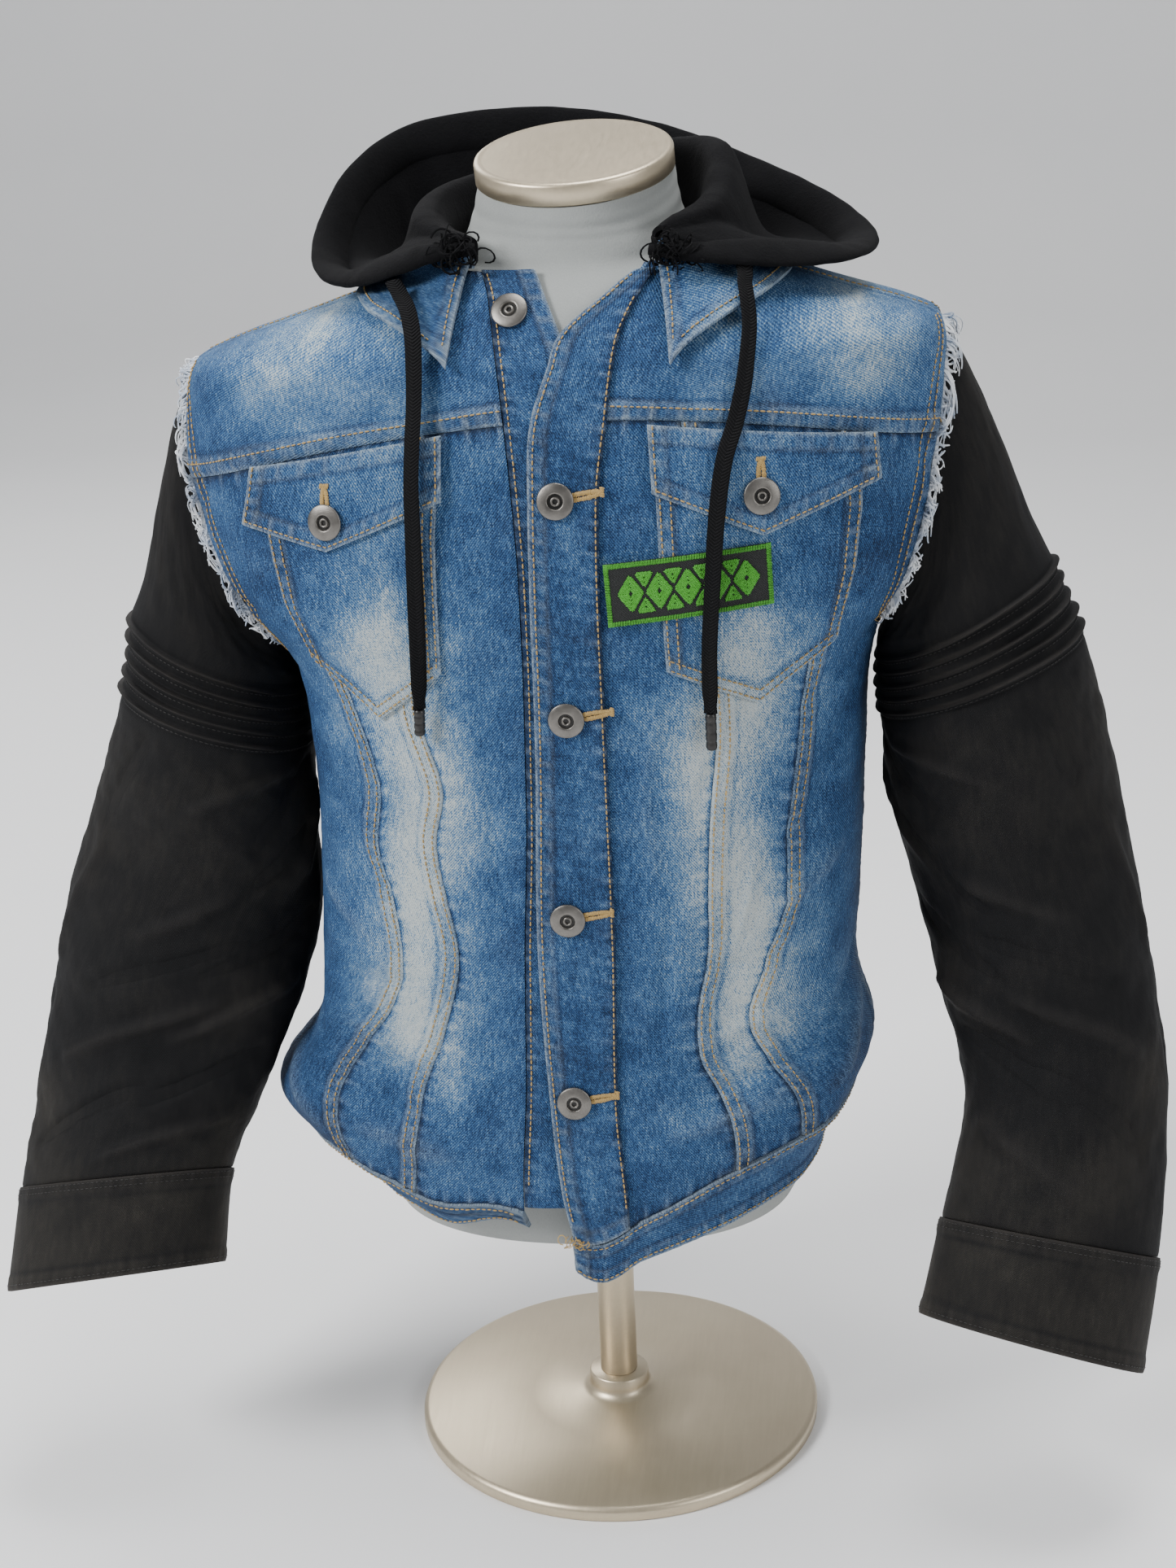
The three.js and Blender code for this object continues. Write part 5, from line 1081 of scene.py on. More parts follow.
def denim_tone(cloth, base):
    """Where the wash has bleached the cloth and where it has stayed dark, with painted shade round the neck under the
    collar and hood and on the sides.
    """
    at = cloth.outer
    x, z = at[..., 0], at[..., 2]
    side, far = np.sign(x), np.abs(x)
    # A bleached band wanders down each front, and fades near the hem and on the chest
    middle = BLEACHED_FAR + BLEACHED_SWAY * np.sin((z - 300) / 40)
    low = np.minimum(step_up(z, 268, 352), 1 - 0.72 * step_up(z, 500, 640))
    bleached = 0.50 * bell(far - middle, 27) * low + 0.16 * bell(far - middle, 52) * low
    pockets = 0.20 * bell(far - POCKET_FAR, 44) * bell(z - 572, 42)
    shoulder_x = np.where(side < 0, SHOULDER_RIGHT, SHOULDER_LEFT)
    shoulders = 0.38 * bell(x - shoulder_x, 36) * bell(z - 744, 36)
    placket = (0.10 * cloud(x * 0.3, z, 6.5, 6) - 0.08) * bell(x, 30) * (1 - step_up(z, 690, 780))
    rough = 0.7 + 0.6 * cloud(x, z, 8, 7)
    marks = sum(pale * bell(x - mark_x, wide) * bell(z - mark_z, tall) * rough
                for mark_x, mark_z, wide, tall, pale in WORN_MARKS)
    # Painted shade round the neck, where the collar and the hood overhang the yokes
    collar = -0.12 * bell(far - 55, 40) * step_up(z, 700, 740)
    # Painted shade on the sides, which turn away from the lamps, from the armholes down
    sides = -0.10 * step_up(far, 140, 172) * (1 - step_up(z, 640, 720))
    cloudy = 0.07 * cloud(x, z, 110, 3) + 0.06 * cloud(x + 9 * side, z, 36, 5)
    return base + bleached + pockets + shoulders + placket + collar + sides + cloudy + marks


def lay_denim(cloth, base, node, held, rests_on, slot="denim"):
    """Lays a piece of washed denim, from its base tone."""
    cloth.lay(washed_denim, slot, denim_tone(cloth, base), node, held, rests_on)


gold_lines = []
for side, label in ((-1, "right"), (1, "left")):
    seams = FRONT_SEAMS[label]
    lines = [lambda v, t=seams[key]: seam_place(t, v, front_deg)
             for key in ("placket", "inner", "outer")]
    lines.append(lambda v, s=side: side_edge(s, v, False))
    for number, part in enumerate(("centre", "middle", "side")):
        near, far = lines[number], lines[number + 1]
        patch = edge_patch(
            lambda u: yoke_run(near(0), far(0), u), lambda u: hem_run(near(1), far(1), u),
            near, far, 46 if part == "side" else 38, PANEL_ROWS)
        laps = {"centre": [("right", "tucked")],
                "middle": [("left", "felled"), ("right", "tucked")],
                "side": [("left", "felled"), ("right", "edge")]}[part]
        cloth = body_cloth(f"denim_front_{part}_{label}", patch,
                           laps + [("top", "tucked"), ("low", "tucked")])
        lay_denim(cloth, 0.02 if part == "middle" else 0.0, f"front_{part}_{label}",
                  held="hung", rests_on=[f"front_yoke_{label}"])
        if part != "centre":
            gold_lines += [cloth.line("left", 2.0), cloth.line("left", 7.8)]
        if part == "side":
            gold_lines += [cloth.line("right", away, 0.0, ARM_SHARE) for away in ARM_STITCHES]
    corner = np.array([front_deg(-44 if side < 0 else 48, NECKLINE), NECKLINE])
    runs = [line(0) for line in lines]

    def yoke_low(u):
        part = min(int(u * 3 + 1e-9), 2)
        return yoke_run(runs[part], runs[part + 1], u * 3 - part)

    def yoke_inner(v):
        z = NECKLINE + (runs[0][1] - NECKLINE) * v
        return np.array([front_deg(seams["placket"].get("x", z), z), z])

    patch = edge_patch(lambda u: corner + (np.array([side * 90, NECKLINE]) - corner) * u,
                       yoke_low, yoke_inner, lambda v: yoke_edge(side, v, False), 90, 70)
    cloth = body_cloth(f"denim_yoke_{label}", patch, [("low", "felled"), ("top", "tucked"),
                                                      ("right", "edge")])
    lay_denim(cloth, 0.02, f"front_yoke_{label}", held="draped", rests_on=["form_torso"],
              slot="pale_denim")
    gold_lines += [cloth.line("low", 8.0)]
    gold_lines += [cloth.line("right", away, 0.58, 1.0) for away in ARM_STITCHES]
    gold_lines += [cloth.line("right", 2.4, 0.0, 0.52)]

    edge_line = lambda v: side_edge(side, v, True)
    back_line = lambda v: seam_place(BACK_SEAM, v, back_deg, side)
    patch = edge_patch(
        lambda u: yoke_run(edge_line(0), back_line(0), u),
        lambda u: hem_run(edge_line(1), back_line(1), u), edge_line, back_line, 50, PANEL_ROWS)
    cloth = body_cloth(f"denim_back_side_{label}", patch, [
        ("left", "edge"), ("right", "felled"), ("top", "tucked"), ("low", "tucked")])
    lay_denim(cloth, 0.0, f"back_side_{label}", held="hung", rests_on=["back_yoke"])
    gold_lines += [cloth.line("right", 2.4), cloth.line("right", 8.6)]
    gold_lines += [cloth.line("left", away, 0.0, ARM_SHARE) for away in ARM_STITCHES]

# Back: a centre panel between two seams that narrow to the waist, under one deep yoke that
# runs over both shoulders.
back_left = lambda v: seam_place(BACK_SEAM, v, back_deg, 1)
back_right = lambda v: full_turn(seam_place(BACK_SEAM, v, back_deg, -1))
patch = edge_patch(lambda u: yoke_run(back_left(0), back_right(0), u),
                   lambda u: hem_run(back_left(1), back_right(1), u),
                   back_left, back_right, 76, PANEL_ROWS)
cloth = body_cloth("denim_back_centre", patch, [("left", "tucked"), ("right", "tucked"),
                                                ("top", "tucked"), ("low", "tucked")])
lay_denim(cloth, 0.0, "back_centre", held="hung", rests_on=["back_yoke"])

stops = [side_edge(1, 0, True), back_left(0), back_right(0), full_turn(side_edge(-1, 0, True))]
counts = (3, 4, 3)


def back_yoke_low(u):
    place, part = u * sum(counts), 0
    while part < 2 and place >= counts[part] - 1e-9:
        place -= counts[part]
        part += 1
    return yoke_run(stops[part], stops[part + 1], place / counts[part])


patch = edge_patch(lambda u: np.array([90 + 180 * u, NECKLINE]), back_yoke_low,
                   lambda v: yoke_edge(1, v, True), lambda v: full_turn(yoke_edge(-1, v, True)),
                   170, 70)
cloth = body_cloth("denim_back_yoke", patch, [("low", "felled"), ("left", "tucked"),
                                              ("right", "tucked"), ("top", "tucked")])
lay_denim(cloth, 0.02, "back_yoke", held="draped", rests_on=["form_torso"], slot="pale_denim")
gold_lines += [cloth.line("low", 8.0)]
gold_lines += [cloth.line(rim, away, 0.58, 1.0)
               for away in ARM_STITCHES for rim in ("left", "right")]
sew("stitches_body", gold_lines, gold_thread, "denim")

# Waistband: two lengths of doubled denim that meet behind. The wearer's right side has
# turned under, so only a sliver of it shows in front.
HEM_STOPS = {
    "right": [180, back_right(1)[0], 270, *(360 + seam_place(
        FRONT_SEAMS["right"][key], 1, front_deg)[0] for key in ("outer", "inner", "placket"))],
    "left": [front_deg(-9, 203), *(seam_place(FRONT_SEAMS["left"][key], 1, front_deg)[0]
                                   for key in ("placket", "inner", "outer")), 90,
             back_left(1)[0], 180],
}
band_lines = []
for label, stops in HEM_STOPS.items():
    def place(u):
        part = min(int(u * (len(stops) - 1) + 1e-9), len(stops) - 2)
        share = u * (len(stops) - 1) - part
        return stops[part] + (stops[part + 1] - stops[part]) * share

    def band_at(u, v):
        deg = place(u)
        away = wrap_deg(deg)
        return np.array([deg, HEM.get("seam", away) - HEM.get("band", away) * v])

    patch = edge_patch(lambda u: band_at(u, 0), lambda u: band_at(u, 1),
                       lambda v: band_at(0, v), lambda v: band_at(1, v), 220, 16)
    cloth = body_cloth(f"denim_waistband_{label}", patch, [("top", "edge"), ("low", "edge"),
                       ("left", "edge"), ("right", "edge")], 0, DENIM + 1, 0.5)
    lay_denim(cloth, 0.02, f"waistband_{label}", held="hung",
              rests_on=[f"front_side_{label}", f"back_side_{label}"])
    band_lines += [cloth.line("top", 2.6, 0.01, 0.99), cloth.line("low", 3.4, 0.01, 0.99)]
sew("stitches_waistband", band_lines, gold_thread, "denim")

# Plackets: the buttonhole strip of the wearer's left front laps over the strip that holds
# the buttons. Both are doubled denim with a row of stitches near each long edge.
LAY_GAP = 0.9
UNDER_TOP, UNDER_FOOT, OVER_TOP = 790, 229.3, 784
UNDER = Rows("z far", [(229.3, 18.4), (600, 18.4), (680, 18.4), (700, 17.5), (735, 13), (756, 4),
                       (775, -5), (790, -12)])
OVER = Rows("z near far", [
    (203.4, -7, 26), (242, -14, 25), (300, -19, 22), (400, -22, 24), (530, -17, 24),
    (670, -15, 25), (710, -13, 30), (740, -3, 34), (756, 4, 38), (775, 29, 48), (784, 43, 55)])


def placket_patch(top, near, far, bottom, across, down):
    """Angles and heights over a strip, with its rows closer together near the top."""
    rows, columns = np.linspace(0, 1, down + 1) ** 1.35, np.linspace(0, 1, across + 1)
    deg, height = np.empty((2, down + 1, across + 1))
    for c, share in enumerate(columns):
        z = top + (bottom(share) - top) * rows
        deg[:, c] = front_deg(near(z) + (far(z) - near(z)) * share, z)
        height[:, c] = z
    return deg, height


patch = placket_patch(UNDER_TOP, lambda z: FRONT_SEAMS["right"]["placket"].get("x", z) + SEAM_GAP,
                      lambda z: UNDER.get("far", z), lambda share: UNDER_FOOT, 22, 230)
under = body_cloth("denim_placket_under", patch, [("left", "tucked"), ("right", "edge")])
lay_denim(under, 0.0, "placket_under", held="hung", rests_on=["front_centre_right"])
patch = placket_patch(OVER_TOP, lambda z: OVER.get("near", z), lambda z: OVER.get("far", z),
                      lambda share: HEM.get("seam", 1 + 9 * share) + 1, 20, 240)
over = body_cloth("denim_placket_over", patch, [("left", "edge"), ("right", "tucked"),
                                                ("low", "edge")], DENIM + LAY_GAP)
lay_denim(over, 0.03, "placket_over", held="hung", rests_on=["placket_under"])
sew("stitches_plackets", [under.line("left", 3.0, 0.02, 0.98), over.line("left", 3.2, 0.02, 0.98),
                          over.line("right", 1.6, 0.06, 0.98)], gold_thread, "denim")

# Chest pockets with pointed flaps: single denim patches topstitched twice round, each under a
# doubled flap. Over the wearer's left one lies a dark patch with a stitched green border.
CHEST = {
    # each edge is a short list of places in x and z
    "pocket_right": (((-170, 687), (-63, 704)), ((-147, 577), (-108, 542), (-69, 573)),
                     ((-170, 687), (-168, 650), (-162, 612), (-147, 577)),
                     ((-63, 704), (-68, 654), (-69, 573))),
    "pocket_left": (((55, 704), (168, 688)), ((59, 569), (109, 543), (152, 573)),
                    ((55, 704), (57, 640), (59, 569)),
                    ((168, 688), (168, 650), (164, 618), (152, 573))),
    "flap_right": (((-175, 691), (-62, 708)), ((-183, 658), (-131, 645), (-63, 672)),
                   ((-175, 691), (-183, 658)), ((-62, 708), (-63, 672))),
    "flap_left": (((52, 708), (175, 691)), ((54, 671), (114, 643), (177, 665)),
                  ((52, 708), (54, 671)), ((175, 691), (177, 665))),
    "chest_patch": (((26, 634), (118, 639)), ((28, 598), (119, 604)),
                    ((26, 634), (28, 598)), ((118, 639), (119, 604))),
}
POCKET_LIFT = DENIM + LAY_GAP
FLAP_LIFT = POCKET_LIFT + DENIM + LAY_GAP
PATCH_SIZE = (92, 36)
PATCH_THICK = 1.2


def along_list(places):
    """A function of a share that runs through a short list of places."""
    places = np.array(places, float)

    def at(share):
        spot = share * (len(places) - 1)
        part = min(int(spot), len(places) - 2)
        return places[part] + (places[part + 1] - places[part]) * (spot - part)
    return at


def chest_cloth(name, edges, across, down, rims, lift, thick, relief_share):
    x, z = edge_patch(*(along_list(edge) for edge in edges), across, down)
    return body_cloth(name, (front_deg(x, z), z), rims, lift, thick, relief_share)


patch_cloth = Finish("patch_cloth")
patch_uv = cloth_place(patch_cloth)
rib = patch_cloth.add("ShaderNodeTexWave", {"wave_type": "BANDS", "bands_direction": "DIAGONAL"},
                      {"Vector": patch_uv, "Scale": 420.0, "Distortion": 1.5, "Detail": 2.0})
patch_fuzz = patch_cloth.noise(patch_uv, 1400.0)
dark_patch = patch_cloth.surface(
    bump=rib + patch_fuzz, depth=0.0006, strength=0.8, Roughness=0.75,
    Base_Color=patch_cloth.mix(rib * 0.6 + patch_fuzz * 0.4, (0.002, 0.0025, 0.0025),
                               (0.016, 0.018, 0.018)))
green_thread = plain_finish("green_thread", 1200.0, 0.5, (0.030, 0.200, 0.012),
                            (0.085, 0.440, 0.030), strength=0.5)

chest_lines = []
for name, edges in CHEST.items():
    kind, side_name = name.split("_")
    if kind == "pocket":
        cloth = chest_cloth(f"denim_{name}", edges, 46, 60, [
            ("left", "edge"), ("right", "edge"), ("low", "edge")], POCKET_LIFT, DENIM, 0.8)
        lay_denim(cloth, -0.02, name, held="hung", rests_on=[f"front_middle_{side_name}"])
        chest_lines += [cloth.line(rim, away, 0.03 if rim == "low" else 0.14, 0.97)
                        for rim in ("left", "right", "low") for away in (2.2, 8.2)]
    elif kind == "flap":
        cloth = chest_cloth(f"denim_{name}", edges, 60, 26, [
            ("left", "edge"), ("right", "edge"), ("low", "edge"), ("top", "edge")],
            FLAP_LIFT, DENIM, 0.7)
        lay_denim(cloth, -0.04, name, held="hung", rests_on=[f"pocket_{side_name}"])
        chest_lines += [cloth.line(rim, 2.8, 0.03, 0.97) for rim in ("left", "right", "low")]
    else:
        patch_piece = chest_cloth("patch_ground", edges, 60, 26, [], FLAP_LIFT, PATCH_THICK, 0.5)
        patch_piece.lay(dark_patch, "patch_cloth", 0.0, name, held="laid", rests_on=["pocket_left"])
sew("stitches_chest", chest_lines, gold_thread, "denim")

border = [patch_piece.line(rim, away, 0.0, 1.0) for away in (0.9, 2.1)
          for rim in ("left", "right", "top", "low")]
sew("patch_border", border, green_thread, "patch_cloth", pitch=0.9, length=2.0, thick=0.75,
    turned=math.radians(82))


def patch_line(places):
    """A line over the patch, by shares of its width and height."""
    places = np.array(places, float)
    far = far_along(places * PATCH_SIZE)
    stops = np.linspace(0, far[-1], max(int(far[-1] / 0.8), 3))
    u, v = (np.interp(stops, far, places[:, k]) for k in range(2))
    rows, columns = patch_piece.outer.shape[:2]
    r, c = v * (rows - 1), u * (columns - 1)
    i, j = (np.minimum(r.astype(int), rows - 2), np.minimum(c.astype(int), columns - 2))
    f, g = (r - i)[:, None], (c - j)[:, None]
    grid = patch_piece.outer
    at = ((grid[i, j] * (1 - g) + grid[i, j + 1] * g) * (1 - f)
          + (grid[i + 1, j] * (1 - g) + grid[i + 1, j + 1] * g) * f)
    return at, patch_piece.out[i, j]


# The motif is a plain geometric one: a row of filled diamonds, with half ones between them
DIAMONDS = 5
DIAMOND_STEP = 0.172
DIAMOND_HALF = (0.072, 0.27)
HALF_DIAMOND_WIDE = 0.045
FILL_SHARES = (1.0, 0.78, 0.56, 0.34)
motif = []
for k in range(DIAMONDS):
    centre = 0.5 + (k - (DIAMONDS - 1) / 2) * DIAMOND_STEP
    for share in FILL_SHARES:
        across, up = (half * share for half in DIAMOND_HALF)
        motif.append(patch_line([(centre - across, 0.5), (centre, 0.5 - up), (centre + across, 0.5),
                                 (centre, 0.5 + up), (centre - across, 0.5)]))
for k in range(DIAMONDS - 1):
    centre = 0.5 + (k + 1 - DIAMONDS / 2) * DIAMOND_STEP
    for edge, tip in ((0.20, 0.40), (0.80, 0.60)):
        for share in FILL_SHARES[::2]:
            middle = edge + (tip - edge) * (1 - share) * 0.4
            wide = HALF_DIAMOND_WIDE * share
            near_tip, far_tip = (centre - wide, middle), (centre + wide, middle)
            inner_tip = (centre, middle + (tip - middle) * share)
            motif.append(patch_line([near_tip, far_tip, inner_tip, near_tip]))
sew("patch_motif", motif, green_thread, "patch_cloth", pitch=0.8, length=2.3, thick=0.85,
    turned=math.radians(68))

# Buttons: two-part steel tack buttons with a rolled rim and an open eyelet, hammered through
# the cloth. Four close the front, two the flaps, and the top one is left unfastened.
BUTTON_GAP = 0.35
BUTTONS = [
    # name, place in x and z, thickness of the cloth below
    ("top", -25, 769, DENIM), ("1", 1, 670, POCKET_LIFT + DENIM),
    ("2", 2, 544, POCKET_LIFT + DENIM), ("3", -3, 419, POCKET_LIFT + DENIM),
    ("4", -4, 300, POCKET_LIFT + DENIM), ("flap_right", -130, 662, FLAP_LIFT + DENIM),
    ("flap_left", 113, 665, FLAP_LIFT + DENIM)]
BUTTON_PROFILE = [
    (0.01, 0.0), (6.0, 0.0), (9.7, 0.5), (10.4, 1.0), (10.5, 1.5), (10.3, 2.05), (9.9, 2.3),
    (9.0, 2.6), (7.6, 2.95), (6.2, 3.15), (5.2, 3.2), (4.7, 3.1), (4.4, 2.7), (4.25, 1.9),
    (4.0, 1.5), (3.2, 1.45), (2.9, 1.7), (2.75, 2.3), (2.5, 2.75), (2.1, 2.9), (1.7, 2.75),
    (1.45, 2.3), (1.35, 1.2), (0.01, 1.0)]
# A black disc that fills each button's eyelet recess: painted shade in the hollow
BUTTON_SHADE_DISC = [(0.01, 1.2), (4.2, 1.2), (4.2, 1.62), (0.01, 1.62)]


def front_spot(x, z, lift, relief_share=0.0):
    """Place over the front by x, height and lift, with a share of its creases, and its normal."""
    deg = front_deg(x, z)
    out = body_normal(deg, z)
    rise = lift + body_relief(deg, z) * relief_share
    return body_point(deg, z) + out * rise[..., None], out


def turned_piece(name, profile, foot, axis, material, sides=64):
    """A lathe-turned piece, from radii and heights along an axis."""
    axis = unit(np.asarray(axis, float))
    aside = unit(np.cross(axis, [0.0, 1.0, 0.0] if abs(axis[1]) < 0.9 else [1.0, 0.0, 0.0]))
    other = np.cross(axis, aside)
    a = np.linspace(0, 2 * np.pi, sides, endpoint=False)
    spokes = np.cos(a)[:, None] * aside + np.sin(a)[:, None] * other
    rings = [np.asarray(foot) + axis * height + spokes * radius for radius, height in profile]
    return mesh_object(name, np.concatenate(rings), tube_faces(len(profile), sides), material)


hole_lines = []
for name, x, z, lift in BUTTONS:
    foot, out = front_spot(x, z, lift + BUTTON_GAP)
    obj = turned_piece(f"tack_button_{name}", BUTTON_PROFILE, foot, out, dark_steel)
    set_in(obj, "dark_steel", [f"button_{name}"])
    # Painted shade: a black disc sits in the eyelet's recess
    shade_disc = turned_piece(f"button_shade_disc_{name}", BUTTON_SHADE_DISC, foot, out, black_metal)
    set_in(shade_disc, "dark_steel")
    if name == "top":
        continue
    # Buttonhole: thread wound close round a slit that runs out from under the button, and a
    # bar of thread across its end
    upright = "flap" in name
    reach = np.linspace(0, 2 * np.pi, 60)
    long, middle = (9.0, 10.0) if upright else (10.5, 14.5)
    bar = np.linspace(-2.6, 2.6, 12)
    for run, aside in ((middle + long * np.cos(reach), 1.5 * np.sin(reach)),
                       (middle + long + 0.9 + bar * 0, bar)):
        u, v = (aside, run) if upright else (run, aside + 0.14 * run)
        hole_lines.append(front_spot(x + u, z + v, lift, 0.9))
sew("buttonholes", hole_lines, gold_thread, "denim", pitch=0.7, length=3.0, thick=1.2,
    turned=math.radians(80))

# Collar: a pointed shirt collar in two plies of denim with a stand. It rolls over above the
# neck seam and its leaf lies down on the yokes, with worn pale edges.
COLLAR_WALL = 2.4
COLLAR_LIFT = DENIM + LAY_GAP + COLLAR_WALL / 2 + 0.8
COLLAR_FRONT_RISE = 3.4
COLLAR_ENDS = (37, 323)
COLLAR_ROWS = 46
COLLAR = Rows("deg roll outX outY", [
    (37, 7, -10, -46), (48, 13, -28, -36), (62, 18, -42, -24), (90, 22, -46, 0),
    (135, 24, -24, 26), (180, 25, 0, 33)])


def shoulder_spot(x, y):
    """The surface over a place in plan, and its normal."""
    x, y = np.broadcast_arrays(np.asarray(x, float), np.asarray(y, float))
    low, high = np.full(x.shape, 690.0), np.full(x.shape, 800.0)

    def shares(z):
        depth = np.where(y < 0, BODY.get("front", z), BODY.get("back", z))
        return (x - BODY.get("centre", z)) / BODY.get("half", z), -y / depth

    for _ in range(30):
        z = (low + high) / 2
        across, deep = shares(z)
        inside = np.abs(across) ** ROUNDNESS + np.abs(deep) ** ROUNDNESS < 1
        low, high = np.where(inside, z, low), np.where(inside, high, z)
    across, deep = shares(low)
    s, c = signed_power(across, ROUNDNESS / 2), signed_power(deep, ROUNDNESS / 2)
    deg = np.degrees(np.arctan2(s, c))
    return body_point(deg, low), body_normal(deg, low)


def collar_section(deg, count):
    """The collar's middle line at one bearing: up from the neck seam, over, and down the leaf."""
    sign = 1 if deg <= 180 else -1
    away = deg if deg <= 180 else 360 - deg
    roll = COLLAR.get("roll", away)
    out = np.array([-sign * COLLAR.get("outX", away), COLLAR.get("outY", away), 0.0])
    reach = np.linalg.norm(out)
    out = out / reach
    foot = body_point(deg, NECKLINE)
    rise = lambda step, height: foot + out * step + np.array([0, 0, height])

    def leaf(share):
        p = foot + out * reach * share
        at, normal = shoulder_spot(p[0], p[1])
        extra = COLLAR_FRONT_RISE * share * (1 - step_up(away, 40, 85))
        return at + normal * (COLLAR_LIFT + extra)

    fall = leaf(0.42)
    crest = rise(6, roll - 1)
    keys = [rise(0.4, 1.7), rise(0, 1.7 + (roll - 1.7) * 0.55), rise(0.6, roll - 1),
            rise(3, roll + 1.5), crest, (crest + fall) / 2 + out, fall, leaf(0.7), leaf(1)]
    return smooth_path(keys, count)


def sheet_cloth(name, middle, thick, relief=0.0, rims=()):
    """Cloth of one thickness about a middle surface."""
    across, down = np.gradient(middle, axis=1), np.gradient(middle, axis=0)
    out = unit(np.cross(across, down))
    return Cloth(name, middle, out, -thick / 2, thick, relief, rims)


turns = np.linspace(*COLLAR_ENDS, 220)
middle = np.array([collar_section(deg, COLLAR_ROWS) for deg in turns])
ripple = 0.25 * cloud(turns[:, None] * 1.6, np.arange(COLLAR_ROWS)[None] * 1.9, 26, 6)
collar = sheet_cloth("denim_collar", middle, COLLAR_WALL, ripple, [
    ("right", "edge"), ("top", "edge"), ("low", "edge")])
lay_denim(collar, 0.02, "collar", held="folded",
          rests_on=["front_yoke_left", "front_yoke_right", "back_yoke"])
sew("stitches_collar", [collar.line("right", 5.2, 0.01, 0.99), collar.line("top", 4.6, 0.5, 0.97),
                        collar.line("low", 4.6, 0.5, 0.97)], gold_thread, "denim")

# Sleeves: faded black cotton twill, sewn under the armhole of the denim body, with five pin
# tucks round the upper arm and a plain cuff with two rows of black stitches.
TWILL = 1.4
ARM_NAMES = "s x y z across deep tilt pitch"
ARMS = {
    -1: Rows(ARM_NAMES, [
        (0, 230, -5, 562, 58, 66, 27, 4), (1, 236, -6, 513, 62, 66, 20, 4),
        (2, 247, -7, 460, 70, 64, 12, 6), (3, 261, -9, 392, 82, 62, 9, 12),
        (4, 277, -22, 328, 81, 58, 5, 20), (5, 296, -47, 268, 76, 54, 0, 26),
        (6, 307, -74, 222, 70, 50, -5, 28), (7, 313, -100, 164, 72, 49, -8, 28)]),
    1: Rows(ARM_NAMES, [
        (0, 229, -5, 566, 58, 66, 27, 4), (1, 240, -6, 520, 65, 66, 20, 4),
        (2, 251, -7, 467, 68, 63, 13, 6), (3, 267, -9, 391, 68, 60, 9, 12),
        (4, 282, -22, 322, 66, 56, 3, 20), (5, 295, -45, 250, 64, 52, -4, 26),
        (6, 284, -76, 170, 69, 50, -13, 28), (7, 272, -102, 110, 72, 49, -18, 28)])}
TUCKS = 5
TUCK_RISE = 3.0
ARM_FOLDS = [
    # down the arm, round it, length, width in degrees, rise
    (3.2, 150, 0.5, 26, -8), (2.6, 60, 0.4, 30, -6), (3.7, 75, 0.35, 34, 5),
    (4.5, 110, 0.4, 30, -5), (5.2, 40, 0.45, 30, -5), (1.8, 100, 0.35, 34, 4),
    (3.0, 250, 0.5, 40, 6), (4.4, 230, 0.4, 34, -5), (2.2, 280, 0.5, 34, -4)]
ARM_CREASES = {
    # from place down and round the arm, to place down and round it, width, depth
    -1: [(1.15, 170, 2.3, 128, 5, -3.0), (1.2, 150, 1.9, 92, 5, 2.2), (1.6, 185, 2.8, 150, 5, 2.6),
         (2.1, 165, 3.0, 110, 5, -3.2), (2.6, 140, 3.3, 76, 5, 2.6), (3.0, 172, 3.7, 112, 5, -3.4),
         (3.3, 128, 3.9, 62, 5, -2.6), (3.7, 166, 4.4, 104, 5, 3.0), (4.0, 118, 4.6, 52, 5, 2.6),
         (4.5, 160, 5.1, 98, 5, -3.0), (4.9, 96, 5.5, 36, 5, -2.4), (5.3, 150, 5.8, 84, 5, 2.4),
         (1.1, 60, 2.2, 42, 6, -2.0), (2.4, 40, 3.6, 24, 6, 1.8), (4.0, 16, 5.4, 8, 6, -1.8),
         (1.2, 210, 2.1, 262, 6, -2.8), (1.9, 200, 2.8, 262, 6, 2.4), (2.8, 208, 3.5, 276, 6, -3.0),
         (3.5, 214, 4.1, 282, 6, 2.8), (4.2, 206, 4.8, 270, 6, -2.6), (4.9, 214, 5.4, 286, 6, 2.4),
         (1.3, 300, 2.6, 330, 6, 1.8), (3.0, 310, 4.2, 338, 6, -2.0), (4.4, 322, 5.6, 346, 6, 1.8)],
    1: [(1.12, 176, 2.2, 132, 5, -3.0), (1.3, 154, 2.0, 98, 5, 2.3), (1.7, 190, 2.7, 146, 5, 2.4),
        (2.2, 168, 3.2, 116, 5, -3.0), (2.8, 134, 3.4, 70, 5, 2.4), (3.1, 176, 3.9, 120, 5, -3.2),
        (3.5, 124, 4.0, 58, 5, -2.8), (3.9, 168, 4.5, 108, 5, 3.2), (4.1, 112, 4.6, 48, 5, 2.8),
        (4.4, 158, 5.0, 92, 5, -3.2), (4.8, 104, 5.3, 40, 5, -2.6), (5.2, 146, 5.7, 80, 5, 2.2),
        (1.1, 66, 2.4, 50, 6, -1.8), (2.6, 34, 3.8, 20, 6, 1.8), (4.2, 12, 5.5, 2, 6, -1.8),
        (1.3, 214, 2.2, 268, 6, -2.6), (2.0, 204, 2.9, 264, 6, 2.4), (2.9, 210, 3.6, 280, 6, -2.8),
        (3.6, 212, 4.2, 280, 6, 2.6), (4.3, 206, 4.9, 272, 6, -2.8), (5.0, 214, 5.5, 288, 6, 2.2),
        (1.4, 304, 2.7, 334, 6, 1.8), (3.2, 312, 4.3, 340, 6, -2.0), (4.6, 324, 5.7, 348, 6, 1.8)]}
MM_PER_STATION = 66
MM_PER_TURN = 1.12
SLEEVE_POINTS = 176
HEAD_TILT = math.radians(27)
CAP_START = -0.98
CUFF_START = 6.004


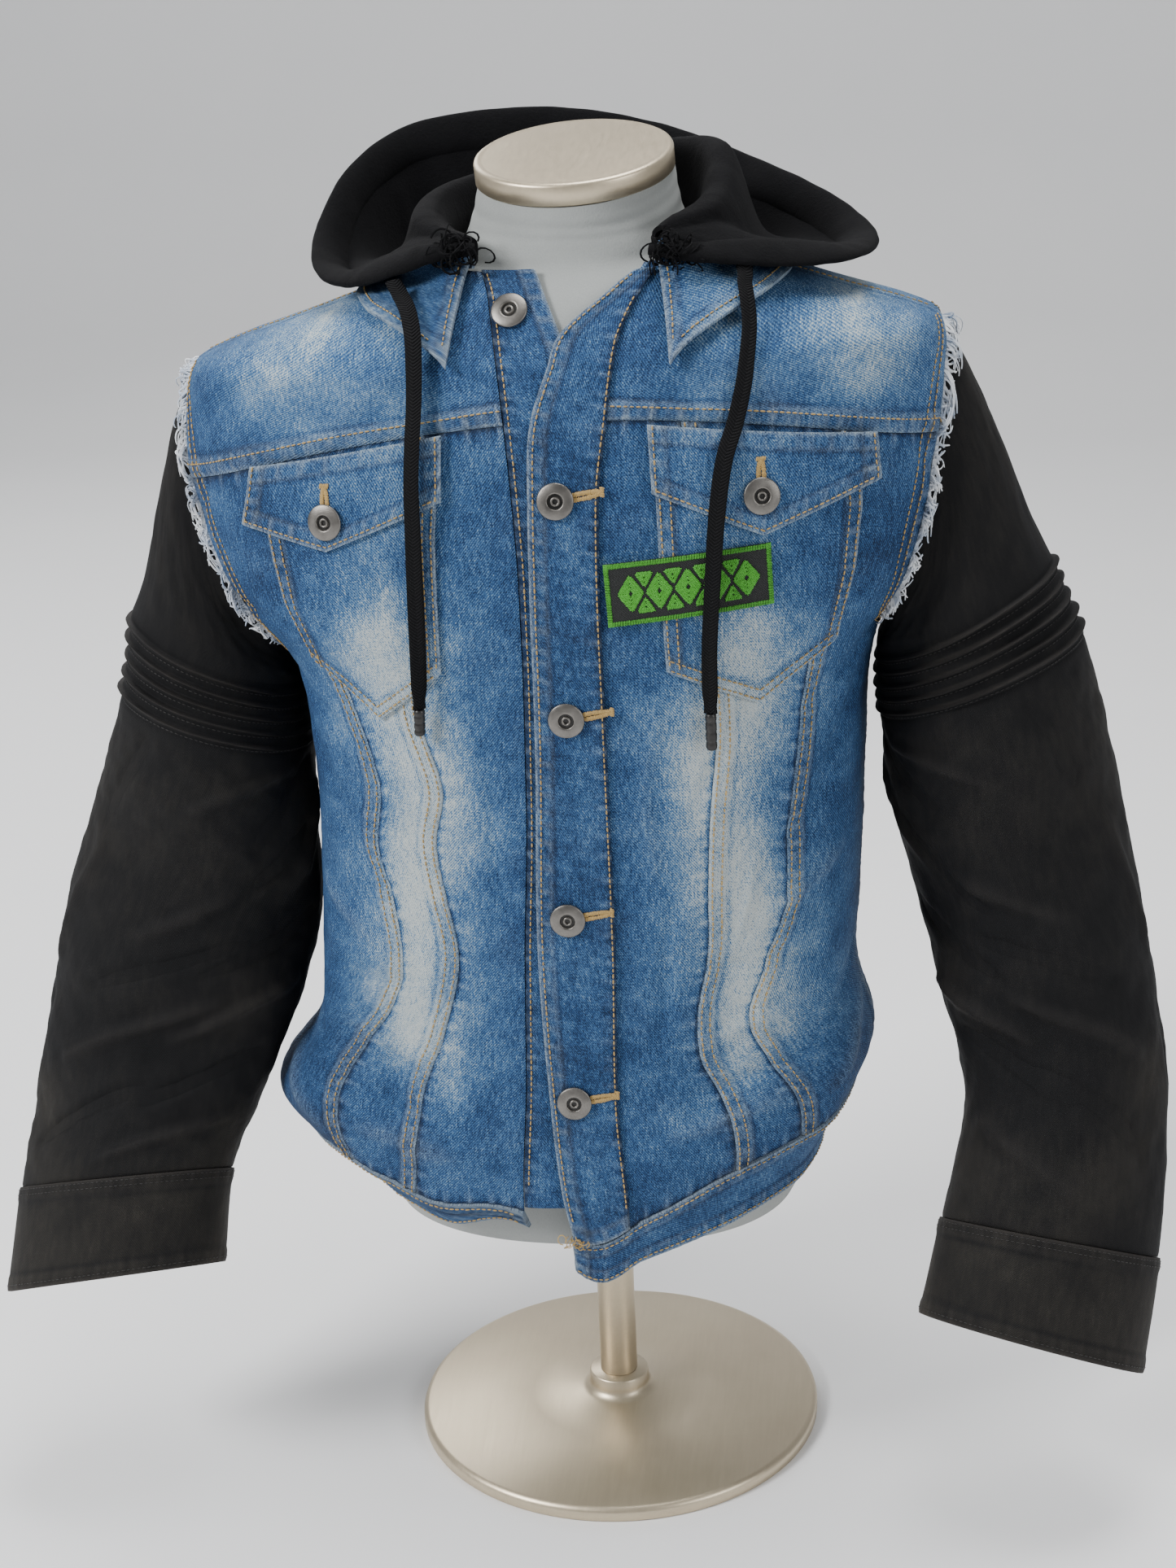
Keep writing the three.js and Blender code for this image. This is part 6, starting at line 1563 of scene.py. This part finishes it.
def arm_ring(side, s, turn_deg):
    """Outer face of the arm's tube at a station down it and a turn round it.

    The tucks lie between stations 0 and 1, and the cuff between 6 and 7.
    """
    get = lambda key: ARMS[side].get(key, s)
    turn, tilt, pitch = (np.radians(v) for v in (turn_deg, get("tilt"), get("pitch")))
    slip = 0.016 * np.sin(turn * 2 + side) + 0.010 * np.sin(turn * 5 + 2 * side)
    tuck = np.where((s > 0) & (s < 1), 0.5 - 0.5 * np.cos(2 * np.pi * TUCKS * (s + slip)), 0)
    uneven = 1 + 0.25 * np.sin(turn * 3 + s * 9 + side)
    swell = TUCK_RISE * uneven * tuck ** 8 * step_up(s, 0.0, 0.05) * (1 - step_up(s, 0.95, 1.0))
    for at, around, long, wide, rise in ARM_FOLDS:
        swell = swell + rise * bell(s - at, long) * bell(wrap_deg(turn_deg - around), wide)
    a = (get("across") + swell) * np.cos(turn)
    b = (get("deep") + swell) * np.sin(turn)
    x = side * (get("x") + a * np.cos(tilt))
    y = get("y") - b * np.cos(pitch)
    z = get("z") + a * np.sin(tilt) + b * np.sin(pitch)
    return np.stack([x, y, z + LEAN * x], -1)


def sleeve_point(side, s, turn_deg):
    """Outer face of a sleeve: a cap from the armhole for s below 0, then the arm's tube."""
    s, turn_deg = np.broadcast_arrays(np.asarray(s, float), np.asarray(turn_deg, float))
    tube = arm_ring(side, np.maximum(s, 0), turn_deg)
    t = np.clip(s + 1, 0, 1)[..., None]
    turn = np.radians(turn_deg)
    start = body_point(*armhole_at(side, turn))
    end = arm_ring(side, np.zeros_like(s), turn_deg)
    under = ((0.5 - 0.5 * np.cos(turn)) ** 3)
    span = np.linalg.norm(end - start, axis=-1, keepdims=True)
    leave = np.stack([side * (0.55 + 0.95 * under), 0 * under, -0.8 + 0.95 * under], -1)
    arrive = np.array([side * math.sin(HEAD_TILT), 0, -math.cos(HEAD_TILT)])
    cap = (start * (2 * t ** 3 - 3 * t ** 2 + 1) + leave * (t ** 3 - 2 * t ** 2 + t) * span
           + end * (3 * t ** 2 - 2 * t ** 3) + arrive * (t ** 3 - t ** 2) * span)
    return np.where((s < 0)[..., None], cap, tube)


def sleeve_normal(side, s, turn_deg):
    surface = lambda a, b: sleeve_point(side, a, b)
    return normal_of(surface, np.maximum(s, CAP_START), turn_deg, 0.02, 4) * -side


def sleeve_cloth(name, side, stations, thick, relief_share, rims=()):
    """Part of a sleeve over its stations, with its creases and a share of their relief."""
    round_it = np.linspace(0, 360, SLEEVE_POINTS, endpoint=False)
    s, turn = np.meshgrid(stations, round_it, indexing="ij")
    creases = [(turn_0, s_0, turn_1, s_1, wide, depth)
               for s_0, turn_0, s_1, turn_1, wide, depth in ARM_CREASES[side]]
    relief = crease_relief(turn, s, creases, MM_PER_TURN, MM_PER_STATION, 360)
    sweep, down = np.abs(wrap_deg(turn)) * MM_PER_TURN, s * MM_PER_STATION
    relief += 0.40 * cloud(sweep, down, 40, 4 + side)
    relief += 0.16 * cloud(sweep, down, 15, 8 + side)
    relief *= relief_share * step_up(s, -0.95, -0.6) * (1 - 0.85 * step_up(s, 5.6, 6.0))
    relief *= 1 - 0.7 * step_up(s, -0.2, 0.0) * (1 - step_up(s, 1.0, 1.25))
    made = Cloth(name, sleeve_point(side, s, turn), sleeve_normal(side, s, turn), -TWILL, thick,
                 relief, rims, round_way=True)
    made.wear *= 0.4
    made.stations, made.turns = s, turn
    return made


twill = Finish("black_twill")
twill_uv = cloth_place(twill)
twill_tone = carried(twill, "tone")
twill_wear = carried(twill, "wear")
fine = twill.noise(twill_uv, 1300.0, 2.0, 0.6)
drag = twill.noise(twill_uv, 240.0, 3.0, 0.6, stretch=(1.0, 0.25, 1.0))
bloom = twill.noise(twill_uv, 22.0, 4.0, 0.6)
rib_x, rib_y = cloth_parts(twill, twill_uv)
rib_line = ribs(twill, rib_x * 4700.0 + rib_y * 4300.0)
broad = twill.noise(twill_uv, 7.0, 2.0, 0.5)
dye = (twill_tone + 0.34 + (broad - 0.5) * 1.3 + (bloom - 0.5) * 0.6 + (drag - 0.5) * 0.40
       + (fine - 0.5) * 0.6 + (rib_line - 0.5) * 0.12)
black_dye = twill.add("ShaderNodeValToRGB", {"stops": [
    (0.0, (0.0020, 0.0022, 0.0028)), (0.35, (0.0046, 0.0046, 0.0052)),
    (0.7, (0.017, 0.0155, 0.0135)), (1.0, (0.044, 0.039, 0.033))]}, {0: dye})
black_twill = twill.surface(
    bump=rib_line * 0.3 + drag * 0.6 + fine * 0.5, depth=0.0006, strength=0.7,
    Base_Color=twill.mix(twill_wear * (0.3 + fine * 0.7), black_dye, (0.070, 0.062, 0.056)),
    Roughness=0.72 + (fine - 0.5) * 0.12, Specular_IOR_Level=0.16)
black_thread = plain_finish("black_thread", 1100.0, 0.55, (0.004, 0.004, 0.0045),
                            (0.030, 0.027, 0.025), strength=0.5)

for side, label in ((-1, "right"), (1, "left")):
    head_stations = np.concatenate([np.linspace(-0.995, -0.02, 56), np.linspace(0, 0.999, 101)])
    for part, stations in (("head", head_stations), ("arm", np.linspace(1.001, 5.997, 150))):
        cloth = sleeve_cloth(f"twill_sleeve_{part}_{label}", side, stations, TWILL, 1.5)
        s, turn = cloth.stations, cloth.turns
        ridge = np.where((s > 0) & (s < 1), (0.5 - 0.5 * np.cos(2 * np.pi * TUCKS * s)) ** 6, 0)
        cloth.wear = np.clip(cloth.wear + 0.35 * ridge, 0, 1)
        brown = 0.16 * step_up(s, 3.4, 5.8) + 0.10 * ridge - 0.06 * bell(s - 0.1, 0.8)
        rests = [f"sleeve_head_{label}"]
        if part == "head":
            head, rests = cloth, [f"front_yoke_{label}", "back_yoke"]
        cloth.lay(black_twill, "twill", brown, f"sleeve_{part}_{label}", held="hung",
                  rests_on=rests)
    cuff = sleeve_cloth(f"twill_cuff_{label}", side, np.linspace(CUFF_START, 7, 26), TWILL + 1, 0.6,
                        [("top", "edge"), ("low", "edge")])
    cuff.lay(black_twill, "twill", 0.18, f"cuff_{label}", held="hung",
             rests_on=[f"sleeve_arm_{label}"])
    # Two rows at the cuff's seam and one under each tuck
    rows = [cuff.line("top", away) for away in (2.0, 5.5)] + [cuff.line("low", 3.5)]
    for tuck in range(TUCKS):
        row = int(np.argmin(np.abs(head_stations - (tuck + 0.85) / TUCKS)))
        rows.append((head.outer[row], head.out[row]))
    rows = [(np.vstack([at, at[:1]]), np.vstack([ups, ups[:1]])) for at, ups in rows]
    sew(f"stitches_sleeve_{label}", rows, black_thread, "twill", pitch=3.2, length=2.4, thick=0.6)

# Frayed armholes: the denim was cut off here, and its white and blue warp has worked loose in
# a band of soft threads that hang over the sleeve.
FRAY_END = 8.6
STRANDS = 392
TUFT = 7
STRAND_RINGS = 9
STRIP_NEAR = 0.6
strand_rng = np.random.default_rng(31)
white = Finish("white_thread")
white_place = object_place(white)
white_speck = white.noise(white_place, 1000.0)
white_tuft = white.noise(white_place, 60.0)
white_thread = white.surface(
    bump=white_speck, depth=0.0002, strength=0.5, Roughness=0.9,
    Base_Color=white.mix((white_tuft - 0.5) * 2.6 + 0.78 + (white_speck - 0.5) * 0.6,
                         (0.10, 0.20, 0.36), (0.80, 0.82, 0.84)))


def fray_spot(side, step, away):
    """Place on a sleeve's cap at a distance from the armhole's edge, and its normal."""
    turn = step * 360 / ARMHOLE_STEPS
    span = np.linalg.norm(sleeve_point(side, -1.0, turn) - sleeve_point(side, 0.0, turn), axis=-1)
    s = -1 + away / span
    return sleeve_point(side, s, turn), sleeve_normal(side, s, turn)


class Threads:
    """Loose threads with four sides each, gathered into one piece."""

    def __init__(self):
        self.points = []
        self.faces = []

    def add(self, middles, facing, wide, thick):
        """One thread along its middles, with its broad side towards facing."""
        along = unit(np.gradient(middles, axis=0))
        across = unit(np.cross(along, facing))
        rings = ring_points(middles, across, unit(np.cross(across, along)), wide, thick, 4)
        base = len(self.points) * STRAND_RINGS * 4
        self.points.append(rings.reshape(-1, 3))
        self.faces += [[base + k for k in face] for face in tube_faces(STRAND_RINGS, 4)]

    def make(self, name, material, slot):
        set_in(mesh_object(name, np.concatenate(self.points), self.faces, material), slot)


for side, label in ((-1, "right"), (1, "left")):
    steps = np.linspace(-FRAY_END, FRAY_END, 260)
    ragged = (3.4 + 1.2 * cloud(steps * 20, steps * 0, 9, 3)
              + 0.8 * cloud(steps * 20, steps * 0, 2.6, 5))
    spots = [fray_spot(side, steps, STRIP_NEAR + share * ragged) for share in np.linspace(0, 1, 5)]
    grid, outs = (np.array(rows) for rows in zip(*spots))
    strip = Cloth(f"fray_band_{label}", grid, outs, 0.4, 0.9)
    strip.make(white_thread, "white_thread", 0.0, [f"frayed_edge_{label}"])
    strands = Threads()
    lean = strand_rng.normal(0, 0.30, STRANDS // TUFT)
    loft = strand_rng.uniform(1.5, 7.0, STRANDS // TUFT)
    for number in range(STRANDS):
        tuft = number // TUFT
        centre = -FRAY_END + 2 * FRAY_END * (tuft + 0.5) * TUFT / STRANDS
        step = centre + strand_rng.normal(0, 0.16)
        length = strand_rng.uniform(4.5, 13.5) * (1.15 if abs(step) < 3 else 0.95)
        drift = lean[tuft] + strand_rng.normal(0, 0.16)
        curl = strand_rng.uniform(-1.0, 1.0)
        shares = np.linspace(0, 1, STRAND_RINGS)
        sway = (step + drift * shares ** 1.5
                + 0.11 * curl * np.sin(shares * strand_rng.uniform(2.5, 7.0)))
        at, out = fray_spot(side, sway, 1.0 + length * shares * (1 - 0.3 * abs(curl) * shares))
        lift = 0.8 + loft[tuft] * strand_rng.uniform(0.3, 1.2) * np.sin(shares * 2.6)
        thick = strand_rng.uniform(0.9, 1.7) * (1 - 0.45 * shares)
        strands.add(at + out * lift[:, None], out, thick, thick)
    strands.make(f"fray_strands_{label}", white_thread, "white_thread")

# Worn streak: low on the front the blue warp has rubbed away along a seam, and the bared weft
# shows as short pale threads across it.
bared = []
streak_z = np.linspace(338, 266, 40)
for shift in (-3.2, 0.0, 2.6):
    streak_x = np.interp(streak_z, (268, 300, 336), (-69, -74, -86)) + shift
    streak_x = streak_x + 1.6 * np.sin(streak_z / 5)
    bared.append(front_spot(streak_x, streak_z, DENIM / 2, 1.0))
sew("bared_weft", bared, white_thread, "denim", pitch=1.3, length=3.8, thick=0.55,
    turned=math.radians(78))

# Hood: black brushed fleece, pushed back so that it lies in a trough round the neck. Its
# opening ends in a thick rolled casing that the drawstrings run through.
FLEECE = 3.0
CASING = Rows("i x y z wide tip ridge", [
    (0, -46, -72, 803, 4, -20, 807), (1, -66, -74, 803, 7, -30, 810),
    (2, -90, -66, 797, 10, -35, 812), (3, -114, -48, 789, 12, -25, 816),
    (4, -133, -24, 785, 13, 5, 819), (5, -146, 10, 789, 13, 30, 822),
    (6, -150, 50, 802, 13, 50, 824), (7, -142, 92, 824, 13, 65, 826),
    (8, -115, 128, 841, 13, 72, 828), (9, -68, 144, 846, 13, 75, 830),
    (10, -15, 149, 843, 13, 75, 832), (11, 40, 142, 831, 13, 72, 836),
    (12, 90, 122, 813, 13, 66, 840), (13, 136, 86, 795, 13, 50, 842),
    (14, 161, 44, 783, 13, 30, 840), (15, 166, 6, 780, 13, 5, 832),
    (16, 154, -28, 783, 13, -15, 822), (17, 130, -50, 787, 12, -30, 818),
    (18, 102, -64, 791, 10, -35, 814), (19, 76, -74, 794, 7, -30, 811),
    (20, 52, -74, 797, 4, -20, 804)])
CASING_THICK = 4
NECK_CENTRE = 3
HOOD_LIFT = COLLAR_LIFT + COLLAR_WALL / 2 + FLEECE / 2 + 5
HOOD_FLOOR = 744
HOOD_LAP = 2.0
HOOD_ROWS = 64
HOOD_DEPTH = 110
MM_PER_RIM_PLACE = 22.0


def casing_spot(i):
    """Middle of the casing at a place round the rim, its two ways across, and its half width."""
    get = lambda key, place=i: CASING.get(key, place)
    at = lambda place: np.array([get("x", place), get("y", place),
                                 get("z", place) + LEAN * get("x", place)])
    along = unit(at(min(i + 0.2, 20)) - at(max(i - 0.2, 0)))
    outward = unit(np.array([along[1], -along[0], 0.0]))
    if outward @ np.array([get("x") - NECK_CENTRE, get("y"), 0.0]) < 0:
        outward = -outward
    tip = math.radians(get("tip"))
    wide = outward * math.cos(tip) + np.array([0, 0, math.sin(tip)])
    return at(i), wide, unit(np.cross(along, wide)), float(get("wide"))


def hood_section(i, count):
    """The hood's middle line at a place round its rim: up from the neck, over and out to it."""
    middle, wide, _, half = casing_spot(i)
    end = middle - wide * (half - HOOD_LAP)
    bearing = math.atan2(end[0] - NECK_CENTRE, -end[1])
    turn = math.copysign(max(abs(bearing), math.radians(36)), bearing)
    foot = body_point(math.degrees(turn), NECKLINE)
    inward = unit(np.array([NECK_CENTRE - foot[0], -foot[1], 0.0]))
    root = foot + inward * 4.4
    root[2] = foot[2] + 5
    top = foot - inward * 3
    top[2] = CASING.get("ridge", i) + LEAN * foot[0]
    reach = np.array([end[0] - foot[0], end[1] - foot[1], 0.0])
    dip = step_up(np.linalg.norm(reach), 28, 70)

    def ground(share):
        p = foot + reach * share
        at, out = shoulder_spot(p[0], p[1])
        low = max(at[2] + HOOD_LIFT / max(out[2], 0.35), HOOD_FLOOR + LEAN * p[0])
        level = top[2] + (end[2] - top[2]) * share
        p[2] = max(low, level + (low - level) * dip)
        return p

    low = np.array([root[0], root[1], min(root[2] + 16, top[2] - 4)])
    over = foot - inward * min(12, np.linalg.norm(reach) * 0.3)
    over[2] = max(top[2] - 1, ground(0.1)[2])
    return smooth_path([root, low, top, over, ground(0.42), ground(0.7), end], count)


fleece = Finish("black_fleece")
fleece_place = object_place(fleece)
nap = fleece.noise(fleece_place, 520.0, 4.0, 0.7)
pile = fleece.noise(fleece_place, 1900.0, 2.0, 0.6)
matted = fleece.noise(fleece_place, 45.0, 3.0, 0.6)
black_fleece = fleece.surface(
    bump=nap + pile * 0.6, depth=0.0011, strength=0.8, Roughness=0.95,
    Base_Color=fleece.mix(nap * 0.4 + matted * 0.4 + pile * 0.2, (0.0014, 0.0014, 0.0018),
                          (0.0100, 0.0100, 0.0112)),
    Specular_IOR_Level=0.07, Sheen_Weight=0.02, Sheen_Roughness=0.5)

stations = np.linspace(0.4, 19.6, 240)
middle = np.array([hood_section(i, HOOD_ROWS) for i in stations])
place, down = np.meshgrid(stations, np.linspace(0, 1, HOOD_ROWS), indexing="ij")
HOOD_CREASES = [
    # place round the rim and share across, from and to, width, depth
    (3, 0.3, 4.4, 0.9, 6, -3.0), (4.4, 0.45, 5.6, 0.98, 7, 2.6), (6, 0.3, 6.8, 0.95, 7, -3.2),
    (7.6, 0.4, 7.2, 1.0, 7, 2.8), (9, 0.3, 8.6, 0.9, 8, -3.0), (10.4, 0.45, 10.6, 0.95, 8, 2.6),
    (11.6, 0.35, 12, 0.9, 7, -3.2), (13, 0.3, 13.4, 0.9, 7, 2.8), (14.4, 0.4, 14.2, 0.96, 7, -2.8),
    (15.6, 0.35, 15.2, 0.9, 6, 2.4), (16.8, 0.3, 16.4, 0.9, 6, -2.4), (5, 0.62, 8, 0.66, 6, 1.8),
    (9, 0.72, 13, 0.68, 6, -1.8), (13.5, 0.6, 17, 0.64, 6, 1.6)]
relief = crease_relief(place, down, HOOD_CREASES, MM_PER_RIM_PLACE, HOOD_DEPTH)
relief = relief * step_up(down, 0.25, 0.45) * (1 - step_up(down, 0.94, 1.0))
sweep, drop = place * MM_PER_RIM_PLACE, down * HOOD_DEPTH
relief = relief + 0.5 * cloud(sweep, drop, 46, 9) + 0.2 * cloud(sweep, drop, 17, 10)
hood = sheet_cloth("fleece_hood", middle, FLEECE, relief)
hood.lay(black_fleece, "fleece", 0.0, "hood", held="folded", rests_on=["collar", "back_yoke"])

middles, outs = [], []
lengths = np.linspace(0, 20, 260)
a = np.linspace(0, 2 * np.pi, 26, endpoint=False)
for i in lengths:
    at, wide, thick_way, half = casing_spot(i)
    lumpy = 1 + 0.04 * math.sin(i * 5.1) + 0.03 * math.sin(i * 11.7 + 1)
    fat = min(CASING_THICK, half * 0.7) * lumpy
    middles.append(at + wide * (half * np.cos(a))[:, None]
                   + thick_way * (fat * np.sin(a))[:, None])
    outs.append(unit(wide * (np.cos(a) / half)[:, None] + thick_way * (np.sin(a) / fat)[:, None]))
relief = 0.35 * cloud(lengths[:, None] * 42, a[None] * 8, 30, 12)
casing = Cloth("fleece_casing", np.array(middles), np.array(outs), -1.6, 1.6, relief,
               round_way=True)
casing.lay(black_fleece, "fleece", 0.0, "hood_casing", held="folded", rests_on=["hood"])

# Loose ends: the casing is left raw at both ends, and the hood's overlocked edges curl out of
# it. Loose topstitching curls out of the hem's corner in the same way.
scrap_rng = np.random.default_rng(47)


def curled_threads(name, hearts, count, spread, reaches, thick, material, slot):
    """Short curled threads in a loose bunch round each heart."""
    threads = Threads()
    for heart in hearts:
        for _ in range(count):
            shares = np.linspace(0, 1, STRAND_RINGS)[:, None]
            start = heart + scrap_rng.normal(0, 1, 3) * spread
            heading = unit(scrap_rng.normal(0, 1, 3))
            aside = unit(np.cross(heading, scrap_rng.normal(0, 1, 3)))
            reach = scrap_rng.uniform(*reaches)
            twist = scrap_rng.uniform(3, 6)
            middles = start + reach * (heading * np.sin(shares * twist)
                                       + aside * (1 - np.cos(shares * twist)))
            threads.add(middles, np.cross(heading, aside)[None], thick, thick * 0.8)
    threads.make(name, material, slot)


casing_ends = [casing_spot(end)[0] for end in (0.6, 19.4)]
curled_threads("overlock_scraps", casing_ends, 55, (5.5, 3.0, 2.6), (3, 7), 1.2,
               black_fleece, "fleece")
hem_corner = over.outer[-1, 0] + over.out[-1, 0] * 0.6
curled_threads("hem_threads", [hem_corner], 22, (2.4, 0.8, 1.6), (1.2, 3.0), 0.7,
               gold_thread, "denim")

# Dress form: a hard torso covered in light grey jersey, with no arms or head. The neck ends in
# a brushed champagne cap, and a pole and a round base carry it.
FORM = Rows("z half front back centre", [
    (186, 132, 106, 84, -8), (200, 138, 111, 88, -8), (300, 147, 113, 90, -6),
    (400, 150, 113, 86, -3), (500, 155, 117, 93, -1), (566, 163, 122, 100, -1),
    (600, 171, 125, 104, -2), (640, 183, 125, 106, -4), (680, 195, 120.5, 105.5, -6),
    (715, 205, 113.5, 101, -7), (733, 208, 108.5, 97.5, -6), (740, 206, 107.3, 96.4, -6),
    (746, 199.5, 105.6, 95.6, -5), (760, 156.6, 95.7, 86.7, -2), (775, 112.8, 84.7, 75.7, 1),
    (782, 92, 78, 70, 2), (789, 72, 70, 60, 3), (796, 68, 67, 56, 3.5), (812, 62, 65, 52, 4),
    (835, 57, 64, 50, 5)])
NECK_TOP = 835
CAP_TILT = math.radians(12)
FORM_SIDES = 160


def form_point(deg, z):
    """Point on the dress form by its angle from the front and its height."""
    s, c = np.sin(np.radians(deg)), np.cos(np.radians(deg))
    power = 2 / (ROUNDNESS + (2 - ROUNDNESS) * step_up(z, 782, 820))
    depth = np.where(c > 0, FORM.get("front", z), FORM.get("back", z))
    x = FORM.get("half", z) * signed_power(s, power) + FORM.get("centre", z)
    y = -depth * signed_power(c, power)
    slant = step_up(z, 789, NECK_TOP) * math.tan(CAP_TILT)
    return np.stack([x, y, z + LEAN * x * step_up(z, 300, 560) + slant * y], -1)


jersey = Finish("grey_jersey")
jersey_place = object_place(jersey)
knit = jersey.noise(jersey_place, 1300.0, 2.0, 0.6, stretch=(1.0, 1.0, 0.5))
shade = jersey.noise(jersey_place, 35.0, 3.0, 0.5)
grey_jersey = jersey.surface(
    bump=knit, depth=0.0005, strength=0.5, Roughness=0.9,
    Base_Color=jersey.mix(knit * 0.5 + shade * 0.5, (0.24, 0.255, 0.25), (0.36, 0.375, 0.365)))
champagne = Finish("champagne_metal")
champagne_place = object_place(champagne)
brushed = champagne.noise(champagne_place, 420.0, 3.0, 0.6, stretch=(1.0, 0.06, 1.0))
cloudy = champagne.noise(champagne_place, 30.0)
champagne_metal = champagne.surface(
    bump=brushed, depth=0.0002, strength=0.2, Metallic=0.9,
    Base_Color=champagne.mix(brushed * 0.5 + cloudy * 0.5, (0.50, 0.42, 0.30), (0.68, 0.59, 0.44)),
    Roughness=0.34 + brushed * 0.12)

heights = np.concatenate([np.linspace(186, 700, 90), np.linspace(704, 790, 44),
                          np.linspace(791, NECK_TOP, 46)])
turns = np.linspace(0, 360, FORM_SIDES, endpoint=False)
deg, z = np.meshgrid(turns, heights)
grid = form_point(deg, z)
out = unit(grid - np.stack([FORM.get("centre", z), 0 * z, grid[..., 2]], -1))
wrinkle = 0.24 * np.sin(z / 1.9 + 0.9 * np.sin(np.radians(deg) * 3)) * bell(z - 817, 12)
grid = grid + out * (wrinkle - 0.5 * bell(z - 817, 14))[..., None]
torso = mesh_object("jersey_torso", grid.reshape(-1, 3), tube_faces(len(heights), FORM_SIDES),
                    grey_jersey)
set_in(torso, "jersey", ["form_torso"])

slope = unit(np.array([-LEAN, -math.tan(CAP_TILT), 1.0]))
cap_foot = np.array([5.0, -7.0, NECK_TOP + LEAN * 5 - math.tan(CAP_TILT) * 7 + 0.4])
# Profiles of the turned metal pieces: radius and height
CAP_PROFILE = [(0.01, 0), (57.2, 0), (58, 0.8), (58, 11.0), (57.4, 12.2), (56.2, 12.9),
               (54.8, 13.1), (53.6, 12.8), (52.8, 12.9), (30, 13.7), (0.01, 14.0)]
POLE_PROFILE = [(0.01, 30.3), (12.5, 30.3), (12.5, 40), (12.5, 180), (12.5, 185.7), (0.01, 185.7)]
BASE_PROFILE = [(0.01, 0), (134, 0), (135, 1), (135, 6), (134.2, 8.4), (131, 10), (60, 13),
                (26, 16), (21, 19), (20, 22), (20, 29), (19, 30), (0.01, 30)]
upright_way = (0, 0, 1)
for name, node, profile, foot, axis, sides in (
        ("cap_disc", "neck_cap", CAP_PROFILE, cap_foot, slope, 128),
        ("pole_tube", "stand_pole", POLE_PROFILE, np.zeros(3), upright_way, 64),
        ("base_disc", "stand_base", BASE_PROFILE, np.zeros(3), upright_way, 128)):
    set_in(turned_piece(name, profile, foot, axis, champagne_metal, sides), "nickel", [node])

with open("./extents.json", "w") as out_file:
    json.dump({"cad": [list(map(float, v)) for v in cad_box],
               "visual": [list(map(float, v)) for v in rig.bounds()]}, out_file)
